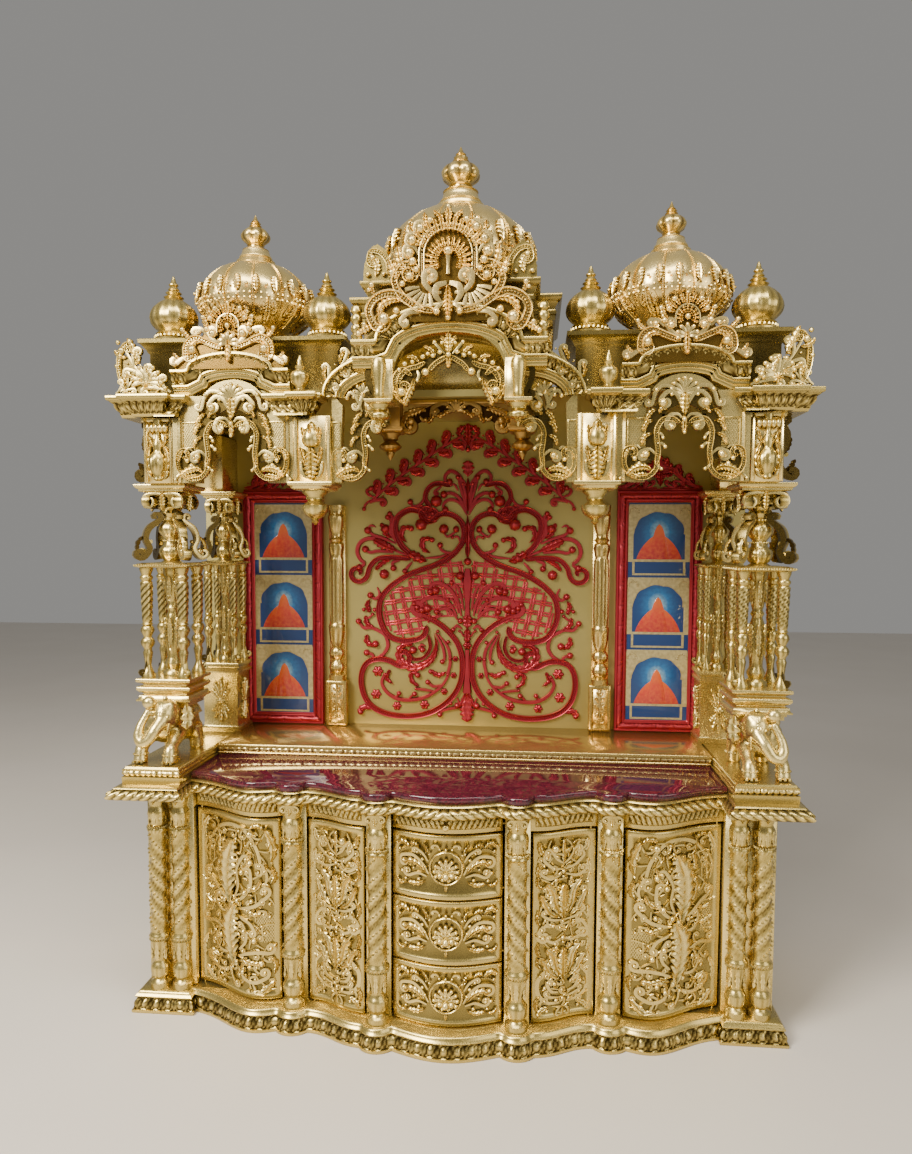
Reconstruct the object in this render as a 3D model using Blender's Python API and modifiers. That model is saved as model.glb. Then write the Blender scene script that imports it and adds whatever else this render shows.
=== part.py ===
"""Pooja mandir: a gold painted, carved home temple in wood, with a granite counter.

The cabinet below has four hinged doors, three drawers and a shallow frieze drawer. A niche
with a red scroll panel stands on it between four carved columns, under arches and domes.
Metres, +Z up. The origin is on the floor, in the middle of the plinth. The front faces -Y.
The paired pieces are modelled on the +X side, and turned into their mirror images for -X.
"""
import math

import bmesh
import bpy
from mathutils import Vector

# Clearances and joins
SEAT = 0.0003
JOIN = 0.002
MERGE = 0.00001
MOVING_GAP = 0.005
STRAIGHT_SHARE = 0.02

# Overall sizes of the cabinet
PLINTH_HALF = 0.750
BODY_HALF = 0.725
BACK_Y = 0.319
BOARD = 0.018
WALL_FACE_Y = BACK_Y - BOARD - SEAT

# Heights of the main levels
PLINTH_TOP = 0.050
DOOR_TOP = 0.479
FRIEZE_BOTTOM = 0.484
COUNTER_BOTTOM = 0.524
COUNTER_TOP = 0.555
GRANITE_THICKNESS = 0.016
LEDGE_TOP = 0.594
STEP_TOP = 0.598
ABACUS_TOP = 1.241
CORNICE_BOTTOM = 1.388
CORNICE_TOP = 1.436
CEILING_TOP = 1.452
ATTIC_TOP = 1.574
CENTRE_ATTIC_TOP = 1.657

# Places across the front, measured from the middle
PIER_INNER_X = 0.612
OUTER_STILE_X = 0.356
INNER_STILE_X = 0.153
STILE_HALF = 0.028

# Depths of the cabinet's front where its bays start and end, and how far the bays swing
PIER_RECESS_Y = -0.112
OUTER_STILE_Y = -0.173
INNER_STILE_Y = -0.2215
OUTER_BAY_BOW = 0.025
OUTER_BAY_WAVE = 0.012
INNER_BAY_WAVE = 0.0055
CENTRE_BOW = 0.035
COLUMN_PROUD = 0.018

# Columns that carry the entablature
FRONT_COLUMN_X = 0.690
FRONT_COLUMN_Y = -0.044
FRONT_COLUMN_HALF = 0.061
REAR_COLUMN_X = 0.658
REAR_COLUMN_Y = 0.2225
REAR_COLUMN_HALF = 0.0485
BLOCK_BOTTOM = 0.722

# Planes of the entablature
ARCH_FRONT_Y = -0.135
ARCH_BACK_Y = -0.107
CORNICE_Y = -0.164
CORNICE_BREAK_Y = -0.183
CORNICE_REACH = 0.026
POST_IN_X = 0.273
POST_OUT_X = 0.358
CORNER_IN_X = 0.646
CORNER_OUT_X = 0.714
SIDE_ARCH_X = 0.500
CANOPY_HALF = 0.157
CANOPY_FRONT_Y = -0.245
CANOPY_BACK_Y = -0.137
VAULT_BACK_Y = -0.031
CANOPY_SHOULDER = 1.530
CANOPY_TOP = 1.602

# Finishes: name, colour, metallic, roughness
GOLD = ("satin_gold_paint", (0.46, 0.34, 0.11), 0.75, 0.38)
PALE_GOLD = ("pale_gold_paint", (0.48, 0.40, 0.17), 0.55, 0.42)
CREAM_GOLD = ("cream_gold_paint", (0.52, 0.46, 0.24), 0.35, 0.45)
CRIMSON = ("crimson_metallic_paint", (0.32, 0.03, 0.04), 0.60, 0.35)
GRANITE = ("maroon_granite", (0.07, 0.01, 0.025), 0.0, 0.10)
PANEL_BLUE = ("blue_picture_panel", (0.05, 0.16, 0.40), 0.0, 0.20)
SIDE_NAMES = {-1: "left", 1: "right"}


def clear_scene():
    """Removes what is in the scene and starts the two collections."""
    for item in list(bpy.data.objects):
        bpy.data.objects.remove(item, do_unlink=True)
    parts = bpy.data.collections.new("pooja_mandir")
    cutters = bpy.data.collections.new("cutters")
    bpy.context.scene.collection.children.link(parts)
    bpy.context.scene.collection.children.link(cutters)
    return parts, cutters


PARTS, CUTTERS = clear_scene()


def finish_material(finish):
    """The Principled material of a finish, made once."""
    name, colour, metallic, roughness = finish
    material = bpy.data.materials.get(name)
    if material is None:
        material = bpy.data.materials.new(name)
        material.use_nodes = True
        shader = material.node_tree.nodes["Principled BSDF"]
        shader.inputs["Base Color"].default_value = (*colour, 1)
        shader.inputs["Metallic"].default_value = metallic
        shader.inputs["Roughness"].default_value = roughness
    return material


def held(data):
    """A new object among the cutters that holds a mesh or a curve."""
    piece = bpy.data.objects.new("piece", data)
    CUTTERS.objects.link(piece)
    piece.hide_render = True
    piece.display_type = "WIRE"
    return piece


def as_object(maker):
    """Puts a bmesh into a new object, with its faces outwards."""
    mesh = bpy.data.meshes.new("piece")
    bmesh.ops.recalc_face_normals(maker, faces=maker.faces)
    maker.to_mesh(mesh)
    maker.free()
    return held(mesh)


def evaluated(piece):
    """The shape of an object with its modifiers applied and its doubles merged."""
    bpy.context.view_layer.update()
    seen = piece.evaluated_get(bpy.context.evaluated_depsgraph_get())
    maker = bmesh.new()
    maker.from_mesh(bpy.data.meshes.new_from_object(seen))
    bmesh.ops.remove_doubles(maker, verts=maker.verts, dist=MERGE)
    bmesh.ops.dissolve_degenerate(maker, edges=maker.edges, dist=MERGE / 2)
    return maker


def made_real(piece, place=(0, 0, 0)):
    """Turns an object with modifiers, or a curve, into a mesh object moved to a place."""
    maker = evaluated(piece)
    bpy.data.objects.remove(piece, do_unlink=True)
    bmesh.ops.translate(maker, vec=place, verts=maker.verts)
    return as_object(maker)


def combined(base, tools, operation):
    """Joins pieces to the base, or cuts them from it, and removes them."""
    for tool in tools:
        step = base.modifiers.new("combine", "BOOLEAN")
        step.operation = operation
        step.solver = "EXACT"
        step.object = tool
    whole = made_real(base)
    for tool in tools:
        bpy.data.objects.remove(tool, do_unlink=True)
    return whole


def finished(name, pieces, finish, cuts=(), pivot=(0, 0, 0), side=1):
    """Makes a named node from overlapping pieces, less the cuts, with its finish."""
    body = pieces[0]
    if len(pieces) > 1:
        body = combined(body, pieces[1:], "UNION")
    if cuts:
        body = combined(body, cuts, "DIFFERENCE")
    CUTTERS.objects.unlink(body)
    PARTS.objects.link(body)
    body.hide_render = False
    body.display_type = "TEXTURED"
    body.name = name
    body.data.name = name
    body.data.materials.append(finish_material(finish))
    for vertex in body.data.vertices:
        vertex.co = (vertex.co.x * side, vertex.co.y, vertex.co.z)
        vertex.co -= Vector(pivot)
    if side < 0:
        body.data.flip_normals()
    body.location = pivot
    body.data.shade_smooth()
    body.data.set_sharp_from_angle(angle=math.radians(35))
    return body


def paired(name, pieces, finish, side, cuts=(), pivot=(0, 0, 0)):
    """Makes a node of the left or right side from pieces modelled on the +X side."""
    return finished(f"{SIDE_NAMES[side]}_{name}", pieces, finish, cuts, pivot, side)


def box_shape(low, high):
    """The shape of a box between two corners."""
    maker = bmesh.new()
    bmesh.ops.create_cube(maker, size=1)
    size = [b - a for a, b in zip(low, high)]
    middle = [(a + b) / 2 for a, b in zip(low, high)]
    bmesh.ops.scale(maker, vec=size, verts=maker.verts)
    bmesh.ops.translate(maker, vec=middle, verts=maker.verts)
    return maker


def block(low, high):
    """A box between two corners."""
    return as_object(box_shape(low, high))


def tray(low, high, wall, floor):
    """A box with a pocket sunk into its top: a drawer box."""
    maker = box_shape(low, high)
    maker.normal_update()
    top = [face for face in maker.faces if face.normal.z > 0.9]
    bmesh.ops.inset_region(maker, faces=top, thickness=wall)
    sunk = bmesh.ops.extrude_discrete_faces(maker, faces=top)["faces"]
    corners = {vertex for face in sunk for vertex in face.verts}
    bmesh.ops.translate(maker, vec=(0, 0, low[2] + floor - high[2]), verts=list(corners))
    return as_object(maker)


def flat(outlines, low, high, upright=True):
    """A plate from closed outlines, where an inner one is a hole, between two planes.

    An upright plate has its outlines in x and z, a lying one has them in x and y.
    """
    curve = bpy.data.curves.new("outline", "CURVE")
    curve.dimensions = "2D"
    curve.fill_mode = "BOTH"
    curve.extrude = (high - low) / 2
    for outline in outlines:
        spline = curve.splines.new("POLY")
        spline.points.add(len(outline) - 1)
        for point, place in zip(spline.points, outline):
            point.co = (*place, 0, 1)
        spline.use_cyclic_u = True
    plate = made_real(held(curve))
    for vertex in plate.data.vertices:
        across, along, depth = vertex.co
        depth += (low + high) / 2
        vertex.co = (across, depth, along) if upright else (across, along, depth)
    if upright:
        plate.data.flip_normals()
    return plate


def inset(outline, distances):
    """Moves each side of a closed outline inwards by its own distance, with mitred corners."""
    area = sum(a[0] * b[1] - b[0] * a[1] for a, b in zip(outline, outline[1:] + outline[:1]))
    turn = 1 if area > 0 else -1
    count = len(outline)
    moved = []
    for index, corner in enumerate(outline):
        into = Vector(corner) - Vector(outline[index - 1])
        out = Vector(outline[(index + 1) % count]) - Vector(corner)
        first = Vector((-into.y, into.x)).normalized() * turn
        second = Vector((-out.y, out.x)).normalized() * turn
        back, fore = distances[index - 1], distances[index]
        cross = first.x * second.y - first.y * second.x
        if abs(cross) < STRAIGHT_SHARE:
            step = (first + second).normalized() * (back + fore) / 2
        else:
            step = Vector((back * second.y - fore * first.y, fore * first.x - back * second.x)) / cross
        moved.append((corner[0] + step.x, corner[1] + step.y))
    return moved


def moulded(outline, levels, still=()):
    """A slab with a shaped edge: each level is how far in the edge is, and its height.

    The sides numbered in still are upright, and count from the first point.
    """
    maker = bmesh.new()
    rings = []
    for distance, height in levels:
        distances = [0 if index in still else distance for index in range(len(outline))]
        points = inset(outline, distances) if distance else outline
        rings.append([maker.verts.new((x, y, height)) for x, y in points])
    maker.faces.new(rings[0])
    for lower, upper in zip(rings, rings[1:]):
        count = len(lower)
        for index in range(count):
            follow = (index + 1) % count
            maker.faces.new((lower[index], lower[follow], upper[follow], upper[index]))
    maker.faces.new(rings[-1])
    return as_object(maker)


def turned(profile, centre, sides):
    """A profile of radius and height turned about an upright axis."""
    maker = bmesh.new()
    line = [(0, profile[0][1]), *profile, (0, profile[-1][1])]
    verts = [maker.verts.new((radius, 0, height)) for radius, height in line]
    for start, end in zip(verts, verts[1:]):
        maker.edges.new((start, end))
    piece = as_object(maker)
    screw = piece.modifiers.new("turn", "SCREW")
    screw.angle = math.tau
    screw.steps = sides
    screw.render_steps = sides
    screw.use_merge_vertices = True
    screw.merge_threshold = MERGE
    return made_real(piece, (*centre, 0))


def ball(centre, radii, segments=8, rings=6):
    """An ellipsoid."""
    maker = bmesh.new()
    bmesh.ops.create_uvsphere(maker, u_segments=segments, v_segments=rings, radius=1)
    bmesh.ops.scale(maker, vec=radii, verts=maker.verts)
    bmesh.ops.translate(maker, vec=centre, verts=maker.verts)
    return as_object(maker)


def tube(points, radius):
    """A round rod along points, with closed ends."""
    curve = bpy.data.curves.new("rod", "CURVE")
    curve.dimensions = "3D"
    curve.bevel_depth = radius
    curve.bevel_resolution = 1
    curve.use_fill_caps = True
    spline = curve.splines.new("POLY")
    spline.points.add(len(points) - 1)
    for point, place in zip(spline.points, points):
        point.co = (*place, 1)
    return made_real(held(curve))


def square(centre, half):
    """The four corners of a square seen from above."""
    x, y = centre
    return [(x - half, y - half), (x + half, y - half), (x + half, y + half), (x - half, y + half)]


def placed(shares, middle, half, low, high):
    """Points from shares: across from the middle, and up between two heights."""
    return [(middle + half * across, low + (high - low) * up) for across, up in shares]


def mirrored(points, middle=0):
    """The same points on the other side of the middle, in the other order."""
    return [(2 * middle - x, z) for x, z in reversed(points)]


def bow(middle, half, spring, top, steps):
    """Points over an arch from its +X end to its -X end: half an ellipse."""
    turns = [math.pi * index / steps for index in range(steps + 1)]
    return [(middle + half * math.cos(turn), spring + (top - spring) * math.sin(turn)) for turn in turns]


# Steps of the serpentine front line in a bay, and round a pad
BAY_STEPS = 4
PAD_STEPS = 4


def front_y(x):
    """The depth of the cabinet's front face at a distance from the middle."""
    x = abs(x)
    outer_in = OUTER_STILE_X + STILE_HALF
    outer_out = OUTER_STILE_X - STILE_HALF
    inner_in = INNER_STILE_X + STILE_HALF
    inner_out = INNER_STILE_X - STILE_HALF
    if x > PIER_INNER_X:
        return PIER_RECESS_Y
    if x > outer_in:
        share = (PIER_INNER_X - x) / (PIER_INNER_X - outer_in)
        chord = PIER_RECESS_Y + (OUTER_STILE_Y - PIER_RECESS_Y) * share
        wave = OUTER_BAY_WAVE * math.sin(math.tau * share)
        return chord - OUTER_BAY_BOW * math.sin(math.pi * share) + wave
    if x > outer_out:
        return OUTER_STILE_Y
    if x > inner_in:
        share = (outer_out - x) / (outer_out - inner_in)
        chord = OUTER_STILE_Y + (INNER_STILE_Y - OUTER_STILE_Y) * share
        return chord + INNER_BAY_WAVE * math.sin(math.tau * share)
    if x > inner_out:
        return INNER_STILE_Y
    share = (inner_out - x) / (2 * inner_out)
    return INNER_STILE_Y - CENTRE_BOW * math.sin(math.pi * share)


def bay_points(start, end, reach, steps=BAY_STEPS):
    """Points on the front between two places, moved forward by the reach."""
    places = [start + (end - start) * index / steps for index in range(steps + 1)]
    return [(x, front_y(x) - reach) for x in places]


def pad_points(stile_x, reach, radius):
    """The round pad in front of a stile's column, from its outer to its inner notch."""
    depth = front_y(stile_x) - COLUMN_PROUD
    behind = reach - COLUMN_PROUD
    half = math.sqrt(max(radius ** 2 - behind ** 2, 0))
    sweep = math.atan2(half, behind)
    turns = [sweep - 2 * sweep * index / PAD_STEPS for index in range(PAD_STEPS + 1)]
    return [(stile_x + radius * math.sin(turn), depth - radius * math.cos(turn)) for turn in turns]


def slab_outline(side_points, reach, pad_radius):
    """A closed outline: points on the side from the back to the front, then the front line."""
    edge_x = side_points[-1][0]
    outer = pad_points(OUTER_STILE_X, reach, pad_radius)
    inner = pad_points(INNER_STILE_X, reach, pad_radius)
    half = side_points + bay_points(edge_x, outer[0][0], reach)[:-1] + outer
    half += bay_points(outer[-1][0], inner[0][0], reach)[1:-1] + inner
    half += bay_points(inner[-1][0], 0, reach, BAY_STEPS // 2)[1:]
    return half + mirrored(half[:-1])


# Doors
DOOR_BOTTOM = PLINTH_TOP + MOVING_GAP
DOOR_THICKNESS = 0.016
DOOR_STEPS = 8
KNOB_RADIUS = 0.009
KNOB_DROP = 0.034
KNOB_SEAT_SHARE = 0.7
OUTER_KNOB_SHARE = 0.30
INNER_KNOB_SHARE = 0.36
PIN_RADIUS = 0.0015
PIN_CLEARANCE = 0.0003
PIN_DEPTH = 0.010
PIN_IN_X = 0.010
PIN_IN_Y = 0.003


def bay_ends(wide):
    """The door's outer and inner ends, in the wide outer bay or the narrow inner one."""
    if wide:
        return PIER_INNER_X - MOVING_GAP, OUTER_STILE_X + STILE_HALF + MOVING_GAP
    return OUTER_STILE_X - STILE_HALF - MOVING_GAP, INNER_STILE_X + STILE_HALF + MOVING_GAP


def pin_place(wide):
    """Where a door's pivot pins stand on the +X side."""
    pin_x = bay_ends(wide)[0] - PIN_IN_X
    return pin_x, front_y(pin_x) + PIN_IN_Y


def pin_bores(low, high):
    """Cutters for the four pivot pins."""
    radius = PIN_RADIUS + PIN_CLEARANCE
    bores = []
    for side in SIDE_NAMES:
        for wide in (True, False):
            x, y = pin_place(wide)
            bores.append(turned([(radius, high), (radius, low)], (side * x, y), 12))
    return bores


def curved_board(start, end, thickness, low, high, steps=DOOR_STEPS):
    """A board that follows the cabinet's front between two places."""
    front = bay_points(start, end, 0, steps)
    back = [(x, y + thickness) for x, y in reversed(front)]
    return flat([front + back], low, high, upright=False)


def knob(x, height):
    """A ball knob on the cabinet's front."""
    return ball((x, front_y(x) - KNOB_RADIUS * KNOB_SEAT_SHARE, height), (KNOB_RADIUS,) * 3)


def door(side, wide):
    """A hinged door with an S-shaped front, its knob and its two pivot pins."""
    outer, inner = bay_ends(wide)
    x, y = pin_place(wide)
    pieces = [curved_board(outer, inner, DOOR_THICKNESS, DOOR_BOTTOM, DOOR_TOP)]
    for bottom, top in ((DOOR_BOTTOM - PIN_DEPTH, DOOR_BOTTOM + JOIN),
                        (DOOR_TOP - JOIN, DOOR_TOP + PIN_DEPTH)):
        pieces.append(turned([(PIN_RADIUS, top), (PIN_RADIUS, bottom)], (x, y), 12))
    knob_share = OUTER_KNOB_SHARE if wide else INNER_KNOB_SHARE
    pieces.append(knob(inner + (outer - inner) * knob_share, DOOR_TOP - KNOB_DROP))
    name = "outer_door" if wide else "inner_door"
    paired(name, pieces, GOLD, side, pivot=(side * x, y, DOOR_BOTTOM))


# Plinth
PLINTH_REACH = 0.045
PLINTH_PAD_RADIUS = 0.046
PLINTH_SET_BACK = 0.014
PIER_PLINTH_INNER_X = 0.602
PIER_PLINTH_Y = -0.178
PLINTH_SHARES = [(0, 0), (0, 0.52), (0.5, 0.62), (0.5, 0.74), (1, 0.86), (1, 1)]


def plinth():
    """The serpentine plinth, with a carved lower band and a reeded top."""
    sides = [(PLINTH_HALF, BACK_Y), (PLINTH_HALF, PIER_PLINTH_Y), (PIER_PLINTH_INNER_X, PIER_PLINTH_Y)]
    outline = slab_outline(sides, PLINTH_REACH, PLINTH_PAD_RADIUS)
    levels = placed(PLINTH_SHARES, 0, PLINTH_SET_BACK, 0, PLINTH_TOP)
    finished("plinth", [moulded(outline, levels)], GOLD,
             pin_bores(PLINTH_TOP - PIN_DEPTH, PLINTH_TOP + JOIN))


# Stiles, piers and back board, all between the plinth and the counter
STANDING_LOW = PLINTH_TOP + SEAT
STANDING_HIGH = COUNTER_BOTTOM - SEAT
STILE_THICKNESS = 0.020
STILE_COLUMN_RADIUS = 0.024
PARTITION = 0.018
RUNNER_REACH = 0.015
RUNNER_THICKNESS = 0.006
RUNNER_FRONT_IN = 0.040
LOWER_SPLIT = 0.190
UPPER_SPLIT = 0.335
DRAWER_BOX_DROP = 0.006
DRAWER_BACK_Y = 0.150
COLUMN_SHARES = [(1, 1), (0.80, 0.93), (1, 0.89), (0.86, 0.84), (0.86, 0.29), (1, 0.265), (0.72, 0.20),
                 (1, 0.11), (0.70, 0.055), (1.04, 0.03), (1.04, 0)]


def carved_column(x, y, radius, low, high):
    """A round carved column: volute capital, beaded shaft, fluted bulb and foot."""
    return turned(placed(COLUMN_SHARES, 0, radius, low, high), (x, y), 8)


def drawer_levels():
    """The bottom and top of each drawer front, from the lowest up."""
    half = MOVING_GAP / 2
    return [(DOOR_BOTTOM, LOWER_SPLIT - half), (LOWER_SPLIT + half, UPPER_SPLIT - half),
            (UPPER_SPLIT + half, DOOR_TOP)]


def outer_stile(side):
    """A stile strip between two doors with its round column, and the partition behind it."""
    x, face = OUTER_STILE_X, OUTER_STILE_Y
    strip = block((x - STILE_HALF, face, STANDING_LOW),
                  (x + STILE_HALF, face + STILE_THICKNESS, STANDING_HIGH))
    wall = block((x - PARTITION / 2, face + STILE_THICKNESS - JOIN, STANDING_LOW),
                 (x + PARTITION / 2, WALL_FACE_Y, STANDING_HIGH))
    column = carved_column(x, face - COLUMN_PROUD, STILE_COLUMN_RADIUS, STANDING_LOW, STANDING_HIGH)
    paired("outer_stile", [strip, wall, column], GOLD, side)


def inner_stile(side):
    """A stile strip beside the drawers with its round column, partition and drawer runners."""
    x, face = INNER_STILE_X, INNER_STILE_Y
    strip = block((x - STILE_HALF, face, STANDING_LOW),
                  (x + STILE_HALF, face + STILE_THICKNESS, STANDING_HIGH))
    wall_x = x - STILE_HALF
    wall = block((wall_x, face + STILE_THICKNESS - JOIN, STANDING_LOW),
                 (wall_x + PARTITION, WALL_FACE_Y, STANDING_HIGH))
    column = carved_column(x, face - COLUMN_PROUD, STILE_COLUMN_RADIUS, STANDING_LOW, STANDING_HIGH)
    pieces = [strip, wall, column]
    for front_low in [low for low, _ in drawer_levels()] + [FRIEZE_BOTTOM]:
        top = front_low + DRAWER_BOX_DROP - SEAT
        pieces.append(block((wall_x - RUNNER_REACH, face + RUNNER_FRONT_IN, top - RUNNER_THICKNESS + SEAT),
                            (wall_x + JOIN, DRAWER_BACK_Y, top)))
    paired("inner_stile", pieces, GOLD, side)


PIER_Y = -0.129
PIER_BACK_Y = -0.040
TWIN_X = 0.6685
TWIN_SPREAD = 0.027
TWIN_RADIUS = 0.0225
TWIN_PROUD = 0.010


def pier(side):
    """An end pier with its twin columns, and the cabinet's side board behind it."""
    core = block((PIER_INNER_X, PIER_Y, STANDING_LOW), (BODY_HALF, PIER_BACK_Y, STANDING_HIGH))
    board = block((BODY_HALF - BOARD, PIER_BACK_Y - JOIN, STANDING_LOW),
                  (BODY_HALF, WALL_FACE_Y, STANDING_HIGH))
    pieces = [core, board]
    for x in (TWIN_X - TWIN_SPREAD, TWIN_X + TWIN_SPREAD):
        pieces.append(carved_column(x, PIER_Y - TWIN_PROUD, TWIN_RADIUS, STANDING_LOW, STANDING_HIGH))
    paired("pier", pieces, GOLD, side)


def back_board():
    """The plain board that closes the cabinet's back."""
    board = block((-BODY_HALF, BACK_Y - BOARD, STANDING_LOW), (BODY_HALF, BACK_Y, STANDING_HIGH))
    finished("cabinet_back", [board], PALE_GOLD)


# Drawers
DRAWER_HALF = INNER_STILE_X - STILE_HALF - MOVING_GAP
DRAWER_BOX_HALF = DRAWER_HALF - MOVING_GAP
DRAWER_FRONT = 0.018
DRAWER_WALL = 0.010
DRAWER_FLOOR = 0.006


def drawer(name, low, high, has_knob=False):
    """A drawer: a bowed front with an open box behind it."""
    box = tray((-DRAWER_BOX_HALF, INNER_STILE_Y + DRAWER_FRONT / 2, low + DRAWER_BOX_DROP),
               (DRAWER_BOX_HALF, DRAWER_BACK_Y, high - DRAWER_BOX_DROP), DRAWER_WALL, DRAWER_FLOOR)
    pieces = [box, curved_board(DRAWER_HALF, -DRAWER_HALF, DRAWER_FRONT, low, high)]
    if has_knob:
        pieces.append(knob(0, (low + high) / 2))
    finished(name, pieces, GOLD)


# Counter: the rope edged frame, the granite, the two ledges and the step
ROPE_OUTER_X = 0.769
ROPE_PIER_Y = -0.239
ROPE_PIER_INNER_X = 0.596
ROPE_REACH = 0.048
ROPE_PAD_RADIUS = 0.048
ROPE_ROUND = 0.014
ROPE_SHARES = [(0.93, 0), (0.29, 0.16), (0, 0.5), (0.29, 0.81), (1, 1)]
FRIEZE_STEPS = 6
GRANITE_REACH = 0.025
GRANITE_PAD_RADIUS = 0.036
GRANITE_ROUND = 0.002
GRANITE_SHARES = [(0.5, 0), (0, 0.13), (0, 0.87), (1, 1)]
LEDGE_IN_X = 0.6125
LEDGE_OUT_X = 0.750
LEDGE_FRONT_Y = -0.201
LEDGE_SET_BACK = 0.007
LEDGE_SHARES = [(0, 0), (0, 0.42), (0.57, 0.68), (0.43, 0.79), (1, 0.92), (1, 1)]
STEP_FRONT_Y = 0.026
STEP_NOSING = 0.006
STEP_SHARES = [(1, 0), (1, 0.15), (0, 0.38), (0, 0.69), (0.67, 0.92), (0.67, 1)]


def counter_frame():
    """The counter's top board with its rope edge, and the friezes over the doors."""
    sides = [(ROPE_OUTER_X, BACK_Y), (ROPE_OUTER_X, ROPE_PIER_Y), (ROPE_PIER_INNER_X, ROPE_PIER_Y)]
    outline = slab_outline(sides, ROPE_REACH, ROPE_PAD_RADIUS)
    pieces = [moulded(outline, placed(ROPE_SHARES, 0, ROPE_ROUND, COUNTER_BOTTOM, COUNTER_TOP))]
    for side in SIDE_NAMES:
        for wide in (True, False):
            outer, inner = bay_ends(wide)
            start, end = outer + MOVING_GAP - SEAT, inner - MOVING_GAP + SEAT
            frieze = curved_board(side * start, side * end, BOARD, FRIEZE_BOTTOM, COUNTER_BOTTOM + JOIN,
                                  FRIEZE_STEPS)
            pieces.append(frieze)
    finished("counter_frame", pieces, GOLD, pin_bores(FRIEZE_BOTTOM - JOIN, FRIEZE_BOTTOM + PIN_DEPTH))


def granite_top():
    """The polished granite slab between the ledges."""
    low = COUNTER_TOP + SEAT
    outline = slab_outline([(LEDGE_IN_X - SEAT, WALL_FACE_Y)], GRANITE_REACH, GRANITE_PAD_RADIUS)
    slab = moulded(outline, placed(GRANITE_SHARES, 0, GRANITE_ROUND, low, low + GRANITE_THICKNESS))
    finished("granite_top", [slab], GRANITE)


def ledge(side):
    """The moulded side ledge that carries an elephant and a rear column."""
    outline = [(LEDGE_IN_X, LEDGE_FRONT_Y), (LEDGE_OUT_X, LEDGE_FRONT_Y), (LEDGE_OUT_X, WALL_FACE_Y),
               (LEDGE_IN_X, WALL_FACE_Y)]
    levels = placed(LEDGE_SHARES, 0, LEDGE_SET_BACK, COUNTER_TOP + SEAT, LEDGE_TOP)
    paired("ledge", [moulded(outline, levels)], GOLD, side)


def niche_step():
    """The raised step at the back of the counter, with a moulded nosing."""
    edge = LEDGE_IN_X - SEAT
    outline = [(-edge, STEP_FRONT_Y), (edge, STEP_FRONT_Y), (edge, WALL_FACE_Y), (-edge, WALL_FACE_Y)]
    levels = placed(STEP_SHARES, 0, STEP_NOSING, COUNTER_TOP + GRANITE_THICKNESS + 2 * SEAT, STEP_TOP)
    finished("niche_step", [moulded(outline, levels)], PALE_GOLD)


# Niche: the back wall and what hangs on it
WALL_HALF = 0.740
NICHE_LOW = STEP_TOP + SEAT
FRAME_X = 0.515
FRAME_HALF = 0.112
FRAME_BAR = 0.030
FRAME_TOP = 1.247
FRAME_CREST_TOP = 1.345
FRAME_THICKNESS = 0.024
FRAME_CREST_SHARES = [(1, 0), (0.92, 0.32), (0.62, 0.38), (0.50, 0.66), (0.26, 0.74), (0.14, 0.96), (0, 1)]
PANEL_THICKNESS = 0.012


def back_wall():
    """The niche's back wall."""
    wall = block((-WALL_HALF, BACK_Y - BOARD, COUNTER_TOP + SEAT), (WALL_HALF, BACK_Y, CORNICE_TOP))
    finished("back_wall", [wall], CREAM_GOLD)


def picture_frame(side):
    """A carved frame with an arched crest on its top bar."""
    crest = placed(FRAME_CREST_SHARES, FRAME_X, FRAME_HALF, FRAME_TOP, FRAME_CREST_TOP)
    outline = [(FRAME_X + FRAME_HALF, NICHE_LOW)] + crest + mirrored(crest[:-1], FRAME_X)
    outline.append((FRAME_X - FRAME_HALF, NICHE_LOW))
    inner = FRAME_HALF - FRAME_BAR
    low, high = NICHE_LOW + FRAME_BAR, FRAME_TOP - FRAME_BAR
    hole = [(FRAME_X - inner, low), (FRAME_X + inner, low), (FRAME_X + inner, high),
            (FRAME_X - inner, high)]
    frame = flat([outline, hole], WALL_FACE_Y - FRAME_THICKNESS, WALL_FACE_Y)
    paired("picture_frame", [frame], CRIMSON, side)


def picture_panel(side):
    """The glazed panel inside a picture frame."""
    inner = FRAME_HALF - FRAME_BAR - SEAT
    panel = block((FRAME_X - inner, WALL_FACE_Y - PANEL_THICKNESS, NICHE_LOW + FRAME_BAR + SEAT),
                  (FRAME_X + inner, WALL_FACE_Y, FRAME_TOP - FRAME_BAR - SEAT))
    paired("picture_panel", [panel], PANEL_BLUE, side)


PILASTER_X = 0.3625
PILASTER_BASE_HALF = 0.029
PILASTER_BASE_TOP = 0.724
PILASTER_BASE_DEPTH = 0.034
PILASTER_STRIP_HALF = 0.023
PILASTER_STRIP_DEPTH = 0.010
PILASTER_RADIUS = 0.0175
PILASTER_PROUD = 0.0185
PILASTER_TOP = 1.209


def pilaster(side):
    """A small fluted pilaster on a square carved base, against the back wall."""
    x, wall = PILASTER_X, WALL_FACE_Y
    base = block((x - PILASTER_BASE_HALF, wall - PILASTER_BASE_DEPTH, NICHE_LOW),
                 (x + PILASTER_BASE_HALF, wall, PILASTER_BASE_TOP))
    strip = block((x - PILASTER_STRIP_HALF, wall - PILASTER_STRIP_DEPTH, PILASTER_BASE_TOP - JOIN),
                  (x + PILASTER_STRIP_HALF, wall, PILASTER_TOP))
    shaft = carved_column(x, wall - PILASTER_PROUD, PILASTER_RADIUS, PILASTER_BASE_TOP - JOIN, PILASTER_TOP)
    paired("pilaster", [base, strip, shaft], GOLD, side)


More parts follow.
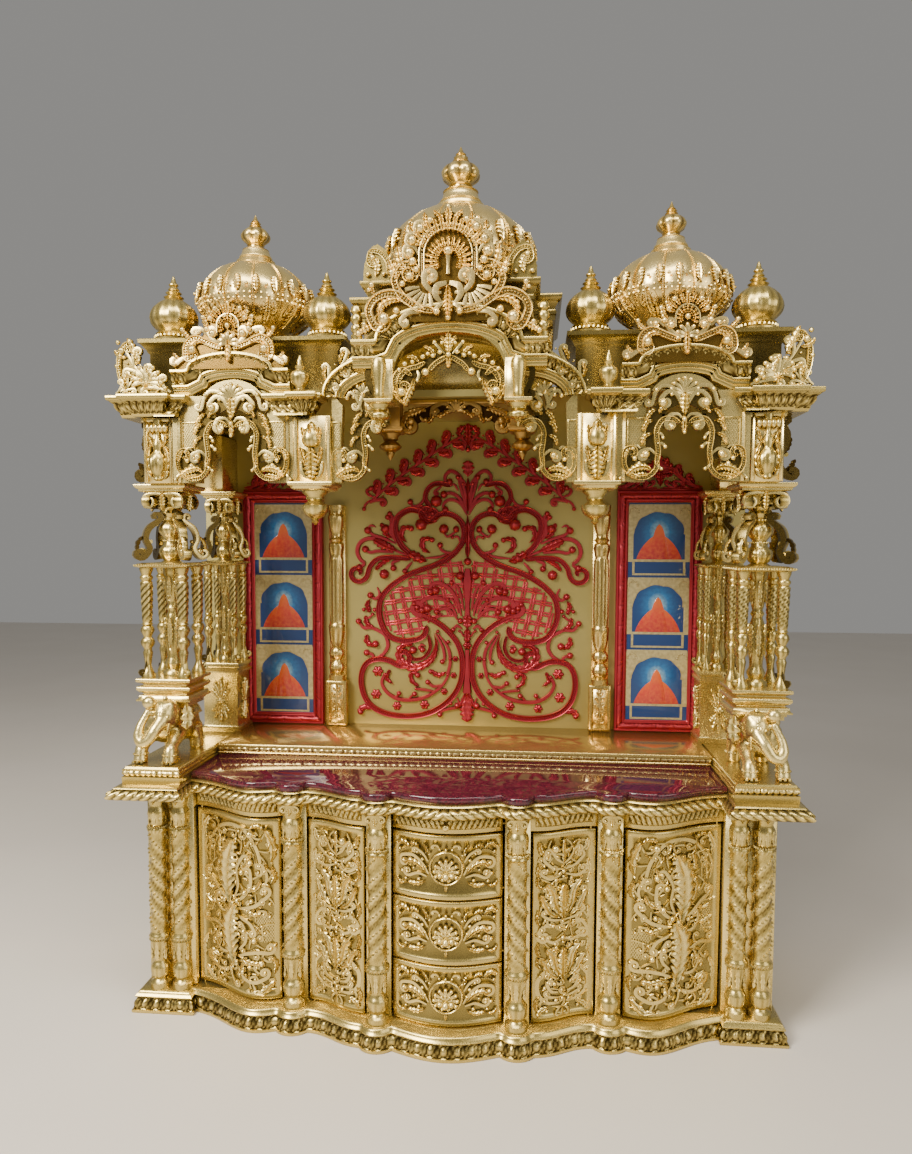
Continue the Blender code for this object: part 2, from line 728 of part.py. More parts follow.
JALI_LOW = 0.622
JALI_HIGH = 1.330
JALI_HALF = 0.325
JALI_THICKNESS = 0.010
JALI_STRAND_HALF = 0.009
STEM_HALF = 0.026
STEM_THICKNESS = 0.011
STEM_SHARES = [(0.70, 0), (1, 0.07), (0.77, 0.42), (0.92, 0.59), (0.54, 0.79), (0.77, 0.93), (0, 1)]
LOWER_STRAND_SHARES = [(0.62, 0.13), (0.70, 0.20), (0.84, 0.19), (0.93, 0.11), (0.80, 0.02), (0.52, 0),
                       (0.24, 0.05), (0.09, 0.16), (0.05, 0.27), (0.16, 0.38), (0.34, 0.42), (0.44, 0.40),
                       (0.42, 0.34)]
UPPER_STRAND_SHARES = [(0.35, 0.385), (0.46, 0.32), (0.62, 0.32), (0.76, 0.38), (0.80, 0.46), (0.66, 0.54),
                       (0.38, 0.60), (0.13, 0.66), (0.04, 0.74), (0.12, 0.82), (0.26, 0.80), (0.30, 0.73),
                       (0.20, 0.71)]


def strand(points):
    """The outline of a band of even width along points in x and z."""
    left, right = [], []
    for index, here in enumerate(points):
        before = Vector(points[max(index - 1, 0)])
        after = Vector(points[min(index + 1, len(points) - 1)])
        along = (after - before).normalized()
        across = Vector((-along.y, along.x)) * JALI_STRAND_HALF
        left.append(tuple(Vector(here) + across))
        right.append(tuple(Vector(here) - across))
    return left + right[::-1]


def red_scroll_panel():
    """The red scroll lattice on the back wall: beaded strands that meet at a middle stem."""
    stem = placed(STEM_SHARES, 0, STEM_HALF, JALI_LOW, JALI_HIGH)
    pieces = [flat([stem + mirrored(stem[:-1])], WALL_FACE_Y - STEM_THICKNESS, WALL_FACE_Y)]
    for shares in (LOWER_STRAND_SHARES, UPPER_STRAND_SHARES):
        for half in (JALI_HALF, -JALI_HALF):
            band = strand(placed(shares, 0, half, JALI_LOW, JALI_HIGH))
            pieces.append(flat([band], WALL_FACE_Y - JALI_THICKNESS, WALL_FACE_Y))
    finished("red_scroll_panel", pieces, CRIMSON)


RED_CREST_HALF = 0.300
RED_CREST_LOW = 1.205
RED_CREST_HIGH = 1.434
RED_CREST_THICKNESS = 0.012
RED_CREST_OUTER_SHARES = [(1, 0), (0.97, 0.12), (0.80, 0.29), (0.62, 0.45), (0.50, 0.62), (0.30, 0.77),
                          (0.12, 0.93), (0, 1)]
RED_CREST_INNER_SHARES = [(0, 0.70), (0.12, 0.64), (0.28, 0.48), (0.47, 0.33), (0.58, 0.16), (0.75, 0.01),
                          (0.90, -0.12)]


def red_crest():
    """The pointed crest of red scrolls over the panel."""
    outer = placed(RED_CREST_OUTER_SHARES, 0, RED_CREST_HALF, RED_CREST_LOW, RED_CREST_HIGH)
    inner = placed(RED_CREST_INNER_SHARES, 0, RED_CREST_HALF, RED_CREST_LOW, RED_CREST_HIGH)
    outline = outer + mirrored(outer[:-1]) + mirrored(inner[1:]) + inner
    plate = flat([outline], WALL_FACE_Y - RED_CREST_THICKNESS, WALL_FACE_Y)
    finished("red_crest", [plate], CRIMSON)


# Columns: block, four colonettes round a core, shelf, pot with brackets, capital and abacus
BLOCK_TOP = 0.782
BLOCK_SET_BACK = 0.0144
BLOCK_SHARES = [(0.83, 0.30), (0, 0.34), (0, 0.48), (0.56, 0.56), (0.56, 0.76), (0, 0.88), (0, 1)]
SHELF_BOTTOM = 1.045
SHELF_TOP = 1.057
SHELF_REACH = 0.005
SHELF_ROUND = 0.004
SHELF_SHARES = [(1, 0), (0, 0.5), (1, 1)]
COLONETTE_OFFSET = 0.044
COLONETTE_RADIUS = 0.0145
COLONETTE_SHARES = [(1, 1), (0.90, 0.92), (1, 0.60), (0.60, 0.52), (1.1, 0.47), (0.55, 0.41), (1.1, 0.35),
                    (0.60, 0.28), (1.05, 0.08), (1.05, 0)]
CORE_RADIUS = 0.018
CORE_SHARES = [(1, 1), (0.90, 0.30), (1.2, 0.12), (1.2, 0)]
POT_RADIUS = 0.028
POT_SHARES = [(0.80, 1), (0.56, 0.90), (0.91, 0.68), (0.54, 0.42), (1, 0.22), (0.80, 0.06), (0.90, 0)]
BRACKET_REACH = 0.089
BRACKET_THICKNESS = 0.012
BRACKET_SHARES = [(0.70, 0), (1, 0.02), (1, 0.20), (0.82, 0.40), (0.78, 0.56), (0.45, 0.70), (0.10, 0.60),
                  (0.10, 0.46), (0.60, 0.46), (0.70, 0.24)]
CAPITAL_BOTTOM = 1.175
CAPITAL_TOP = 1.2245
CAPITAL_SHARES = [(0.62, 0), (0.40, 0.25), (0.10, 0.62), (0.22, 1)]
ABACUS_BOTTOM = 1.223
ABACUS_SET_BACK = 0.010
ABACUS_SHARES = [(1, 0), (0.60, 0.39), (0, 0.61), (0, 1)]


def bracket(centre, turn, scale):
    """An S-shaped scroll bracket that stands on the shelf, turned about the column's axis."""
    outline = placed(BRACKET_SHARES, 0, BRACKET_REACH * scale, SHELF_TOP - JOIN, CAPITAL_BOTTOM)
    half = BRACKET_THICKNESS * scale / 2
    piece = flat([outline], -half, half)
    for vertex in piece.data.vertices:
        across, along, height = vertex.co
        x = centre[0] + across * math.cos(turn) - along * math.sin(turn)
        y = centre[1] + across * math.sin(turn) + along * math.cos(turn)
        vertex.co = (x, y, height)
    return piece


def column(name, side, centre, half, foot):
    """A carved column that stands at a foot height, as wide as its half width."""
    x, y = centre
    scale = half / FRONT_COLUMN_HALF
    cap = square(centre, half)
    block_levels = [(BLOCK_SET_BACK, foot)] + placed(BLOCK_SHARES, 0, BLOCK_SET_BACK, BLOCK_BOTTOM,
                                                     BLOCK_TOP)
    shelf = square(centre, half + SHELF_REACH * scale)
    capital = placed(CAPITAL_SHARES, 0, half, CAPITAL_BOTTOM, CAPITAL_TOP)
    abacus = placed(ABACUS_SHARES, 0, ABACUS_SET_BACK * scale, ABACUS_BOTTOM, ABACUS_TOP)
    pieces = [moulded(cap, block_levels),
              moulded(shelf, placed(SHELF_SHARES, 0, SHELF_ROUND, SHELF_BOTTOM, SHELF_TOP)),
              moulded(cap, capital), moulded(cap, abacus)]
    low, high = BLOCK_TOP - JOIN, SHELF_BOTTOM + JOIN
    pieces.append(turned(placed(CORE_SHARES, 0, CORE_RADIUS * scale, low, high), centre, 6))
    offset = COLONETTE_OFFSET * scale
    for place in square(centre, offset):
        pieces.append(turned(placed(COLONETTE_SHARES, 0, COLONETTE_RADIUS * scale, low, high), place, 6))
    pot = placed(POT_SHARES, 0, POT_RADIUS * scale, SHELF_TOP - JOIN, CAPITAL_BOTTOM + JOIN)
    pieces.append(turned(pot, centre, 8))
    for corner in range(4):
        pieces.append(bracket(centre, math.radians(45 + 90 * corner), scale))
    paired(name, pieces, GOLD, side)


def front_column(side):
    """A front column, which stands on the elephant's saddle."""
    column("front_column", side, (FRONT_COLUMN_X, FRONT_COLUMN_Y), FRONT_COLUMN_HALF, BLOCK_BOTTOM)


def rear_column(side):
    """A rear column on its square pedestal."""
    column("rear_column", side, (REAR_COLUMN_X, REAR_COLUMN_Y), REAR_COLUMN_HALF, LEDGE_TOP + SEAT)


# Elephant: places are forward, outward or up from the column's axis on the ledge
ELEPHANT_LOW = LEDGE_TOP + SEAT
BODY_RADII = (0.048, 0.088, 0.056)
BODY_FORWARD = 0.016
BODY_UP = 0.050
SADDLE_HALF = 0.041
SADDLE_BACK = 0.045
SADDLE_FRONT = 0.044
SADDLE_UP = 0.060
BASE_HALF = 0.043
BASE_FRONT = 0.080
BASE_BACK = 0.070
BASE_RISE = 0.018
HEAD_RADII = (0.030, 0.034, 0.036)
HEAD_INWARD = 0.026
HEAD_FORWARD = 0.098
HEAD_UP = 0.113
EAR_RADII = (0.026, 0.011, 0.028)
OUTER_EAR = 0.015
INNER_EAR = -0.064
EAR_FORWARD = 0.084
EAR_UP = 0.106
BALL_RADIUS = 0.016
BALL_OUTWARD = 0.010
BALL_FORWARD = 0.112
BALL_UP = 0.143
TRUNK_RADIUS = 0.0105
TRUNK_SPAN = 0.100
TRUNK_SHARES = [(-0.20, -1.20, 0.96), (0, -1.35, 0.56), (0.12, -1.35, 0.42), (0.32, -1.30, 0.62),
                (0.40, -1.24, 0.95), (0.26, -1.16, 1.26), (0.12, -1.12, 1.40)]
LEG_RADIUS = 0.014
LEG_SPREADS = (-0.033, 0.028)
LEG_TOP = 0.060
LEG_SHARES = [(-0.50, 1), (-0.88, 0.75), (-1.20, 0.62), (-1.22, 0)]
LEG_SPAN = 0.100
TUSK_RADIUS = 0.0035
TUSK_SPREAD = 0.014
TUSK_SHARES = [(-1.05, 1), (-1.50, 0.72)]
TUSK_UP = 0.096


def elephant(side):
    """A kneeling elephant with a raised trunk that holds a ball, under a front column."""
    x, y, low = FRONT_COLUMN_X, FRONT_COLUMN_Y, ELEPHANT_LOW
    head_x = x - HEAD_INWARD
    ball_place = (x + BALL_OUTWARD, y - BALL_FORWARD, low + BALL_UP)
    pieces = [ball((x, y - BODY_FORWARD, low + BODY_UP), BODY_RADII),
              block((x - SADDLE_HALF, y - SADDLE_FRONT, low + SADDLE_UP),
                    (x + SADDLE_HALF, y + SADDLE_BACK, BLOCK_BOTTOM - SEAT)),
              block((x - BASE_HALF, y - BASE_FRONT, low), (x + BASE_HALF, y + BASE_BACK, low + BASE_RISE)),
              ball((head_x, y - HEAD_FORWARD, low + HEAD_UP), HEAD_RADII),
              ball(ball_place, (BALL_RADIUS,) * 3, 6, 5),
              tube([(x + TRUNK_SPAN * a, y + TRUNK_SPAN * b, low + TRUNK_SPAN * c) for a, b,
                    c in TRUNK_SHARES], TRUNK_RADIUS)]
    for ear_x in (x + OUTER_EAR, x + INNER_EAR):
        pieces.append(ball((ear_x, y - EAR_FORWARD, low + EAR_UP), EAR_RADII, 6, 5))
    for spread in LEG_SPREADS:
        pieces.append(tube([(x + spread, y + LEG_SPAN * a, low + LEG_TOP * b) for a, b in LEG_SHARES],
                           LEG_RADIUS))
    for spread in (-TUSK_SPREAD, TUSK_SPREAD):
        tusk = [(head_x + spread, y + LEG_SPAN * a, low + TUSK_UP * b) for a, b in TUSK_SHARES]
        pieces.append(tube(tusk, TUSK_RADIUS))
    ground = block((x - TRUNK_SPAN, y - 2 * TRUNK_SPAN, low - LEG_TOP),
                   (x + TRUNK_SPAN, y + TRUNK_SPAN, low))
    paired("elephant", pieces, GOLD, side, [ground])


# Entablature
CORNICE_SHARES = [(1, 0), (0.80, 0.22), (0.30, 0.62), (0, 0.80), (0, 1)]
CORNICE_CLEARANCE = 0.0005
LEAF_DEPTH_SHARE = 0.75
LEAF_MARGIN = 0.004
POST_LOW = ABACUS_TOP + SEAT
HOOD_SEAT = CORNICE_TOP + SEAT


def cornice(outline, still):
    """A moulded slab that flares out to its top edge."""
    return moulded(outline, placed(CORNICE_SHARES, 0, CORNICE_REACH, CORNICE_BOTTOM, CORNICE_TOP), still)


def acanthus(x, y, low, high, half):
    """A leaf bracket on a post, plain in outline: a slim egg standing on its end."""
    return ball((x, y, (low + high) / 2), (half, half * LEAF_DEPTH_SHARE, (high - low) / 2))


CORNER_POST_FRONT_Y = -0.128
CORNER_POST_BACK_Y = 0.006
CORNER_LEAF_HALF = 0.022
LEAF_PROUD = 0.002
CORNER_CORNICE_IN_X = 0.600
CORNER_BREAK_IN_X = 0.632
CORNER_BREAK_OUT_X = 0.750
CORNER_CORNICE_OUT_X = 0.785
SIDE_LEAF_X = 0.718
SIDE_LEAF_Y = -0.054
SIDE_LEAF_HALF = 0.024
RAIL_DROP = 0.050
RAIL_IN_X = 0.690
RAIL_OUT_X = 0.730
REAR_POST_X = 0.685
REAR_POST_HALF = 0.038
ORNAMENT_HALF = 0.060
ORNAMENT_TOP = 1.568
ORNAMENT_FRONT_Y = -0.162
ORNAMENT_BACK_Y = -0.146
ORNAMENT_IN = 0.007
ORNAMENT_SHARES = [(-1, 0), (1, 0), (0.95, 0.45), (0.70, 0.87), (0.37, 1), (0.13, 0.80), (0.37, 0.65),
                   (0, 0.45), (-0.47, 0.57), (-0.83, 0.38)]


def corner_cornice(side):
    """The posts on a front and a rear column, their brackets, and the cornice that joins them."""
    post_x = (CORNER_IN_X + CORNER_OUT_X) / 2
    high = CORNICE_BOTTOM + JOIN
    back = ARCH_FRONT_Y - CORNICE_CLEARANCE
    slab = [(CORNER_CORNICE_IN_X, CORNICE_Y), (CORNER_BREAK_IN_X, CORNICE_Y),
            (CORNER_BREAK_IN_X, CORNICE_BREAK_Y), (CORNER_BREAK_OUT_X, CORNICE_BREAK_Y),
            (CORNER_BREAK_OUT_X, CORNICE_Y), (CORNER_CORNICE_OUT_X, CORNICE_Y),
            (CORNER_CORNICE_OUT_X, WALL_FACE_Y), (CORNER_IN_X + JOIN, WALL_FACE_Y),
            (CORNER_IN_X + JOIN, back), (CORNER_CORNICE_IN_X, back)]
    break_x = (CORNER_BREAK_IN_X + CORNER_BREAK_OUT_X) / 2
    ornament = placed(ORNAMENT_SHARES, break_x + ORNAMENT_IN, ORNAMENT_HALF, CORNICE_TOP - JOIN,
                      ORNAMENT_TOP)
    pieces = [cornice(slab, (6, 7, 8)),
              block((CORNER_IN_X, CORNER_POST_FRONT_Y, POST_LOW),
                    (CORNER_OUT_X, CORNER_POST_BACK_Y, high)),
              acanthus(post_x, CORNER_POST_FRONT_Y - LEAF_PROUD, POST_LOW + LEAF_MARGIN,
                       CORNICE_BOTTOM - LEAF_MARGIN, CORNER_LEAF_HALF),
              acanthus(SIDE_LEAF_X, SIDE_LEAF_Y, POST_LOW + LEAF_MARGIN, CORNICE_BOTTOM - LEAF_MARGIN,
                       SIDE_LEAF_HALF), block((RAIL_IN_X, CORNER_POST_BACK_Y - JOIN,
                                               CORNICE_BOTTOM - RAIL_DROP),
                                              (RAIL_OUT_X, WALL_FACE_Y, high)),
              block((REAR_POST_X - REAR_POST_HALF, REAR_COLUMN_Y - REAR_POST_HALF, POST_LOW),
                    (REAR_POST_X + REAR_POST_HALF, WALL_FACE_Y, high)),
              flat([ornament], ORNAMENT_FRONT_Y, ORNAMENT_BACK_Y)]
    paired("corner_cornice", pieces, GOLD, side)


POST_FRONT_Y = -0.150
POST_BACK_Y = -0.090
POST_LEAF_X = 0.324
POST_CORNICE_IN_X = 0.2915
POST_BREAK_IN_X = 0.298
POST_BREAK_OUT_X = 0.366
POST_CORNICE_OUT_X = 0.424
POST_ABACUS_HALF = 0.050
POST_ABACUS_HEIGHT = 0.018
POST_ABACUS_SET_BACK = 0.010
DROP_LOW = 1.146
DROP_RADIUS = 0.032
DROP_PLATE_REACH = 0.005
DROP_SHARES = [(0.80, 1), (0.62, 0.82), (0.48, 0.70), (1, 0.58), (0.95, 0.40), (0.45, 0.22), (0.22, 0.14),
               (0.28, 0.08), (0.10, 0)]
URN_X = 0.336
URN_Y = -0.1635
URN_TOP = 1.517
URN_RADIUS = 0.0215
URN_SHARES = [(0.05, 1), (0.36, 0.80), (0.25, 0.74), (0.45, 0.66), (1, 0.56), (0.95, 0.36), (0.50, 0.20),
              (0.80, 0.08), (0.80, 0)]


def outer_post(side):
    """An outer post with its leaf bracket, cornice, urn, abacus and bell drop."""
    centre = ((POST_IN_X + POST_OUT_X) / 2, (POST_FRONT_Y + POST_BACK_Y) / 2)
    back = ARCH_FRONT_Y - CORNICE_CLEARANCE
    slab = [(POST_CORNICE_IN_X, CORNICE_Y), (POST_BREAK_IN_X, CORNICE_Y),
            (POST_BREAK_IN_X, CORNICE_BREAK_Y), (POST_BREAK_OUT_X, CORNICE_BREAK_Y),
            (POST_BREAK_OUT_X, CORNICE_Y), (POST_CORNICE_OUT_X, CORNICE_Y), (POST_CORNICE_OUT_X, back),
            (POST_OUT_X - JOIN, back), (POST_OUT_X - JOIN, POST_BACK_Y - JOIN),
            (POST_CORNICE_IN_X, POST_BACK_Y - JOIN)]
    abacus_low = POST_LOW - POST_ABACUS_HEIGHT
    abacus = placed(ABACUS_SHARES, 0, POST_ABACUS_SET_BACK, abacus_low, POST_LOW)
    pieces = [cornice(slab, (6, 7, 8, 9)),
              block((POST_IN_X, POST_FRONT_Y, POST_LOW - JOIN),
                    (POST_OUT_X, POST_BACK_Y, CORNICE_BOTTOM + JOIN)),
              acanthus(POST_LEAF_X, POST_FRONT_Y - LEAF_PROUD, POST_LOW + LEAF_MARGIN,
                       CORNICE_BOTTOM - LEAF_MARGIN, CORNER_LEAF_HALF),
              moulded(square(centre, POST_ABACUS_HALF), abacus),
              turned(placed(DROP_SHARES, 0, DROP_RADIUS, DROP_LOW, abacus_low + JOIN), centre, 8),
              turned(placed(URN_SHARES, 0, URN_RADIUS, CORNICE_TOP - JOIN, URN_TOP), (URN_X, URN_Y), 8)]
    paired("outer_post", pieces, GOLD, side)


HOOD_HALF = 0.135
HOOD_BOW_HALF = 0.100
HOOD_SHOULDER = 1.492
HOOD_TOP = 1.530
HOOD_FRONT_Y = -0.160
HOOD_STEPS = 8
INTRADOS_HALF = 0.080
INTRADOS_SPRING = 1.400
INTRADOS_TOP = 1.472
FRET_RECESS = 0.006
FRET_SHARES = [(1.05, 0.69), (1.05, 0.09), (0.94, 0.03), (0.68, 0.04), (0.55, 0.14), (0.55, 0.38),
               (0.47, 0.51), (0.24, 0.55), (0, 0.49)]


def side_arch(side):
    """A side arch: raised hood, jambs behind the cornices, and the scroll fret inside it."""
    x = SIDE_ARCH_X
    inner, outer = POST_OUT_X + SEAT, CORNER_IN_X - SEAT
    opening = bow(x, INTRADOS_HALF, INTRADOS_SPRING, INTRADOS_TOP, HOOD_STEPS)
    legs = [(x - INTRADOS_HALF, POST_LOW), (inner, POST_LOW), (inner, HOOD_SEAT - SEAT),
            (x - HOOD_HALF, HOOD_SEAT)]
    hood = bow(x, HOOD_BOW_HALF, HOOD_SHOULDER, HOOD_TOP, HOOD_STEPS)
    over = [(x + HOOD_HALF, HOOD_SEAT),
            (x + HOOD_HALF, HOOD_SHOULDER)] + hood + [(x - HOOD_HALF, HOOD_SHOULDER)]
    plate = opening + legs + over[::-1] + [(outer, HOOD_SEAT - SEAT), (outer, POST_LOW),
                                           (x + INTRADOS_HALF, POST_LOW)]
    rise = bow(x, INTRADOS_HALF, HOOD_SEAT, INTRADOS_TOP, HOOD_STEPS)
    half_fret = placed(FRET_SHARES, x, INTRADOS_HALF, POST_LOW, INTRADOS_TOP)
    fret_top = bow(x, INTRADOS_HALF + JOIN, INTRADOS_SPRING, INTRADOS_TOP + JOIN, HOOD_STEPS)
    pieces = [
        flat([plate], ARCH_FRONT_Y, ARCH_BACK_Y),
        flat([over + [(x - HOOD_HALF, HOOD_SEAT)] + rise[::-1]], HOOD_FRONT_Y, ARCH_BACK_Y - FRET_RECESS),
        flat([half_fret + mirrored(half_fret[:-1], x) + fret_top[::-1]], ARCH_FRONT_Y + FRET_RECESS,
             ARCH_BACK_Y - FRET_RECESS)]
    paired("side_arch", pieces, GOLD, side)


QUARTER_TOP = 1.520
QUARTER_SPRING = 1.430
QUARTER_OVERHANG = 0.024
QUARTER_BAND = 0.022
QUARTER_UNDER_SPRING = 1.400
QUARTER_UNDER_TOP = 1.474
QUARTER_STEPS = 6
QUARTER_FRET_LOW = 1.250
QUARTER_FRET_HIGH = 1.476
QUARTER_FRET_SHARES = [(1, 0.30), (1, 0.06), (0.92, 0.01), (0.60, 0.03), (0.42, 0.12), (0.42, 0.30),
                       (0.50, 0.46), (0.56, 0.60), (0.34, 0.80), (0, 0.86), (0, 1), (0.44, 0.94),
                       (0.92, 0.70)]


def quarter_arch(side):
    """A quarter arch from an outer post up to the canopy, with its half fret."""
    inner, outer = CANOPY_HALF + SEAT, POST_IN_X - SEAT
    width = outer - inner
    turns = [math.pi / 2 * index / QUARTER_STEPS for index in range(QUARTER_STEPS + 1)]
    over = [(inner + (width + QUARTER_OVERHANG) * math.cos(turn),
             QUARTER_SPRING + (QUARTER_TOP - QUARTER_SPRING) * math.sin(turn)) for turn in turns]
    over[0] = (outer, QUARTER_SPRING)
    under_rise = QUARTER_UNDER_TOP - QUARTER_UNDER_SPRING
    under = [(inner + (width - QUARTER_BAND) * math.cos(turn),
              QUARTER_UNDER_SPRING + under_rise * math.sin(turn)) for turn in turns]
    outline = [(outer, POST_LOW)] + over + under[::-1] + [(outer - QUARTER_BAND, POST_LOW)]
    fret = placed(QUARTER_FRET_SHARES, inner, width - QUARTER_BAND + JOIN, QUARTER_FRET_LOW,
                  QUARTER_FRET_HIGH)
    pieces = [flat([outline], ARCH_FRONT_Y, ARCH_BACK_Y),
              flat([fret], ARCH_FRONT_Y + FRET_RECESS, ARCH_BACK_Y - FRET_RECESS)]
    paired("quarter_arch", pieces, GOLD, side)


# Centre canopy
CANOPY_SHOULDER_HALF = 0.205
CANOPY_BOW_HALF = 0.155
CANOPY_FOOT = 1.404
CANOPY_SPRING = 1.490
CANOPY_SLOPE = 0.010
CANOPY_OPENING_HALF = 0.117
CANOPY_OPENING_SPRING = 1.470
CANOPY_OPENING_TOP = 1.562
CANOPY_STEPS = 10
TYMPANUM_Y = -0.215
TYMPANUM_TOP = 1.546
VAULT_HALF = 0.200
VAULT_BOTTOM = 1.524
VAULT_TOP = 1.600
FRONT_DROP_X = 0.146
FRONT_DROP_Y = -0.228
FRONT_DROP_HALF = 0.030
FRONT_DROP_PLATE_LOW = 1.396
FRONT_DROP_PLATE_HIGH = 1.406
FRONT_DROP_LOW = 1.349
FRONT_DROP_RADIUS = 0.024
VASE_HALF = 0.017
VASE_LOW = 1.410
SIDE_VASE_X = 0.166
SIDE_VASE_Y = -0.190
CANOPY_FRET_Y = -0.231
CANOPY_FRET_THICKNESS = 0.014
CANOPY_FRET_SHARES = [(1.03, 0.42), (1.03, 0.10), (0.82, 0), (0.68, 0.08), (0.64, 0.30), (0.41, 0.42),
                      (0.25, 0.55), (0.06, 0.52), (0, 0.57)]


def canopy():
    """The projecting centre canopy: arch, posts, tympanum and vault, front drops and fret."""
    half, opening = CANOPY_HALF, CANOPY_OPENING_HALF
    extrados = bow(0, CANOPY_BOW_HALF, CANOPY_SHOULDER, CANOPY_TOP, CANOPY_STEPS)
    intrados = bow(0, opening, CANOPY_OPENING_SPRING, CANOPY_OPENING_TOP, CANOPY_STEPS)
    foot = [(opening, CANOPY_FOOT), (half, CANOPY_FOOT), (half, CANOPY_SPRING),
            (CANOPY_SHOULDER_HALF, CANOPY_SPRING + CANOPY_SLOPE), (CANOPY_SHOULDER_HALF, CANOPY_SHOULDER)]
    front = flat([foot + extrados + mirrored(foot) + intrados[::-1]], CANOPY_FRONT_Y, CANOPY_BACK_Y)
    under = bow(0, opening, CANOPY_OPENING_SPRING, TYMPANUM_TOP, CANOPY_STEPS)[2:-2]
    vault = flat([[(VAULT_HALF, VAULT_BOTTOM), (VAULT_HALF, VAULT_TOP), (-VAULT_HALF, VAULT_TOP),
                   (-VAULT_HALF, VAULT_BOTTOM)] + under[::-1]], TYMPANUM_Y, VAULT_BACK_Y)
    half_fret = placed(CANOPY_FRET_SHARES, 0, opening, CANOPY_FOOT - LEAF_MARGIN, CANOPY_OPENING_TOP)
    fret_top = bow(0, opening + JOIN, CANOPY_OPENING_SPRING, CANOPY_OPENING_TOP + JOIN, CANOPY_STEPS)
    fret = flat([half_fret + mirrored(half_fret[:-1]) + fret_top[::-1]], CANOPY_FRET_Y,
                CANOPY_FRET_Y + CANOPY_FRET_THICKNESS)
    pieces = [front, vault, fret]
    for side in SIDE_NAMES:
        centre = (side * FRONT_DROP_X, FRONT_DROP_Y)
        plate = placed(ABACUS_SHARES, 0, DROP_PLATE_REACH, FRONT_DROP_PLATE_LOW, FRONT_DROP_PLATE_HIGH)
        drop = placed(DROP_SHARES, 0, FRONT_DROP_RADIUS, FRONT_DROP_LOW, FRONT_DROP_PLATE_LOW + JOIN)
        pieces += [
            moulded(square(centre, FRONT_DROP_HALF), plate), turned(drop, centre, 6),
            acanthus(centre[0], CANOPY_FRONT_Y, VASE_LOW, CANOPY_SPRING, VASE_HALF),
            acanthus(side * SIDE_VASE_X, SIDE_VASE_Y, VASE_LOW, CANOPY_SPRING, VASE_HALF)]
    finished("centre_canopy", pieces, GOLD)


REAR_DROP_X = 0.153
REAR_DROP_Y = -0.056
REAR_DROP_BLOCK_HALF = 0.026
REAR_DROP_PLATE_HALF = 0.033
REAR_DROP_PLATE_LOW = 1.358
REAR_DROP_PLATE_HIGH = 1.372
REAR_DROP_LOW = 1.297
REAR_DROP_RADIUS = 0.026
INNER_FRET_HALF = 0.130
INNER_FRET_THICKNESS = 0.012
INNER_FRET_SHARES = [(1, 1), (1, 0.20), (0.84, 0), (0.66, 0.06), (0.60, 0.40), (0.46, 0.50), (0.36, 0.78),
                     (0.16, 0.88), (0, 0.84)]


def inner_arch():
    """The dark inner arch with its fret, between the two rear drops."""
    high = CORNICE_TOP - SEAT
    half_fret = placed(INNER_FRET_SHARES, 0, INNER_FRET_HALF, REAR_DROP_PLATE_LOW, high)
    fret = flat([half_fret + mirrored(half_fret[:-1])], REAR_DROP_Y - INNER_FRET_THICKNESS / 2,
                REAR_DROP_Y + INNER_FRET_THICKNESS / 2)
    pieces = [fret]
    for side in SIDE_NAMES:
        centre = (side * REAR_DROP_X, REAR_DROP_Y)
        low_corner, _, high_corner, _ = square(centre, REAR_DROP_BLOCK_HALF)
        plate = placed(ABACUS_SHARES, 0, DROP_PLATE_REACH, REAR_DROP_PLATE_LOW, REAR_DROP_PLATE_HIGH)
        drop = placed(DROP_SHARES, 0, REAR_DROP_RADIUS, REAR_DROP_LOW, REAR_DROP_PLATE_LOW + JOIN)
        pieces += [
            block((*low_corner, REAR_DROP_PLATE_HIGH - JOIN), (*high_corner, high)),
            moulded(square(centre, REAR_DROP_PLATE_HALF), plate), turned(drop, centre, 6)]
    finished("inner_arch", pieces, GOLD)


CEILING_HALF = 0.735
CEILING_FRONT_Y = ARCH_BACK_Y + CORNICE_CLEARANCE
CEILING_NOTCH_HALF = 0.195
CEILING_NOTCH_Y = -0.090


def ceiling():
    """The ceiling board over the niche, cut away where the centre vault rises."""
    half, notch = CEILING_HALF, CEILING_NOTCH_HALF
    outline = [(-half, CEILING_FRONT_Y), (-notch, CEILING_FRONT_Y), (-notch, CEILING_NOTCH_Y),
               (notch, CEILING_NOTCH_Y), (notch, CEILING_FRONT_Y), (half, CEILING_FRONT_Y), (half, BACK_Y),
               (-half, BACK_Y)]
    finished("ceiling_board", [flat([outline], HOOD_SEAT, CEILING_TOP, upright=False)], PALE_GOLD)


# Roof
ROOF_LOW = CEILING_TOP + SEAT
ATTIC_IN_X = 0.250
ATTIC_OUT_X = 0.735
ATTIC_FRONT_Y = -0.104
ATTIC_BACK_Y = 0.299
ATTIC_REACH = 0.020
ATTIC_SHARES = [(1, 0), (1, 0.76), (0.50, 0.85), (0.20, 0.90), (0, 0.93), (0, 1)]
ONION_OUT_X = 0.671
ONION_IN_X = 0.303
ONION_Y = -0.046
ONION_RADIUS = 0.0555
ONION_TOP = 1.730
ONION_SHARES = [(0.05, 1), (0.24, 0.87), (0.16, 0.80), (0.36, 0.74), (0.28, 0.68), (0.45, 0.62),
                (0.86, 0.52), (1, 0.41), (0.95, 0.26), (0.77, 0.15), (0.85, 0.05), (0.85, 0)]


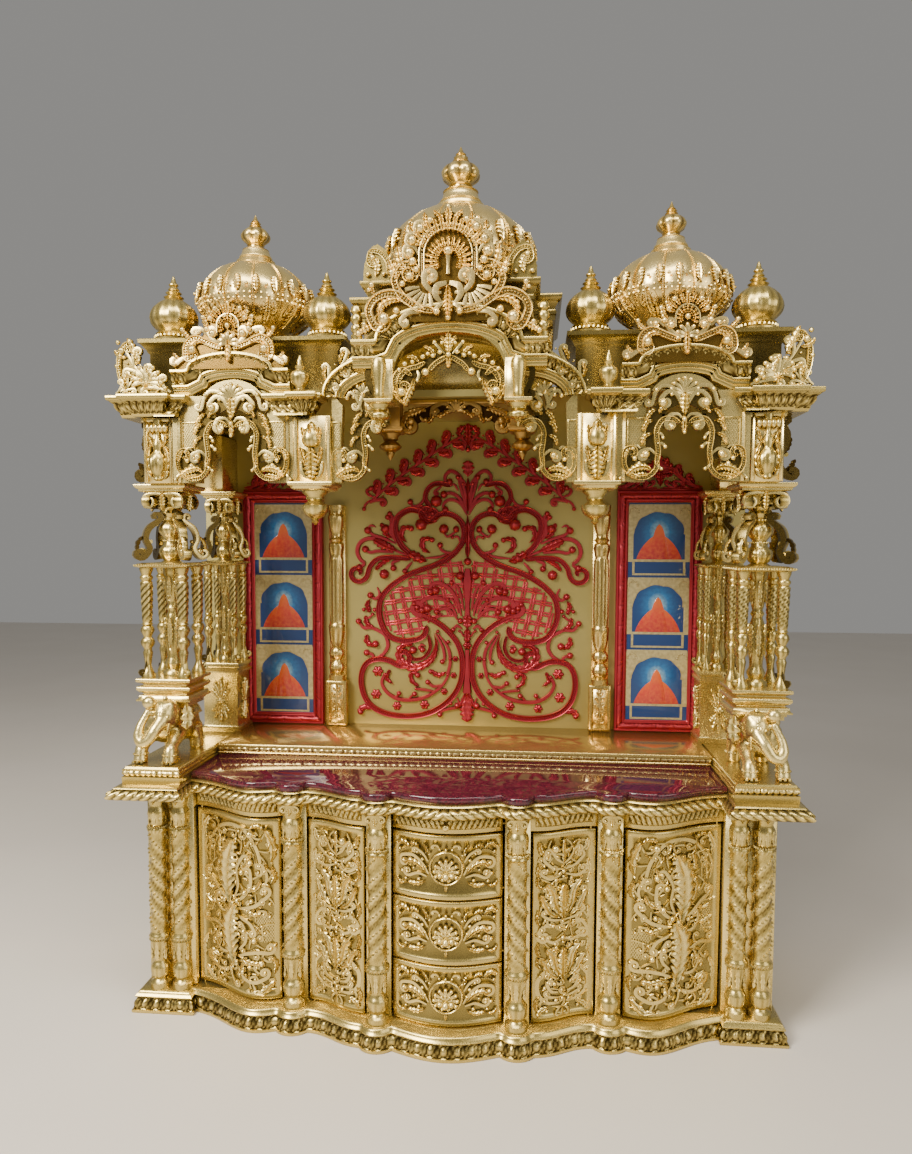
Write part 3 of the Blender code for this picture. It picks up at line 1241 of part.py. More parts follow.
def side_attic(side):
    """A side attic box with its cornice and its two small onion domes."""
    outline = [(ATTIC_IN_X, ATTIC_FRONT_Y), (ATTIC_OUT_X, ATTIC_FRONT_Y), (ATTIC_OUT_X, ATTIC_BACK_Y),
               (ATTIC_IN_X, ATTIC_BACK_Y)]
    pieces = [moulded(outline, placed(ATTIC_SHARES, 0, ATTIC_REACH, ROOF_LOW, ATTIC_TOP))]
    for x in (ONION_OUT_X, ONION_IN_X):
        onion = placed(ONION_SHARES, 0, ONION_RADIUS, ATTIC_TOP - JOIN, ONION_TOP)
        pieces.append(turned(onion, (x, ONION_Y), 8))
    paired("attic", pieces, PALE_GOLD, side)


CENTRE_BASE_HALF = 0.220
CENTRE_BASE_TOP = 1.610
CENTRE_WIDE_HALF = 0.238
CENTRE_NARROW_HALF = 0.190
CENTRE_WIDE_Y = -0.101
CENTRE_FRONT_Y = -0.218
CENTRE_BACK_Y = 0.284
CENTRE_REACH = 0.015
CENTRE_SHARES = [(1, 0), (1, 0.54), (0.60, 0.70), (0, 0.84), (0, 1)]
SCROLL_X = 0.152
SCROLL_HALF = 0.030
SCROLL_TOP = 1.735
SCROLL_THICKNESS = 0.012
SCROLL_SHARES = [(1, 0), (1, 0.50), (0.45, 1), (-0.20, 0.90), (-0.10, 0.60), (-1, 0.35), (-1, 0)]


def centre_attic():
    """The centre attic, which breaks forward over the canopy, with its cornice and scrolls."""
    base = block((-CENTRE_BASE_HALF, VAULT_BACK_Y + SEAT, ROOF_LOW),
                 (CENTRE_BASE_HALF, CENTRE_BACK_Y - CENTRE_REACH, CENTRE_BASE_TOP))
    wide, narrow = CENTRE_WIDE_HALF, CENTRE_NARROW_HALF
    half_outline = [(wide, CENTRE_BACK_Y), (wide, CENTRE_WIDE_Y), (narrow, CENTRE_WIDE_Y),
                    (narrow, CENTRE_FRONT_Y)]
    levels = placed(CENTRE_SHARES, 0, CENTRE_REACH, CANOPY_TOP + SEAT, CENTRE_ATTIC_TOP)
    pieces = [base, moulded(half_outline + mirrored(half_outline), levels)]
    for half in (SCROLL_HALF, -SCROLL_HALF):
        middle = math.copysign(SCROLL_X, half)
        scroll = placed(SCROLL_SHARES, middle, half, CENTRE_ATTIC_TOP - JOIN, SCROLL_TOP)
        pieces.append(flat([scroll], CENTRE_FRONT_Y + JOIN, CENTRE_FRONT_Y + JOIN + SCROLL_THICKNESS))
    finished("centre_attic", pieces, PALE_GOLD)


DOME_SIDES = 24
DOME_LOBES = 12
DOME_LOBE_SHARE = 0.05
DOME_SHARES = [(0.23, 1), (0.27, 0.93), (0.42, 0.84), (0.66, 0.76), (0.86, 0.65), (0.98, 0.52), (1, 0.42),
               (0.92, 0.29), (0.72, 0.18), (0.52, 0.11), (0.51, 0)]
FINIAL_SHARES = [(0.04, 1), (0.12, 0.84), (0.34, 0.78), (0.28, 0.68), (0.70, 0.61), (1, 0.41),
                 (0.75, 0.25), (0.52, 0.19), (0.90, 0)]


def dome(name, side, centre, radius, finial_radius, levels):
    """A lobed dome with its fluted finial; the levels are its foot, its crown and its tip."""
    foot, crown, tip = levels
    x, y = centre
    shell = turned(placed(DOME_SHARES, 0, radius, foot, crown), centre, DOME_SIDES)
    for vertex in shell.data.vertices:
        across, along = vertex.co.x - x, vertex.co.y - y
        groove = 1 - abs(math.cos(DOME_LOBES * math.atan2(along, across) / 2))
        scale = 1 - DOME_LOBE_SHARE * groove
        vertex.co.x = x + across * scale
        vertex.co.y = y + along * scale
    finial = turned(placed(FINIAL_SHARES, 0, finial_radius, crown - JOIN, tip), centre, 8)
    finished(name, [shell, finial], GOLD, side=side)


SIDE_DOME_X = 0.485
SIDE_DOME_Y = -0.004
SIDE_DOME_RADIUS = 0.137
SIDE_DOME_CROWN = 1.797
SIDE_DOME_TIP = 1.881
SIDE_FINIAL_RADIUS = 0.0335
CENTRE_DOME_Y = 0.042
CENTRE_DOME_RADIUS = 0.176
CENTRE_DOME_CROWN = 1.933
CENTRE_DOME_TIP = 2.040
CENTRE_FINIAL_RADIUS = 0.0455


def side_dome(side):
    """The dome on a side attic."""
    levels = (ATTIC_TOP + SEAT, SIDE_DOME_CROWN, SIDE_DOME_TIP)
    name = f"{SIDE_NAMES[side]}_dome"
    dome(name, side, (SIDE_DOME_X, SIDE_DOME_Y), SIDE_DOME_RADIUS, SIDE_FINIAL_RADIUS, levels)


def centre_dome():
    """The large dome on the centre attic."""
    levels = (CENTRE_ATTIC_TOP + SEAT, CENTRE_DOME_CROWN, CENTRE_DOME_TIP)
    dome("centre_dome", 1, (0, CENTRE_DOME_Y), CENTRE_DOME_RADIUS, CENTRE_FINIAL_RADIUS, levels)


CENTRE_CREST_HALF = 0.205
CENTRE_CREST_TOP = 1.796
CENTRE_CREST_FRONT_Y = -0.243
CENTRE_CREST_BACK_Y = -0.2195
CENTRE_CREST_SHARES = [(1, 0), (0.98, 0.11), (0.82, 0.21), (0.73, 0.36), (0.58, 0.45), (0.48, 0.60),
                       (0.40, 0.77), (0.30, 0.91), (0.15, 0.98), (0, 1)]
SIDE_CREST_HALF = 0.130
SIDE_CREST_TOP = 1.641
SIDE_CREST_FRONT_Y = -0.1585
SIDE_CREST_BACK_Y = -0.1430
SIDE_CREST_SHARES = [(1, 0), (0.96, 0.20), (0.71, 0.35), (0.54, 0.59), (0.38, 0.75), (0.16, 0.94), (0, 1)]


def crest_outline(shares, middle, half, high, arch):
    """A crest's outline from shares, closed along the arch that it stands on."""
    seat = [(x, z + SEAT) for x, z in arch]
    over = placed(shares, middle, half, seat[0][1], high)
    return over + mirrored(over[:-1], middle) + seat[::-1]


def centre_crest():
    """The fan crest that stands on the canopy's arch."""
    arch = bow(0, CANOPY_BOW_HALF, CANOPY_SHOULDER, CANOPY_TOP, CANOPY_STEPS)
    outline = crest_outline(CENTRE_CREST_SHARES, 0, CENTRE_CREST_HALF, CENTRE_CREST_TOP, arch)
    finished("centre_crest", [flat([outline], CENTRE_CREST_FRONT_Y, CENTRE_CREST_BACK_Y)], GOLD)


def side_crest(side):
    """The scroll crest that stands on a side arch's hood."""
    arch = bow(SIDE_ARCH_X, HOOD_BOW_HALF, HOOD_SHOULDER, HOOD_TOP, HOOD_STEPS)
    outline = crest_outline(SIDE_CREST_SHARES, SIDE_ARCH_X, SIDE_CREST_HALF, SIDE_CREST_TOP, arch)
    paired("side_crest", [flat([outline], SIDE_CREST_FRONT_Y, SIDE_CREST_BACK_Y)], GOLD, side)


def build():
    """Makes every piece of the mandir."""
    for make in (plinth, back_board, counter_frame, granite_top, niche_step, back_wall, red_scroll_panel,
                 red_crest):
        make()
    for side in SIDE_NAMES:
        for wide in (True, False):
            door(side, wide)
        for make in (pier, outer_stile, inner_stile, ledge, elephant, front_column, rear_column,
                     picture_frame, picture_panel, pilaster, corner_cornice, outer_post, side_arch,
                     quarter_arch, side_attic, side_crest, side_dome):
            make(side)
    for name, (low, high) in zip(("lower_drawer", "middle_drawer", "upper_drawer"), drawer_levels()):
        drawer(name, low, high)
    drawer("frieze_drawer", FRIEZE_BOTTOM, COUNTER_BOTTOM - MOVING_GAP, has_knob=True)
    for make in (canopy, inner_arch, ceiling, centre_attic, centre_crest, centre_dome):
        make()


build()
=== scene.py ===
# %% [markdown]
# # Carved home temple
# The real object is a cabinet with a stone counter, a niche, columns, arches and domes. It is carved wood
# under a satin gold paint. The CAD frame gives every place and size. This lesson dresses it in carving:
# each ornament is a surface that numpy works out from a formula, laid on the curved wood by a mapping.

# %% Frame
import math
import bpy
import numpy as np
from mathutils import Matrix


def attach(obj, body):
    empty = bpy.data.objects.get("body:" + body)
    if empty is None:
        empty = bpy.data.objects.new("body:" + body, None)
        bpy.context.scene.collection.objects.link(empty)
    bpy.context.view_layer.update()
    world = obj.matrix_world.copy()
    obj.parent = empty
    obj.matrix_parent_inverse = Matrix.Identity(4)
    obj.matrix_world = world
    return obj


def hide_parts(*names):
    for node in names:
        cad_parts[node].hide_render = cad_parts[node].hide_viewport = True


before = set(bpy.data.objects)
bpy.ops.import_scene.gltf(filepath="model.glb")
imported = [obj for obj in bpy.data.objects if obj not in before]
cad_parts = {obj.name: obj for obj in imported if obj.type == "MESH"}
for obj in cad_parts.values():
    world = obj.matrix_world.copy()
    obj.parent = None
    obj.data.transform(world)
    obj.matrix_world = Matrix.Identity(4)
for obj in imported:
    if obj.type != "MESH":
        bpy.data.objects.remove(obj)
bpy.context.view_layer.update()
print("CAD nodes", len(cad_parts))

# %% [markdown]
# ## Camera
# The photo was taken with a wide phone lens, 1.1 m above the floor and 2 m before the temple's middle. The
# lens length and the turn of the camera come from a fit of the CAD's corners to the photo's. A little shift
# frames it.

# %% Camera
lens = bpy.data.cameras.new("camera")
lens.sensor_width = 36
lens.lens = 26.27
lens.shift_x = -0.00198
lens.shift_y = 0.0236
camera = bpy.data.objects.new("camera", lens)
camera.matrix_world = Matrix([(0.99595244, -0.01008375, 0.08931437, 0.18229),
                              (0.0898054, 0.07067775, -0.99344836, -2.01125),
                              (0.00370515, 0.99744823, 0.07129725, 1.10399),
                              (0, 0, 0, 1)])
bpy.context.scene.collection.objects.link(camera)
bpy.context.scene.camera = camera
print("camera", camera.location)

# %% [markdown]
# ## Shapes
# A shape here is three things: its points, its faces as tables of point numbers, and a tone for each
# point, 0 in the depth of the carving and 1 on its crests. The paint reads the tone and paints shade
# into the hollows and a highlight onto the crests. Keeping a shape as arrays until the end makes it
# cheap to copy, mirror, bend and join.

# %% Shape helpers
def turned_out(shape):
    """Faces point outwards when the volume is positive: a sixth of the sum of a . (b x c) over triangles."""
    points, faces, tone = shape
    volume = 0
    for table in faces:
        for k in range(1, table.shape[1] - 1):
            normal = np.cross(points[table[:, k]], points[table[:, k + 1]])
            volume += np.einsum("ij,ij->", points[table[:, 0]], normal)
    if volume < 0:
        faces = [table[:, ::-1] for table in faces]
    return points, faces, tone


def needed(points, tone, fineness=0.00046, longest=0.017):
    """The rows worth keeping. A row that lies d away from the line between its neighbours costs
    sqrt(d / fineness) / 2, a step costs its length / longest, and a row stays where the sum passes a whole
    number."""
    if len(points) < 4:
        return np.arange(len(points))
    full = np.concatenate([points, 0.0006 * np.broadcast_to(tone, points.shape[:2])[..., None]], 2)
    before, here, chord = full[:-2], full[1:-1], full[2:] - full[:-2]
    share = (here - before) * chord
    share = share.sum(2) / np.maximum((chord ** 2).sum(2), 1e-12)
    off = np.linalg.norm(here - before - share[..., None] * chord, axis=2).max(1)
    step = np.linalg.norm(np.diff(points, axis=0), axis=2).max(1)
    cost = np.cumsum(step) / longest + np.cumsum(np.append(np.sqrt(off / fineness) / 2, 0))
    passed = np.floor(cost)[:-1] > np.floor(np.append(0, cost[:-2]))
    return np.concatenate([[0], 1 + np.flatnonzero(passed), [len(points) - 1]])


def surface(points, tone=1, ring=False):
    """A grid of points [along, across], closed across. It's closed along too for a ring, else capped."""
    kept = needed(points, tone)
    tone = np.broadcast_to(tone, points.shape[:2])[kept]
    points = points[kept]
    rows, columns = points.shape[:2]
    index = np.arange(rows * columns).reshape(rows, columns)
    here = index if ring else index[:-1]
    there = np.roll(index, -1, 0) if ring else index[1:]
    quads = np.stack([here, np.roll(here, -1, 1), np.roll(there, -1, 1), there], -1).reshape(-1, 4)
    faces = [quads] if ring else [quads, index[:1, ::-1], index[-1:]]
    return turned_out((points.reshape(-1, 3), faces, np.broadcast_to(tone, (rows, columns)).ravel()))


def joined(*shapes):
    """Several shapes as one: points are stacked, and face numbers move on by the points before them."""
    start = np.cumsum([0] + [len(shape[0]) for shape in shapes])
    faces = [table + first for shape, first in zip(shapes, start) for table in shape[1]]
    return np.vstack([s[0] for s in shapes]), faces, np.concatenate([s[2] for s in shapes])


def laid(shape, place):
    """The shape with each point (u, v, w) moved to place(u, v, w)."""
    points = np.stack(np.broadcast_arrays(*place(*shape[0].T)), 1)
    return points, shape[1], shape[2]


def mirrored(shape):
    """The shape with u turned to -u, and its faces turned round so that they still point outwards."""
    return shape[0] * (-1, 1, 1), [table[:, ::-1] for table in shape[1]], shape[2]


def with_mirror(*shapes):
    """Shapes and their mirror images across u = 0."""
    whole = joined(*shapes)
    return joined(whole, mirrored(whole))


def moved(shape, u=0, v=0, w=0):
    """The shape shifted by u across, v up and w out."""
    return shape[0] + (u, v, w), shape[1], shape[2]

# %% [markdown]
# A finished shape becomes one mesh object that stays at the origin. It rides on the CAD body that carries
# it, and stands for the CAD nodes that it replaces. Edges sharper than 50 degrees stay crisp.

# %% Making an object of a shape
added = {}


def make(name, shape, paint, body="cabinet", instead=()):
    """One mesh from one shape, with its tone as a point attribute that the paint reads."""
    points, faces, tone = shape
    sizes = np.concatenate([np.full(len(table), table.shape[1]) for table in faces])
    mesh = bpy.data.meshes.new(name)
    mesh.vertices.add(len(points))
    mesh.vertices.foreach_set("co", np.ascontiguousarray(points, np.float32).ravel())
    mesh.loops.add(int(sizes.sum()))
    mesh.polygons.add(len(sizes))
    mesh.polygons.foreach_set("loop_start", (np.cumsum(sizes) - sizes).astype(np.int32))
    corners = np.concatenate([table.ravel() for table in faces]).astype(np.int32)
    mesh.loops.foreach_set("vertex_index", corners)
    mesh.polygons.foreach_set("use_smooth", np.ones(len(sizes), bool))
    mesh.update(calc_edges=True)
    mesh.set_sharp_from_angle(angle=math.radians(50))
    depth = mesh.attributes.new("tone", "FLOAT", "POINT")
    depth.data.foreach_set("value", np.ascontiguousarray(tone, np.float32))
    mesh.materials.append(paint)
    piece = bpy.data.objects.new(name, mesh)
    bpy.context.scene.collection.objects.link(piece)
    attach(piece, body)
    if instead:
        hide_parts(*instead)
    added[name] = int((sizes - 2).sum())
    return piece


def make_pair(name, shape, paint, moving=False, instead=None):
    """The right-hand piece and its mirror image, each on its own side's body. Each stands for its side's node
    of the same name, unless other nodes or none are given."""
    instead = [name] if instead is None else instead
    for side, half in (("right", shape), ("left", mirrored(shape))):
        body = f"{side}_{name}" if moving else "cabinet"
        make(f"{side}_{name}_carved", half, paint, body, [f"{side}_{node}" for node in instead])


def repaint(node, paint):
    """A finish for a CAD node that is kept as it is."""
    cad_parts[node].data.materials.clear()
    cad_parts[node].data.materials.append(paint)

# %% [markdown]
# ## Ornament
# Carved scrollwork is made of few things: strands that swell and curl, leaves with lobes, balls, beads,
# shells and rosettes. Each is drawn flat, with u across, v up and w out of the wood, and laid on later.

# %% Paths
def mm(points):
    """Points drawn in millimetres, in metres."""
    return np.array(points, float) / 1000


def length(path):
    """The sum of the distances between neighbouring points."""
    return np.linalg.norm(np.diff(path, axis=0), axis=1).sum()


def even(points, steps):
    """The same path with its points evenly spaced along its length."""
    points = np.asarray(points, float)
    along = np.concatenate([[0], np.cumsum(np.linalg.norm(np.diff(points, axis=0), axis=1))])
    wanted = np.linspace(0, along[-1], steps)
    return np.stack([np.interp(wanted, along, column) for column in points.T], 1)


def curve(points, steps):
    """A smooth path through the points: between two of them, a cubic that also looks at both neighbours."""
    p = np.asarray(points, float)
    p = np.vstack([2 * p[0] - p[1], p, 2 * p[-1] - p[-2]])
    spans = len(p) - 3
    t = np.linspace(0, spans, 10 * spans + 1)
    k = np.minimum(t.astype(int), spans - 1)
    f = (t - k)[:, None]
    a, b, c, d = p[k], p[k + 1], p[k + 2], p[k + 3]
    q = b + 0.5 * f * (c - a + f * (2 * a - 5 * b + 4 * c - d + f * (3 * b - 3 * c + d - a)))
    return even(q, steps)


def curled(points, radius, turns=1.1, side=1, start=False):
    """The path goes on in a spiral at its end: the radius shrinks evenly to a fifth as it turns."""
    p = np.asarray(points, float)
    p = p[::-1] if start else p
    way = (p[-1] - p[-2]) / np.linalg.norm(p[-1] - p[-2])
    normal = side * np.array([-way[1], way[0]])
    share = np.linspace(0, 1, int(8 * turns) + 2)[1:]
    angle = math.atan2(-normal[1], -normal[0]) + side * math.tau * turns * share
    spiral = p[-1] + normal * radius + (radius * (1 - 0.8 * share) * (np.cos(angle), np.sin(angle))).T
    p = np.vstack([p, spiral])
    return p[::-1] if start else p

# %% Strands and leaves
def sideways(path):
    """The unit direction to the left of the path at each point."""
    way = np.gradient(path, axis=0)
    way /= np.linalg.norm(way, axis=1)[:, None] + 1e-12
    return np.stack([-way[:, 1], way[:, 0]], 1)


def strand(points, width, height, steps=16, foot=-0.002, groove=0.18):
    """A swelling strand: across it, u = width cos(a) and w = height sin(a), with a over half a turn. A groove
    runs along its crest, as a carver's veining tool leaves it."""
    path = curve(points, steps)
    share = np.linspace(0, 1, steps)
    wide = np.interp(share, np.linspace(0, 1, np.size(width)), np.atleast_1d(width))
    high = height * (wide / np.max(wide)) ** 0.5
    angle = np.linspace(0, math.pi, 5)
    flat = path[:, None] + sideways(path)[:, None] * (wide[:, None] * np.cos(angle))[..., None]
    rise = np.sin(angle) ** 0.7 * (1 - groove * np.exp(-((angle - math.pi / 2) / 0.3) ** 2))
    lift = foot + rise * (high[:, None] - foot)
    return surface(np.concatenate([flat, lift[..., None]], 2), 0.1 + 0.9 * np.clip(rise, 0, 1))


def leaf(points, width, height, lobes=5, foot=-0.002, tip=0.35, steps=3):
    """An acanthus leaf along a path: its edge is |sin| lobes, and each lobe is a ridge that leans to the
    tip, parted from the next by a groove; a deeper groove runs down the middle."""
    share = np.linspace(0, 1, steps * lobes + 1)[:, None]
    across = np.array([-1, -1, -0.62, -0.26, 0, 0.26, 0.62, 1, 1])[None]
    on = np.array([0, 1, 1, 1, 1, 1, 1, 1, 0])[None]
    dense = curve(points, 60)
    lean = np.clip(share + 0.16 * np.abs(across) * (1 - share), 0, 1)
    at = [np.interp(lean, np.linspace(0, 1, 60), column) for column in (*dense.T, *sideways(dense).T)]
    swell = (share + 0.05) ** 0.5 * (1.02 - share) ** 0.45 * 1.45
    lobe = np.abs(np.sin(math.pi * lobes * share)) ** 0.8
    reach = across * (1 - 0.42 * np.abs(across) ** 3 * (1 - lobe)) * swell * width
    crown = 0.45 + 0.55 * (1 - across ** 2) ** 0.7
    rise = crown - 0.42 * np.abs(across) ** 0.6 * (1 - lobe) - 0.5 * np.exp(-(across / 0.16) ** 2)
    rise = np.clip(rise + tip * share ** 2, 0.05, 1.6)
    lift = np.where(on == 1, rise * height, foot)
    points = np.stack([at[0] + at[2] * reach, at[1] + at[3] * reach, lift], 2)
    return surface(points, np.where(on == 1, np.clip(0.05 + rise, 0, 1), 0))

# %% Turned shapes, balls and beads
def lathe(profile, around=24, ripple=0, centre=(0, 0), tone=1):
    """A turned shape: the circle of each radius r in the profile at its height, r widened by the ripple."""
    r, z = np.asarray(profile, float).T[:, :, None]
    angle = np.linspace(0, math.tau, around, endpoint=False)[None]
    r = np.maximum(r * (1 + ripple) + 0 * angle, 0.0002)
    return surface(np.stack([centre[0] + r * np.cos(angle), centre[1] + r * np.sin(angle), z + 0 * r], 2), tone)


BALL = lathe([(1, -0.2), (0.8, 0.6), (0.14, 1)], 8)
BEAD = lathe([(1, -0.3), (0.5, 0.85)], 5)


def balls(centres, radius, form=BALL):
    """A copy of the ball or bead at every centre, with its own radius."""
    centres = np.asarray(centres, float).reshape(-1, 3)
    size = np.broadcast_to(radius, len(centres))[:, None, None]
    points = (centres[:, None] + size * form[0][None]).reshape(-1, 3)
    shift = (np.arange(len(centres)) * len(form[0]))[:, None, None]
    faces = [(table[None] + shift).reshape(-1, table.shape[1]) for table in form[1]]
    tone = np.clip(0.55 + 0.5 * form[0][:, 2], 0, 1)
    return points, faces, np.tile(tone, len(centres))


def beads_on(points, radius, gap=2.2, lift=0.0):
    """Beads in a row along a path, a little more than their width apart."""
    path = curve(points, 40)
    path = even(path, max(2, int(length(path) / (gap * radius)) + 1))
    return balls(np.column_stack([path, np.full(len(path), lift)]), radius, BEAD)

# %% Rings, flowers and shells
def ring_of_beads(centre, radius, count, size=0.0024):
    """Beads round a level circle, or round an ellipse if the radius is a pair."""
    across, deep = np.broadcast_to(radius, 2)
    t = np.linspace(0, math.tau, count, endpoint=False)
    spots = np.column_stack([across * np.cos(t), deep * np.sin(t), 0 * t])
    return balls(spots + np.array(centre), size, BEAD)


def rosette(u, v, radius, petals=6, height=0.004, foot=-0.002):
    """A flower: the edge is |cos| petals, w = height (petal swell + a boss in the middle)."""
    share = np.array([0.04, 0.2, 0.34, 0.6, 0.85, 1, 1])[:, None]
    on = np.array([1, 1, 1, 1, 1, 1, 0])[:, None]
    angle = np.linspace(0, math.tau, petals * 4, endpoint=False)[None]
    lobe = np.abs(np.cos(petals * angle / 2)) ** 0.6
    r = radius * share * (1 - 0.28 * (1 - lobe) * share)
    petal = 0.75 * np.sin(math.pi * np.clip(share, 0.2, 1)) * (0.4 + 0.6 * lobe)
    rise = np.exp(-(share / 0.2) ** 2) + petal + 0.1
    lift = np.where(on == 1, rise * height, foot)
    points = np.stack([u + r * np.cos(angle), v + r * np.sin(angle), lift], 2)
    return surface(points, np.where(on == 1, np.clip(0.2 + rise, 0, 1), 0.1))


def shell(u, v, radius, petals=9, height=0.005, spread=115, foot=-0.002):
    """A palmette: petals fan out from its foot, each a strand that widens to a round end."""
    parts = []
    for angle in np.radians(np.linspace(-spread, spread, petals)):
        reach = radius * (1 - 0.18 * (angle / math.radians(spread)) ** 2)
        way = np.array([math.sin(angle), math.cos(angle)])
        bend = np.array([math.cos(angle), -math.sin(angle)]) * 0.08 * radius * np.sign(angle)
        path = [(u, v) + way * 0.12 * reach, (u, v) + way * 0.6 * reach - bend, (u, v) + way * 0.92 * reach]
        wide = 0.62 * math.radians(spread) / petals * radius * 1.5
        parts.append(strand(path, wide * np.array([0.3, 0.6, 0.85, 0.8]), height, 9, foot))
        parts.append(balls([(*((u, v) + way * 0.93 * reach), 0.5 * height)], wide * 0.8))
    return joined(*parts)


print("bead faces", sum(len(table) for table in BEAD[1]))

# %% [markdown]
# ## Finishes
# Each finish is a small tree of nodes on the Principled shader. Patterns are measured in millimetres on
# Object coordinates, which are the real metres of the piece. Colours are the sRGB values a painter would
# pick, turned to the linear ones that Blender mixes. Numbers that never change sit on the shader itself.

# %% Finish helpers
def linear(code):
    """sRGB hex to linear: below 0.04 a straight line, above it the power 2.4."""
    c = np.array([int(code[k:k + 2], 16) / 255 for k in (1, 3, 5)])
    return (*np.where(c <= 0.04045, c / 12.92, ((c + 0.055) / 1.055) ** 2.4), 1)


def add(tree, kind, values=None, links=None, **settings):
    """One node with its settings, the values on its inputs, and links from other nodes' outputs."""
    item = tree.nodes.new(kind)
    for name, value in settings.items():
        setattr(item, name, value)
    for name, value in (values or {}).items():
        item.inputs[name].default_value = value
    for name, output in (links or {}).items():
        tree.links.new(output, item.inputs[name])
    return item


def new_finish(name, values):
    """A material with an empty Principled shader, its tree, and the place where it is measured from."""
    finish = bpy.data.materials.new(name)
    finish.use_nodes = True
    tree = finish.node_tree
    shader = tree.nodes["Principled BSDF"]
    for key, value in values.items():
        shader.inputs[key].default_value = value
    place = add(tree, "ShaderNodeTexCoord").outputs["Object"]
    return finish, tree, shader, place


def grain(tree, place, millimetres, detail=3.0):
    """Soft noise whose blotches are about that many millimetres wide."""
    return add(tree, "ShaderNodeTexNoise", {"Scale": 1000 / millimetres, "Detail": detail}, {"Vector": place})


def blend(tree, factor, first, second):
    """A mix of two colours, each a hex value or a node's output, by a factor, a number or an output."""
    mix = add(tree, "ShaderNodeMix", data_type="RGBA")
    for socket, value in ((mix.inputs[0], factor), (mix.inputs[6], first), (mix.inputs[7], second)):
        if isinstance(value, bpy.types.NodeSocket):
            tree.links.new(value, socket)
        else:
            socket.default_value = linear(value) if isinstance(value, str) else value
    return mix.outputs[2]


NOISE_LOW, NOISE_HIGH = 0.3, 0.7  # nearly all of the soft noise lies between these


def spread(tree, value, low, high, to_low, to_high):
    """The value's range low to high, stretched to another."""
    names = ("From Min", "From Max", "To Min", "To Max")
    return add(tree, "ShaderNodeMapRange", dict(zip(names, (low, high, to_low, to_high))),
               {"Value": value}).outputs["Result"]


print("middle grey, linear", np.round(linear("#808080")[:3], 3))

# %% [markdown]
# ### Satin metallic gold paint
# Bronze powder in lacquer. It reflects like a metal, softly: the powder gives roughness of about 0.3 on
# the carving and 0.4 on the walls. The carved kind reads the tone and paints shade, a dark brown, into the
# hollows and a pale highlight onto the crests. Boards have the same paint laid flat, a little greener and
# paler, and the step is rubbed glossy. The clouds are 45 to 160 mm wide, the sprayed grain is 2.5 mm.

# %% Gold and red paints
def metallic_paint(name, crest, hollow, roughness, blotch_mm=45, metallic=0.92, toned=True, flat=None):
    """Paint with powder in it: the hollow colour, a painted shade, at tone 0, the flat one in the middle,
    and the crest colour, a painted highlight, at 1.
    """
    finish, tree, shader, place = new_finish(name, {"Metallic": metallic})
    cloud = grain(tree, place, blotch_mm).outputs["Fac"]
    colour = blend(tree, spread(tree, cloud, NOISE_LOW, NOISE_HIGH, 0, 0.35), crest, flat or hollow)
    if toned:
        tone = add(tree, "ShaderNodeAttribute", attribute_name="tone").outputs["Fac"]
        # Painted highlight: the crest colour comes in as the tone rises; painted shade: the hollow colour as it
        # falls.
        colour = blend(tree, spread(tree, tone, 0.58, 0.95, 0, 1), flat or crest, colour)
        colour = blend(tree, spread(tree, tone, 0.05, 0.55, 1, 0), colour, hollow)
    tree.links.new(colour, shader.inputs["Base Color"])
    fine = grain(tree, place, 2.5, 2).outputs["Fac"]
    rough = spread(tree, fine, NOISE_LOW, NOISE_HIGH, roughness - 0.06, roughness + 0.08)
    tree.links.new(rough, shader.inputs["Roughness"])
    bump = add(tree, "ShaderNodeBump", {"Strength": 0.12, "Distance": 0.0006}, {"Height": fine})
    tree.links.new(bump.outputs["Normal"], shader.inputs["Normal"])
    return finish


# In the toned paints the first colour is a painted highlight on the crests and the second a painted shade in
# the hollows.
carved_gold = metallic_paint("carved_gold_paint", "#f6df92", "#40300e", 0.27, flat="#c0aa62")
dark_gold = metallic_paint("shaded_gold_paint", "#bd9854", "#402a10", 0.36, flat="#94713a")
board_gold = metallic_paint("board_gold_paint", "#c8bd80", "#b3a465", 0.4, 90, toned=False)
step_gold = metallic_paint("glossy_gold_paint", "#c9a765", "#b8934f", 0.16, 120, 0.85, toned=False)
wall_gold = metallic_paint("wall_gold_paint", "#b3a566", "#9a8b4d", 0.42, 160, 0.75, toned=False)
bright_gold = metallic_paint("bright_gold_paint", "#fbe196", "#6b4f18", 0.25, flat="#cdb066")
crimson = metallic_paint("crimson_metallic_paint", "#b0343f", "#4a0f18", 0.36, metallic=0.65)
print("materials, the CAD frame's own among them", len(bpy.data.materials))

# %% [markdown]
# ### Polished granite
# Deep maroon granite: crystals 2 to 4 mm across in wine red, plum and black, under a polish as smooth as
# glass. The crystals are cells of a Voronoi pattern, each with its own shade. IOR 1.54, roughness 0.05.

# %% Granite
granite, tree, shader, place = new_finish("polished_maroon_granite", {"Roughness": 0.05, "IOR": 1.54})
cells = add(tree, "ShaderNodeTexVoronoi", {"Scale": 1000 / 3.2}, {"Vector": place})
shade = add(tree, "ShaderNodeSeparateColor", links={"Color": cells.outputs["Color"]}).outputs["Red"]
colour = blend(tree, spread(tree, shade, 0.2, 0.9, 0, 1), "#33101c", "#5c1f2c")
veins = grain(tree, place, 30).outputs["Fac"]
colour = blend(tree, spread(tree, veins, 0.45, 0.75, 0, 0.5), colour, "#241019")
tree.links.new(colour, shader.inputs["Base Color"])
print("granite crystals to a metre", cells.inputs["Scale"].default_value)

# %% [markdown]
# ### Picture panels
# Behind glass in the red frames hang printed panels, one over another. Each is a plain blue ground with a
# pale glow, a low orange-red mound, and a gilt arch round them. The prints are clouded as paper is, and all
# have the gloss of the glass over them, as a clear coat.

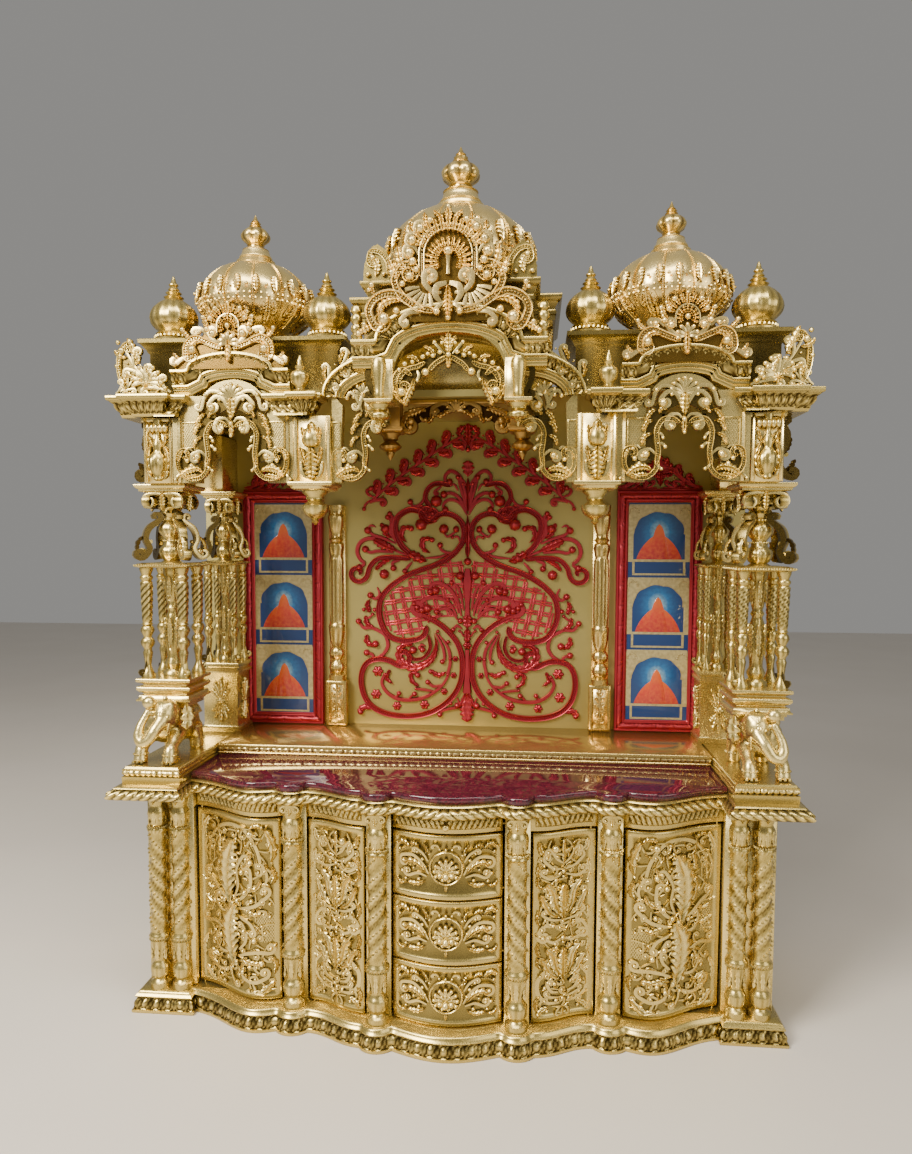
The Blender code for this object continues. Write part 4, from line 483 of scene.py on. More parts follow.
# %% Picture panels
def printed(name, low, middle, high, metallic=0.0):
    """A glossy print that goes through three colours as the tone rises, clouded by noise."""
    values = {"Roughness": 0.35, "Coat Weight": 1.0, "Coat Roughness": 0.03, "Metallic": metallic}
    finish, tree, shader, place = new_finish(name, values)
    tone = add(tree, "ShaderNodeAttribute", attribute_name="tone").outputs["Fac"]
    first = blend(tree, spread(tree, tone, 0.0, 0.5, 0, 1), low, middle)
    colour = blend(tree, spread(tree, tone, 0.5, 1.0, 0, 1), first, high)
    cloud = grain(tree, place, 9, 4).outputs["Fac"]
    colour = blend(tree, spread(tree, cloud, 0.35, 0.7, 0, 0.5), colour, low)
    tree.links.new(colour, shader.inputs["Base Color"])
    return finish


picture = printed("blue_picture_panel", "#16386f", "#2b78b5", "#a9d4e2")
picture_warm = printed("orange_red_print", "#e0702f", "#cc3a2c", "#a31f2e")
picture_gilt = printed("gilt_print", "#7d6a3a", "#a8955c", "#c9ba86", 0.3)
print("materials in all", len(bpy.data.materials))

# %% [markdown]
# ## Floor and light
# A plain pale floor and soft studio light: one broad lamp high on the left, a weaker one on the right, and
# a strip overhead that draws the long highlights on the mouldings. Metal shows what it reflects, so the
# pale surroundings matter as much as the lamps.

# %% Floor and lamps
floor_mesh = bpy.data.meshes.new("floor")
floor_mesh.from_pydata([(-9, -7, 0), (9, -7, 0), (9, 9, 0), (-9, 9, 0)], [], [(0, 1, 2, 3)])
floor = bpy.data.objects.new("floor", floor_mesh)
bpy.context.scene.collection.objects.link(floor)
stone, tree, shader, place = new_finish("pale_floor", {"Roughness": 0.45, "IOR": 1.5})
colour = blend(tree, grain(tree, place, 600).outputs["Fac"], "#d9d2c8", "#cfc7bb")
tree.links.new(colour, shader.inputs["Base Color"])
floor_mesh.materials.append(stone)

world = bpy.data.worlds.new("studio")
world.use_nodes = True
for name, value in (("Color", linear("#e2e0dc")), ("Strength", 0.36)):
    world.node_tree.nodes["Background"].inputs[name].default_value = value
bpy.context.scene.world = world


def lamp(name, power, size, place, turn):
    """A warm white area lamp of that size in metres, turned by angles in degrees about x, y and z."""
    data = bpy.data.lights.new(name, "AREA")
    data.energy = power
    data.shape = "RECTANGLE"
    data.size, data.size_y = size
    data.color = linear("#fff8ec")[:3]
    item = bpy.data.objects.new(name, data)
    item.location = place
    item.rotation_euler = np.radians(turn)
    bpy.context.scene.collection.objects.link(item)


lamp("key", 270, (1.5, 1.5), (-2.0, -2.6, 3.0), (52, 0, -38))
lamp("fill", 45, (2.4, 2.0), (2.8, -2.4, 1.8), (72, 0, 50))
lamp("overhead", 75, (2.6, 0.7), (0, -1.2, 3.2), (18, 0, 0))
print("lamps", len(bpy.data.lights))

# %% [markdown]
# ## The cabinet's front line
# The front swells and steps: a bowed centre, two S-curved bays on each side, and a flat strip with a
# column between them. All mouldings, doors and drawers follow this one line, y as a function of x.

# %% Front line
FLAT_TONE = 0.62  # plain wood, between the hollows and the crests
STRIP_HALF = 0.028
OUTER_STRIP_X = 0.356
INNER_STRIP_X = 0.153
PIER_X = 0.612
PIER_Y, OUTER_Y, INNER_Y = -0.112, -0.173, -0.2215
BACK_Y = 0.319
WALL_Y = 0.3003  # the front face of the back wall
SUNK = 0.0035  # a carved ground lies this far behind its border


def front_y(x):
    """Between strips the line goes straight from one depth to the next, plus a sine for the swell."""
    x = np.abs(np.asarray(x, float))
    outer = np.clip((PIER_X - x) / (PIER_X - OUTER_STRIP_X - STRIP_HALF), 0, 1)
    inner = np.clip((OUTER_STRIP_X - STRIP_HALF - x) / (OUTER_STRIP_X - INNER_STRIP_X - 2 * STRIP_HALF), 0, 1)
    middle = np.clip((INNER_STRIP_X - STRIP_HALF - x) / (INNER_STRIP_X - STRIP_HALF) / 2, 0, 0.5)
    y = PIER_Y + (OUTER_Y - PIER_Y) * outer - 0.025 * np.sin(np.pi * outer) + 0.012 * np.sin(2 * np.pi * outer)
    y = y + (INNER_Y - OUTER_Y) * inner + 0.0055 * np.sin(2 * np.pi * inner)
    return y - 0.035 * np.sin(np.pi * middle)


def on_front(u, v, w):
    """Ornament laid on the front: u is x, v is z, and w stands out from the front line."""
    return u, front_y(u) - w, v


def on_plane(y):
    """Ornament laid on a flat face that looks forward at that y."""
    return lambda u, v, w: (u, y - w, v)


print("front depth", front_y([0, 0.2, 0.5]))

# %% [markdown]
# ### Moulded blocks
# A moulded block is its outline, seen from above, moved in and out as it goes up. Each point of the outline
# knows the way in which it moves, so corners stay mitred.

# %% Moulded blocks
def mitre(before, after):
    """At a corner both sides move out by one: the sum of their normals over 1 + their product."""
    normals = [np.array([way[1], -way[0]]) / np.linalg.norm(way) for way in (before, after)]
    return (normals[0] + normals[1]) / (1 + normals[0] @ normals[1])


def slab_line(reach, pad, corner, step=0.0025):
    """Half a slab's edge, from the middle of the front to the back: the front line moved forward, round
    pads in front of the columns (the nearer to the viewer wins), then straight runs between the corners.
    Each row is x, y and the way that the point goes, for every metre that the edge moves out."""
    x = np.linspace(0, corner[0][0], 900)
    y = front_y(x) - reach
    for column_x, column_y in ((OUTER_STRIP_X, OUTER_Y), (INNER_STRIP_X, INNER_Y)):
        y = np.minimum(y, column_y - 0.018 - np.sqrt(np.clip(pad ** 2 - (x - column_x) ** 2, 0, None))
                       + 9 * (np.abs(x - column_x) > pad))
    front = np.column_stack([x, y])
    front = even(front, int(length(front) / step))
    knots = np.vstack([front[-1], corner, (0, corner[-1][1])])
    sides = np.diff(knots, axis=0)
    outs = [mitre(front[-1] - front[-2], sides[0])] + [mitre(a, b) for a, b in zip(sides[:-1], sides[1:])]
    out = -sideways(front)
    share = np.clip((np.linspace(0, 1, len(front)) - 0.92) / 0.08, 0, 1)[:, None]
    rows = [np.hstack([front, out * (1 - share) + outs[0] * share])]
    for k in range(len(corner)):
        count = max(1, int(np.linalg.norm(sides[k]) / step))
        t = np.linspace(0, 1, count + 1)[1:, None]
        rows.append(np.hstack([knots[k] + sides[k] * t, outs[k] * (1 - t) + outs[k + 1] * t]))
    return np.vstack(rows)


def moulded(rows, levels, relief=0):
    """A block with a moulded edge: at each level (inset, z) the closed outline is moved in by the inset.
    The relief, a table [level, along the outline], pushes the edge out again in a pattern."""
    inset, z = np.asarray(levels, float).T
    rise = np.broadcast_to(relief, (len(inset), len(rows)))
    out = rise - inset[:, None]
    xy = rows[None, :, :2] + rows[None, :, 2:] * out[..., None]
    points = np.concatenate([xy, np.broadcast_to(z[:, None, None], (*out.shape, 1))], 2)
    tone = FLAT_TONE + 0.75 * rise / (np.abs(rise).max() + 1e-9)
    kept = needed(points.swapaxes(0, 1), tone.T, 0.0004, 0.03)
    points, rise, tone = points[:, kept], rise[:, kept], tone[:, kept]
    return surface(points, np.clip(tone, 0, 1) if np.any(rise) else 0.8)


def slab(half, levels, relief=0):
    """A moulded block with the outline's left half as the mirror image of its right half."""
    whole = np.vstack([half[:0:-1] * (-1, 1, -1, 1), half])
    rise = np.broadcast_to(relief, (len(levels), len(half)))
    return moulded(whole, levels, np.hstack([rise[:, :0:-1], rise]))


def outline(corners, step=0.004):
    """A closed outline through the corners, counted anticlockwise from above, with mitred ways out."""
    corners = np.asarray(corners, float)
    sides = np.roll(corners, -1, 0) - corners
    outs = [mitre(sides[k - 1], sides[k]) for k in range(len(corners))]
    rows = []
    for k in range(len(corners)):
        t = np.linspace(0, 1, max(1, int(np.linalg.norm(sides[k]) / step)), endpoint=False)[:, None]
        way = outs[k] * (1 - t) + outs[(k + 1) % len(corners)] * t
        rows.append(np.hstack([corners[k] + sides[k] * t, way]))
    return np.vstack(rows)


def rectangle(x0, x1, y0, y1, step=0.004):
    """The outline of a rectangle with its sides at x0, x1, y0 and y1."""
    return outline([(x0, y0), (x1, y0), (x1, y1), (x0, y1)], step)


print("corners of a unit square move out by", np.round(rectangle(0, 1, 0, 1)[0, 2:], 2))

# %% [markdown]
# ## Patterned mouldings
# The plinth carries a row of eggs in their leaves, and the counter a twisted rope of gadroons. Both are
# one slab edge pushed in and out: the pattern is a function of the place along the edge, p, which counts
# motifs, and the place across the band, q, from -1 to 1. The rope is |sin| ridges that lean as q grows.

# %% Pattern functions
def egg_and_leaf(p, q):
    """An egg at each whole p, a rim round it that opens upwards, and a dart between two rims."""
    p = p - np.round(p)
    egg = np.sqrt(np.clip(1 - (p / 0.25) ** 2 - (q / 0.7) ** 2, 0, None))
    rim = np.exp(-((np.sqrt((p / 0.38) ** 2 + (q / 0.98) ** 2) - 1) / 0.14) ** 2)
    dart = np.exp(-((np.abs(p) - 0.5) / 0.07) ** 2) * (0.5 - 0.5 * q)
    eye = np.exp(-(p ** 2 / 0.008 + (q - 0.1) ** 2 / 0.06))
    return egg + 0.8 * rim + 0.7 * dart + 0.35 * eye - 0.9


def rope(p, q, lean=0.75):
    """Round ridges |sin(pi (p + lean q))|, highest along the middle of the band."""
    return np.abs(np.sin(np.pi * (p + lean * q))) ** 0.7 * np.sqrt(np.clip(1.1 - q * q, 0, 1)) - 0.7


def slanting_leaves(p, q):
    """Small leaves that lean over one another: a ridge with a groove down its middle."""
    t = (p + 0.5 * q) % 1
    return np.sin(np.pi * t) ** 0.8 - 0.5 * np.exp(-((t - 0.5) / 0.1) ** 2) - 0.35 * np.abs(q) ** 3


def run_length(line):
    """How far along the line each point lies: the distances so far, added up."""
    return np.concatenate([[0], np.cumsum(np.linalg.norm(np.diff(line, axis=0), axis=1))])


def patterned(line, levels, pattern, motif, height, low, high):
    """The relief table for a slab: the pattern between two heights, motif metres a repeat, out by height."""
    z = np.asarray(levels, float)[:, 1][:, None]
    along = run_length(line[:, :2])
    motif = along[-1] / round(along[-1] / motif)
    q = (2 * z - low - high) / (high - low)
    return np.where(np.abs(q) <= 1, pattern(along[None] / motif, np.clip(q, -1, 1)) * height, 0)

# %% Plinth
CORNER = [(0.602, -0.178), (0.75, -0.178), (0.75, BACK_Y)]
plinth_line = slab_line(0.045, 0.046, CORNER, 0.0042)
band = [(0.0005 + 0.007 * (k / 8) ** 1.6, 0.0085 + 0.0265 * k / 8) for k in range(9)]
levels = [(0.001, 0.0002), (-0.001, 0.004), (-0.001, 0.0075), *band, (0.006, 0.0365), (0.0055, 0.039),
          (0.008, 0.0415), (0.0085, 0.0435), (0.011, 0.0455), (0.0115, 0.0475), (0.0135, 0.0485), (0.015, 0.05)]
relief = patterned(plinth_line, levels, egg_and_leaf, 0.031, 0.0042, 0.008, 0.0355)
make("carved_plinth", slab(plinth_line, levels, relief), carved_gold, instead=["plinth"])
print("plinth triangles", added["carved_plinth"])

# %% Counter with its rope edge
ROPE_CORNER = [(0.596, -0.239), (0.769, -0.239), (0.769, BACK_Y)]
rope_line = slab_line(0.048, 0.048, ROPE_CORNER, 0.0032)
bulge = [(0.011 - 0.0125 * math.sin(math.pi * k / 9) ** 0.6, 0.5245 + 0.0255 * k / 9) for k in range(10)]
levels = [(0.02, 0.5242), *bulge, (0.0115, 0.5512), (0.0125, 0.553), (0.014, 0.5545), (0.015, 0.555)]
relief = patterned(rope_line, levels, rope, 0.0215, 0.0062, 0.524, 0.5505)
counter = [slab(rope_line, levels, relief)]

# %% [markdown]
# Under the counter, over each bay, runs a frieze: a curved board with a row of leaves that lean away from
# the middle. A curved board is one closed outline in the (depth, height) plane carried along x.

# %% Curved boards and friezes
def curved_board(start, end, low, high, depth=0.016, border=0.0):
    """A board between two x, its face on the front line. Inside the border the ground is sunk, behind a
    bevel; the depth at a point is that of the nearer edge, so the corners are mitred."""
    if border:
        marks = np.array([0, 0.0012, border - 0.002, border, border + 0.004])
        drop = np.array([0.0012, 0, 0, 0.0012, SUNK])
    else:
        marks, drop = np.array([0, 0.0012]), np.array([0.0012, 0])
    rows = np.concatenate([low + marks, high - marks[::-1]])
    columns = np.unique(np.concatenate([start + marks, end - marks, np.linspace(start, end, 40)]))
    near = np.minimum(columns - start, end - columns)
    near_row = np.minimum(rows - low, high - rows)
    down = np.interp(np.minimum(near[:, None], near_row[None]), marks, drop)
    face = np.stack([np.broadcast_to(columns[:, None], down.shape), front_y(columns)[:, None] + down,
                     np.broadcast_to(rows[None], down.shape)], 2)
    back = [np.column_stack([columns, front_y(columns) + depth, np.full(len(columns), z)]) for z in (high, low)]
    # The sunk ground gets a lower tone, which paints shade into the recess.
    tone = np.hstack([0.66 - 150 * np.clip(down - 0.0012, 0, None), np.full((len(columns), 2), 0.7)])
    return surface(np.concatenate([face, np.stack(back, 1)], 1), tone)


def leaf_row(start, end, low, high, motif=0.0115, height=0.0062):
    """A raised band of slanting leaves, mirrored about its middle."""
    u = np.linspace(start, end, int((end - start) / 0.0016))
    q = np.linspace(-1, 1, 11)
    half = (start + end) / 2
    p = np.abs(u - half) / motif
    rise = slanting_leaves(p[:, None], -q[None]) * height * (np.abs(q[None]) < 0.99)
    rise *= (np.minimum(u - start, end - u) > 0.0005)[:, None]
    v = np.broadcast_to(low + (high - low) * (q + 1) / 2, rise.shape)
    face = np.stack([np.broadcast_to(u[:, None], rise.shape), v, rise], 2)
    back = np.stack([np.column_stack([u, np.full(len(u), z), np.full(len(u), -0.002)]) for z in (high, low)], 1)
    tone = np.concatenate([0.15 + 0.9 * rise / height, np.zeros((len(u), 2))], 1)
    return surface(np.concatenate([face, back], 1), np.clip(tone, 0, 1))


FRIEZE_LOW = 0.484
outer_bay = (OUTER_STRIP_X + STRIP_HALF, PIER_X)
inner_bay = (INNER_STRIP_X + STRIP_HALF, OUTER_STRIP_X - STRIP_HALF)
for start, end in (outer_bay, inner_bay):
    board = curved_board(start, end, FRIEZE_LOW, 0.5245, 0.018)
    leaves = laid(leaf_row(start + 0.01, end - 0.01, 0.4935, 0.5225), on_front)
    counter += [board, leaves, mirrored(board), mirrored(leaves)]
make("carved_counter", joined(*counter), carved_gold, instead=["counter_frame"])
print("counter triangles", added["carved_counter"])

# %% [markdown]
# ## Granite counter
# A 16 mm slab follows the front line more closely than the rope does, with a rounded top edge and little
# scallops in front of the columns. Its edge stays dark because the polish shows the floor there.

# %% Granite slab
stone_line = slab_line(0.025, 0.036, [(0.6122, 0.1), (0.6122, WALL_Y)], 0.003)
levels = [(0.0015, 0.5553), (0, 0.5568), (0, 0.5675), (0.0004, 0.569), (0.0015, 0.5703), (0.003, 0.5711),
          (0.0045, 0.5713)]
make("granite_slab", slab(stone_line, levels), granite, instead=["granite_top"])
print({name: count for name, count in added.items()})

# %% [markdown]
# ## Carved columns of the cabinet
# Each column is turned, then carved: volutes on top, an acanthus bulb, a shaft wound with beaded strands,
# a leaf cup, and a fluted bulb on a ring foot. The turned form is a profile with a ripple round it, and
# the strands are rows of beads on a helix. Wrapping carries flat ornament round a column's surface.

# %% Column helpers
def box(low, high, ease=0.0012):
    """A board as a closed outline carried along x, its long edges eased by a small chamfer."""
    (x0, y0, z0), (x1, y1, z1) = low, high
    edge = [(y0 + ease, z0), (y1 - ease, z0), (y1, z0 + ease), (y1, z1 - ease), (y1 - ease, z1),
        (y0 + ease, z1), (y0, z1 - ease), (y0, z0 + ease)]
    columns = [(x0, ease), (x0 + ease, 0), (x1 - ease, 0), (x1, ease)]
    middle = np.array([(y0 + y1) / 2, (z0 + z1) / 2])
    rows = [np.column_stack([np.full(8, x), middle + (np.array(edge) - middle)
            * (1 - 2 * inset / np.array([y1 - y0, z1 - z0]))]) for x, inset in columns]
    return surface(np.array(rows), 1)


def wrapped(shape, centre, radius_at):
    """Flat ornament carried round a column: u runs round it, w adds to the radius at height v."""
    def place(u, v, w):
        radius = radius_at(v)
        angle = u / np.maximum(radius, 0.004) - math.pi / 2
        return centre[0] + (radius + w) * np.cos(angle), centre[1] + (radius + w) * np.sin(angle), v
    return laid(shape, place)


def ring_of(shape, count, around):
    """Copies of flat ornament, evenly spaced over the length that goes once round."""
    return joined(*[moved(shape, u=around * k / count) for k in range(count)])


def turned_column(shares, low, high, radius, centre, ripple, around=32, rows=84):
    """The profile's (radius, height) shares made metres, sampled finely, with a ripple(angle, share)."""
    shares = np.array(sorted(shares, key=lambda pair: pair[1]))
    share = np.unique(np.concatenate([np.linspace(0, 1, rows), shares[:, 1]]))
    angle = np.linspace(0, math.tau, around, endpoint=False)[None]
    wave = ripple(angle, share[:, None])
    profile = np.column_stack(
        [radius * np.interp(share, shares[:, 1], shares[:, 0]), low + (high - low) * share])
    tone = np.clip(FLAT_TONE + 5.5 * wave, 0, 1)
    return lathe(profile, around, wave, centre, tone), lambda v: np.interp(v, profile[:, 1], profile[:, 0])

# %% Cabinet column
CABINET_COLUMN = [
    (1.06, 0), (1.12, 0.012), (1.06, 0.028), (0.74, 0.038), (0.68, 0.046), (0.9, 0.06), (1.03, 0.085),
    (0.98, 0.112), (0.74, 0.128), (0.62, 0.14), (0.66, 0.155), (0.8, 0.2), (0.92, 0.238), (0.92, 0.248),
    (1.06, 0.256), (1.1, 0.264), (1.04, 0.274), (0.86, 0.284), (0.85, 0.5), (0.86, 0.792), (0.93, 0.798),
    (1.08, 0.808), (1.0, 0.818), (0.78, 0.828), (0.86, 0.858), (1.02, 0.886), (0.94, 0.912), (0.76, 0.926),
    (0.88, 0.945), (0.98, 0.965), (1.12, 0.985), (1.12, 1)]


STILE_LOW, STILE_HIGH = 0.0503, 0.5237
TWISTS = 1.9
SHAFT_LOW, SHAFT_TALL = 0.285, 0.5


def within(share, low, high):
    """A smooth hump over a stretch of the height, 0 outside it."""
    return np.clip(np.sin(math.pi * np.clip((share - low) / (high - low), 0, 1)), 0, 1) ** 0.5


def cabinet_ripple(angle, share, strands=3):
    """Flutes on the bulbs, leaf swells on the cup, and slanting ribs on the shaft between the strands."""
    flutes = 0.075 * (np.abs(np.sin(6 * angle)) - 0.55) * (
        within(share, 0.05, 0.126) + within(share, 0.832, 0.922))
    cup = 0.055 * np.cos(8 * angle) * within(share, 0.145, 0.246)
    twist = angle + math.tau * TWISTS * (share - SHAFT_LOW) / SHAFT_TALL
    shaft = (0.075 * np.cos(strands * twist) + 0.03 * np.cos(4 * strands * twist + 40 * share)
             + 0.02 * np.cos(80 * share * math.pi)) * within(share, 0.286, 0.79)
    rope_ring = 0.05 * np.cos(16 * angle) * (within(share, 0.8, 0.816) + within(share, 0.256, 0.272))
    return flutes + cup + shaft + rope_ring


def cabinet_column(x, y, radius, lean=1):
    """One column at (x, y): turned form, three strands of beads, cup leaves and a volute capital."""
    low, high = STILE_LOW, STILE_HIGH
    turned, radius_at = turned_column(CABINET_COLUMN, low, high, radius, (x, y),
                                      lambda a, s: cabinet_ripple(lean * a, s))
    tall = high - low
    share = np.linspace(0.296, 0.782, 34)
    beads = []
    for k in range(3):
        angle = lean * (-math.tau * TWISTS * (share - SHAFT_LOW) / SHAFT_TALL + math.tau * k / 3)
        r = radius_at(low + share * tall) * 1.11
        spots = np.column_stack([x + r * np.cos(angle), y + r * np.sin(angle), low + share * tall])
        beads.append(spots[np.sin(angle) < 0.35])
    girdle = np.linspace(math.pi, math.tau, 14)
    for level in (0.822, 0.25):
        beads.append(np.column_stack([x + radius * np.cos(girdle), y + radius * np.sin(girdle),
                                      np.full(14, low + level * tall)]))
    cup = ring_of(leaf([(0, low + 0.243 * tall), (0, low + 0.148 * tall)], 0.008, 0.003, 3, -0.001), 6,
                  math.tau * radius * 0.8)
    crown = ring_of(leaf([(0, low + 0.832 * tall), (0, low + 0.905 * tall)], 0.0075, 0.0022, 3, -0.001), 8,
                    math.tau * radius * 0.9)
    top = low + 0.992 * tall
    front = strand(curled([(0.0, top - 0.001), (0.008, top + 0.001), (0.0155, top - 0.001)], 0.0078, 1.3, -1),
                   [0.003, 0.0034, 0.0026, 0.002, 0.0014], 0.005, 22, -0.006)
    tongue = leaf([(0, top - 0.024), (0, top - 0.003)], 0.0075, 0.0045, 3, -0.004)
    capital = joined(with_mirror(front, balls([(0.0152, top - 0.0095, 0.003)], 0.0032)), tongue)
    capital = laid(capital, lambda u, v, w: (x + u, y - radius * 0.92 - w, v))
    parts = [
        turned, balls(np.vstack(beads), 0.0035, BEAD), wrapped(cup, (x, y), lambda v: 0.8 * radius + 0 * v),
        wrapped(crown, (x, y), lambda v: 0.9 * radius + 0 * v), capital]
    return joined(*parts)


print("column triangles", sum(len(t) * (t.shape[1] - 2) for t in cabinet_column(0, 0, 0.024)[1]))

# %% [markdown]
# ## Strips, partitions and piers
# Behind each column stands a plain strip with a partition behind it, and at each end a pier with twin
# columns. These are flat boards, so they are plain boxes with eased edges, joined with their columns.

# %% Strips and piers
STRIP_DEEP = 0.02
COLUMN_OUT, COLUMN_RADIUS = 0.018, 0.024
outer_strip = joined(box((0.328, OUTER_Y, STILE_LOW), (0.384, OUTER_Y + STRIP_DEEP, STILE_HIGH)),
                     box((0.347, OUTER_Y + 0.018, STILE_LOW), (0.365, 0.3007, STILE_HIGH)))
make_pair("outer_stile",
    joined(outer_strip, cabinet_column(OUTER_STRIP_X, OUTER_Y - COLUMN_OUT, COLUMN_RADIUS)), carved_gold)
runners = [box((0.11, INNER_Y + 0.04, top - 0.006), (0.127, 0.15, top))
           for top in (0.0607, 0.1982, 0.3432, 0.4897)]
inner_strip = joined(box((0.125, INNER_Y, STILE_LOW), (0.181, INNER_Y + STRIP_DEEP, STILE_HIGH)),
                     box((0.125, INNER_Y + 0.018, STILE_LOW), (0.143, 0.3007, STILE_HIGH)), *runners)
make_pair("inner_stile",
    joined(inner_strip, cabinet_column(INNER_STRIP_X, INNER_Y - COLUMN_OUT, COLUMN_RADIUS)), carved_gold)
pier = joined(
    box((0.612, -0.129, STILE_LOW), (0.725, -0.04, STILE_HIGH)),
    box((0.707, -0.042, STILE_LOW), (0.725, 0.3007, STILE_HIGH)), cabinet_column(0.6415, -0.139, 0.0225),
    cabinet_column(0.6955, -0.139, 0.0225, -1))
make_pair("pier", pier, carved_gold)
repaint("cabinet_back", board_gold)
print("pier triangles", added["right_pier_carved"])

# %% [markdown]
# ## Wide doors
# The wide doors carry two tall acanthus plumes on the middle line, one over the other, with S-shaped vines
# that end in balls on both sides, an arched band over the top, and cross-hatched grounds. The list below
# is the carver's drawing, in millimetres from the door's outer bottom corner. A vine is a row of points,
# its width, and the spiral at its end: radius, turns and hand.

# %% Drawing tools for panels
def vine(points, width, spiral=None, height=0.0078):
    """A tapered strand in millimetres. A spiral (radius, turns, hand) curls its end round a ball."""
    path = mm(points)
    parts = []
    if spiral:
        radius, turns, hand = spiral
        path = curled(path, radius / 1000, turns, hand)
        parts.append(balls([(*path[-1], 0.6 * height)], 0.36 * radius / 1000 + 0.001))
    taper = np.array([0.45, 0.9, 1.0, 0.9, 0.6 if spiral else 0.25]) * 1.4 * width / 1000
    parts.append(strand(path, taper, height, int(min(40, max(10, length(path) / 0.0034)))))
    return joined(*parts)


def small_leaf(points, width, height=0.0068, lobes=4):
    """A leaf drawn in millimetres, made 1.3 times as wide as the drawing says."""
    return leaf(mm(points), 1.3 * width / 1000, height, lobes)


def dots(*spots, height=0.0042):
    """Balls at (u, v, radius) in millimetres."""
    spots = mm(spots)
    return balls(np.column_stack([spots[:, :2], np.full(len(spots), height)]), 1.2 * spots[:, 2])


def hatch(u0, v0, u1, v1, gap=9):
    """A cross-hatched ground: two sets of thin raised lines at 60 and 120 degrees, cut to a rectangle."""
    parts = []
    for way in (1, -1):
        for c in np.arange(v0 - (u1 - u0) * 1.6, v1 + (u1 - u0) * 1.6, gap):
            line = np.array([(u, c + way * 1.6 * (u - (u0 + u1) / 2)) for u in np.linspace(u0, u1, 12)])
            line = line[(line[:, 1] > v0) & (line[:, 1] < v1)]
            if len(line) > 3:
                parts.append(strand(line[[0, -1]] / 1000, [0.0009], 0.0016, 3, -0.001))
    return joined(*parts)


def undergrowth(u0, v0, u1, v1, pitch=28, height=0.0056):
    """Small scrolls with a ball, one to each place of a staggered grid, each turned 137.5 degrees further,
    which fill the ground between the larger ones. Sizes are in millimetres."""
    stem = np.array([(-0.5, -0.22), (-0.1, 0.3), (0.3, 0.22)]) * pitch / 1000
    curl = curled(stem, 0.26 * pitch / 1000, 1.15, -1)
    scroll = joined(
        strand(curl, [0.0016, 0.0034, 0.0038, 0.0028], height, 11), balls([(*curl[-1], 0.6 * height)], 0.0044),
        leaf(np.array([(-0.15, 0.18), (0.1, 0.48), (0.46, 0.52)]) * pitch / 1000, 0.0052, height, 2))
    wide, tall = max(1, round((u1 - u0) / pitch)), max(1, round((v1 - v0) / (0.9 * pitch)))
    parts = []
    for k in range(wide * tall):
        row, column = divmod(k, wide)
        u = u0 + (u1 - u0) * (column + 0.5 + 0.22 * (-1) ** row) / wide
        v = v0 + (v1 - v0) * (row + 0.5) / tall
        turn = 2.4 * k
        c, s = math.cos(turn), math.sin(turn)
        copy = scroll if k % 2 else mirrored(scroll)
        turned = copy[0] @ np.array([(c, s, 0), (-s, c, 0), (0, 0, 1)]) + (u / 1000, v / 1000, 0)
        parts.append((turned, copy[1], 0.9 * copy[2]))
    return joined(*parts)

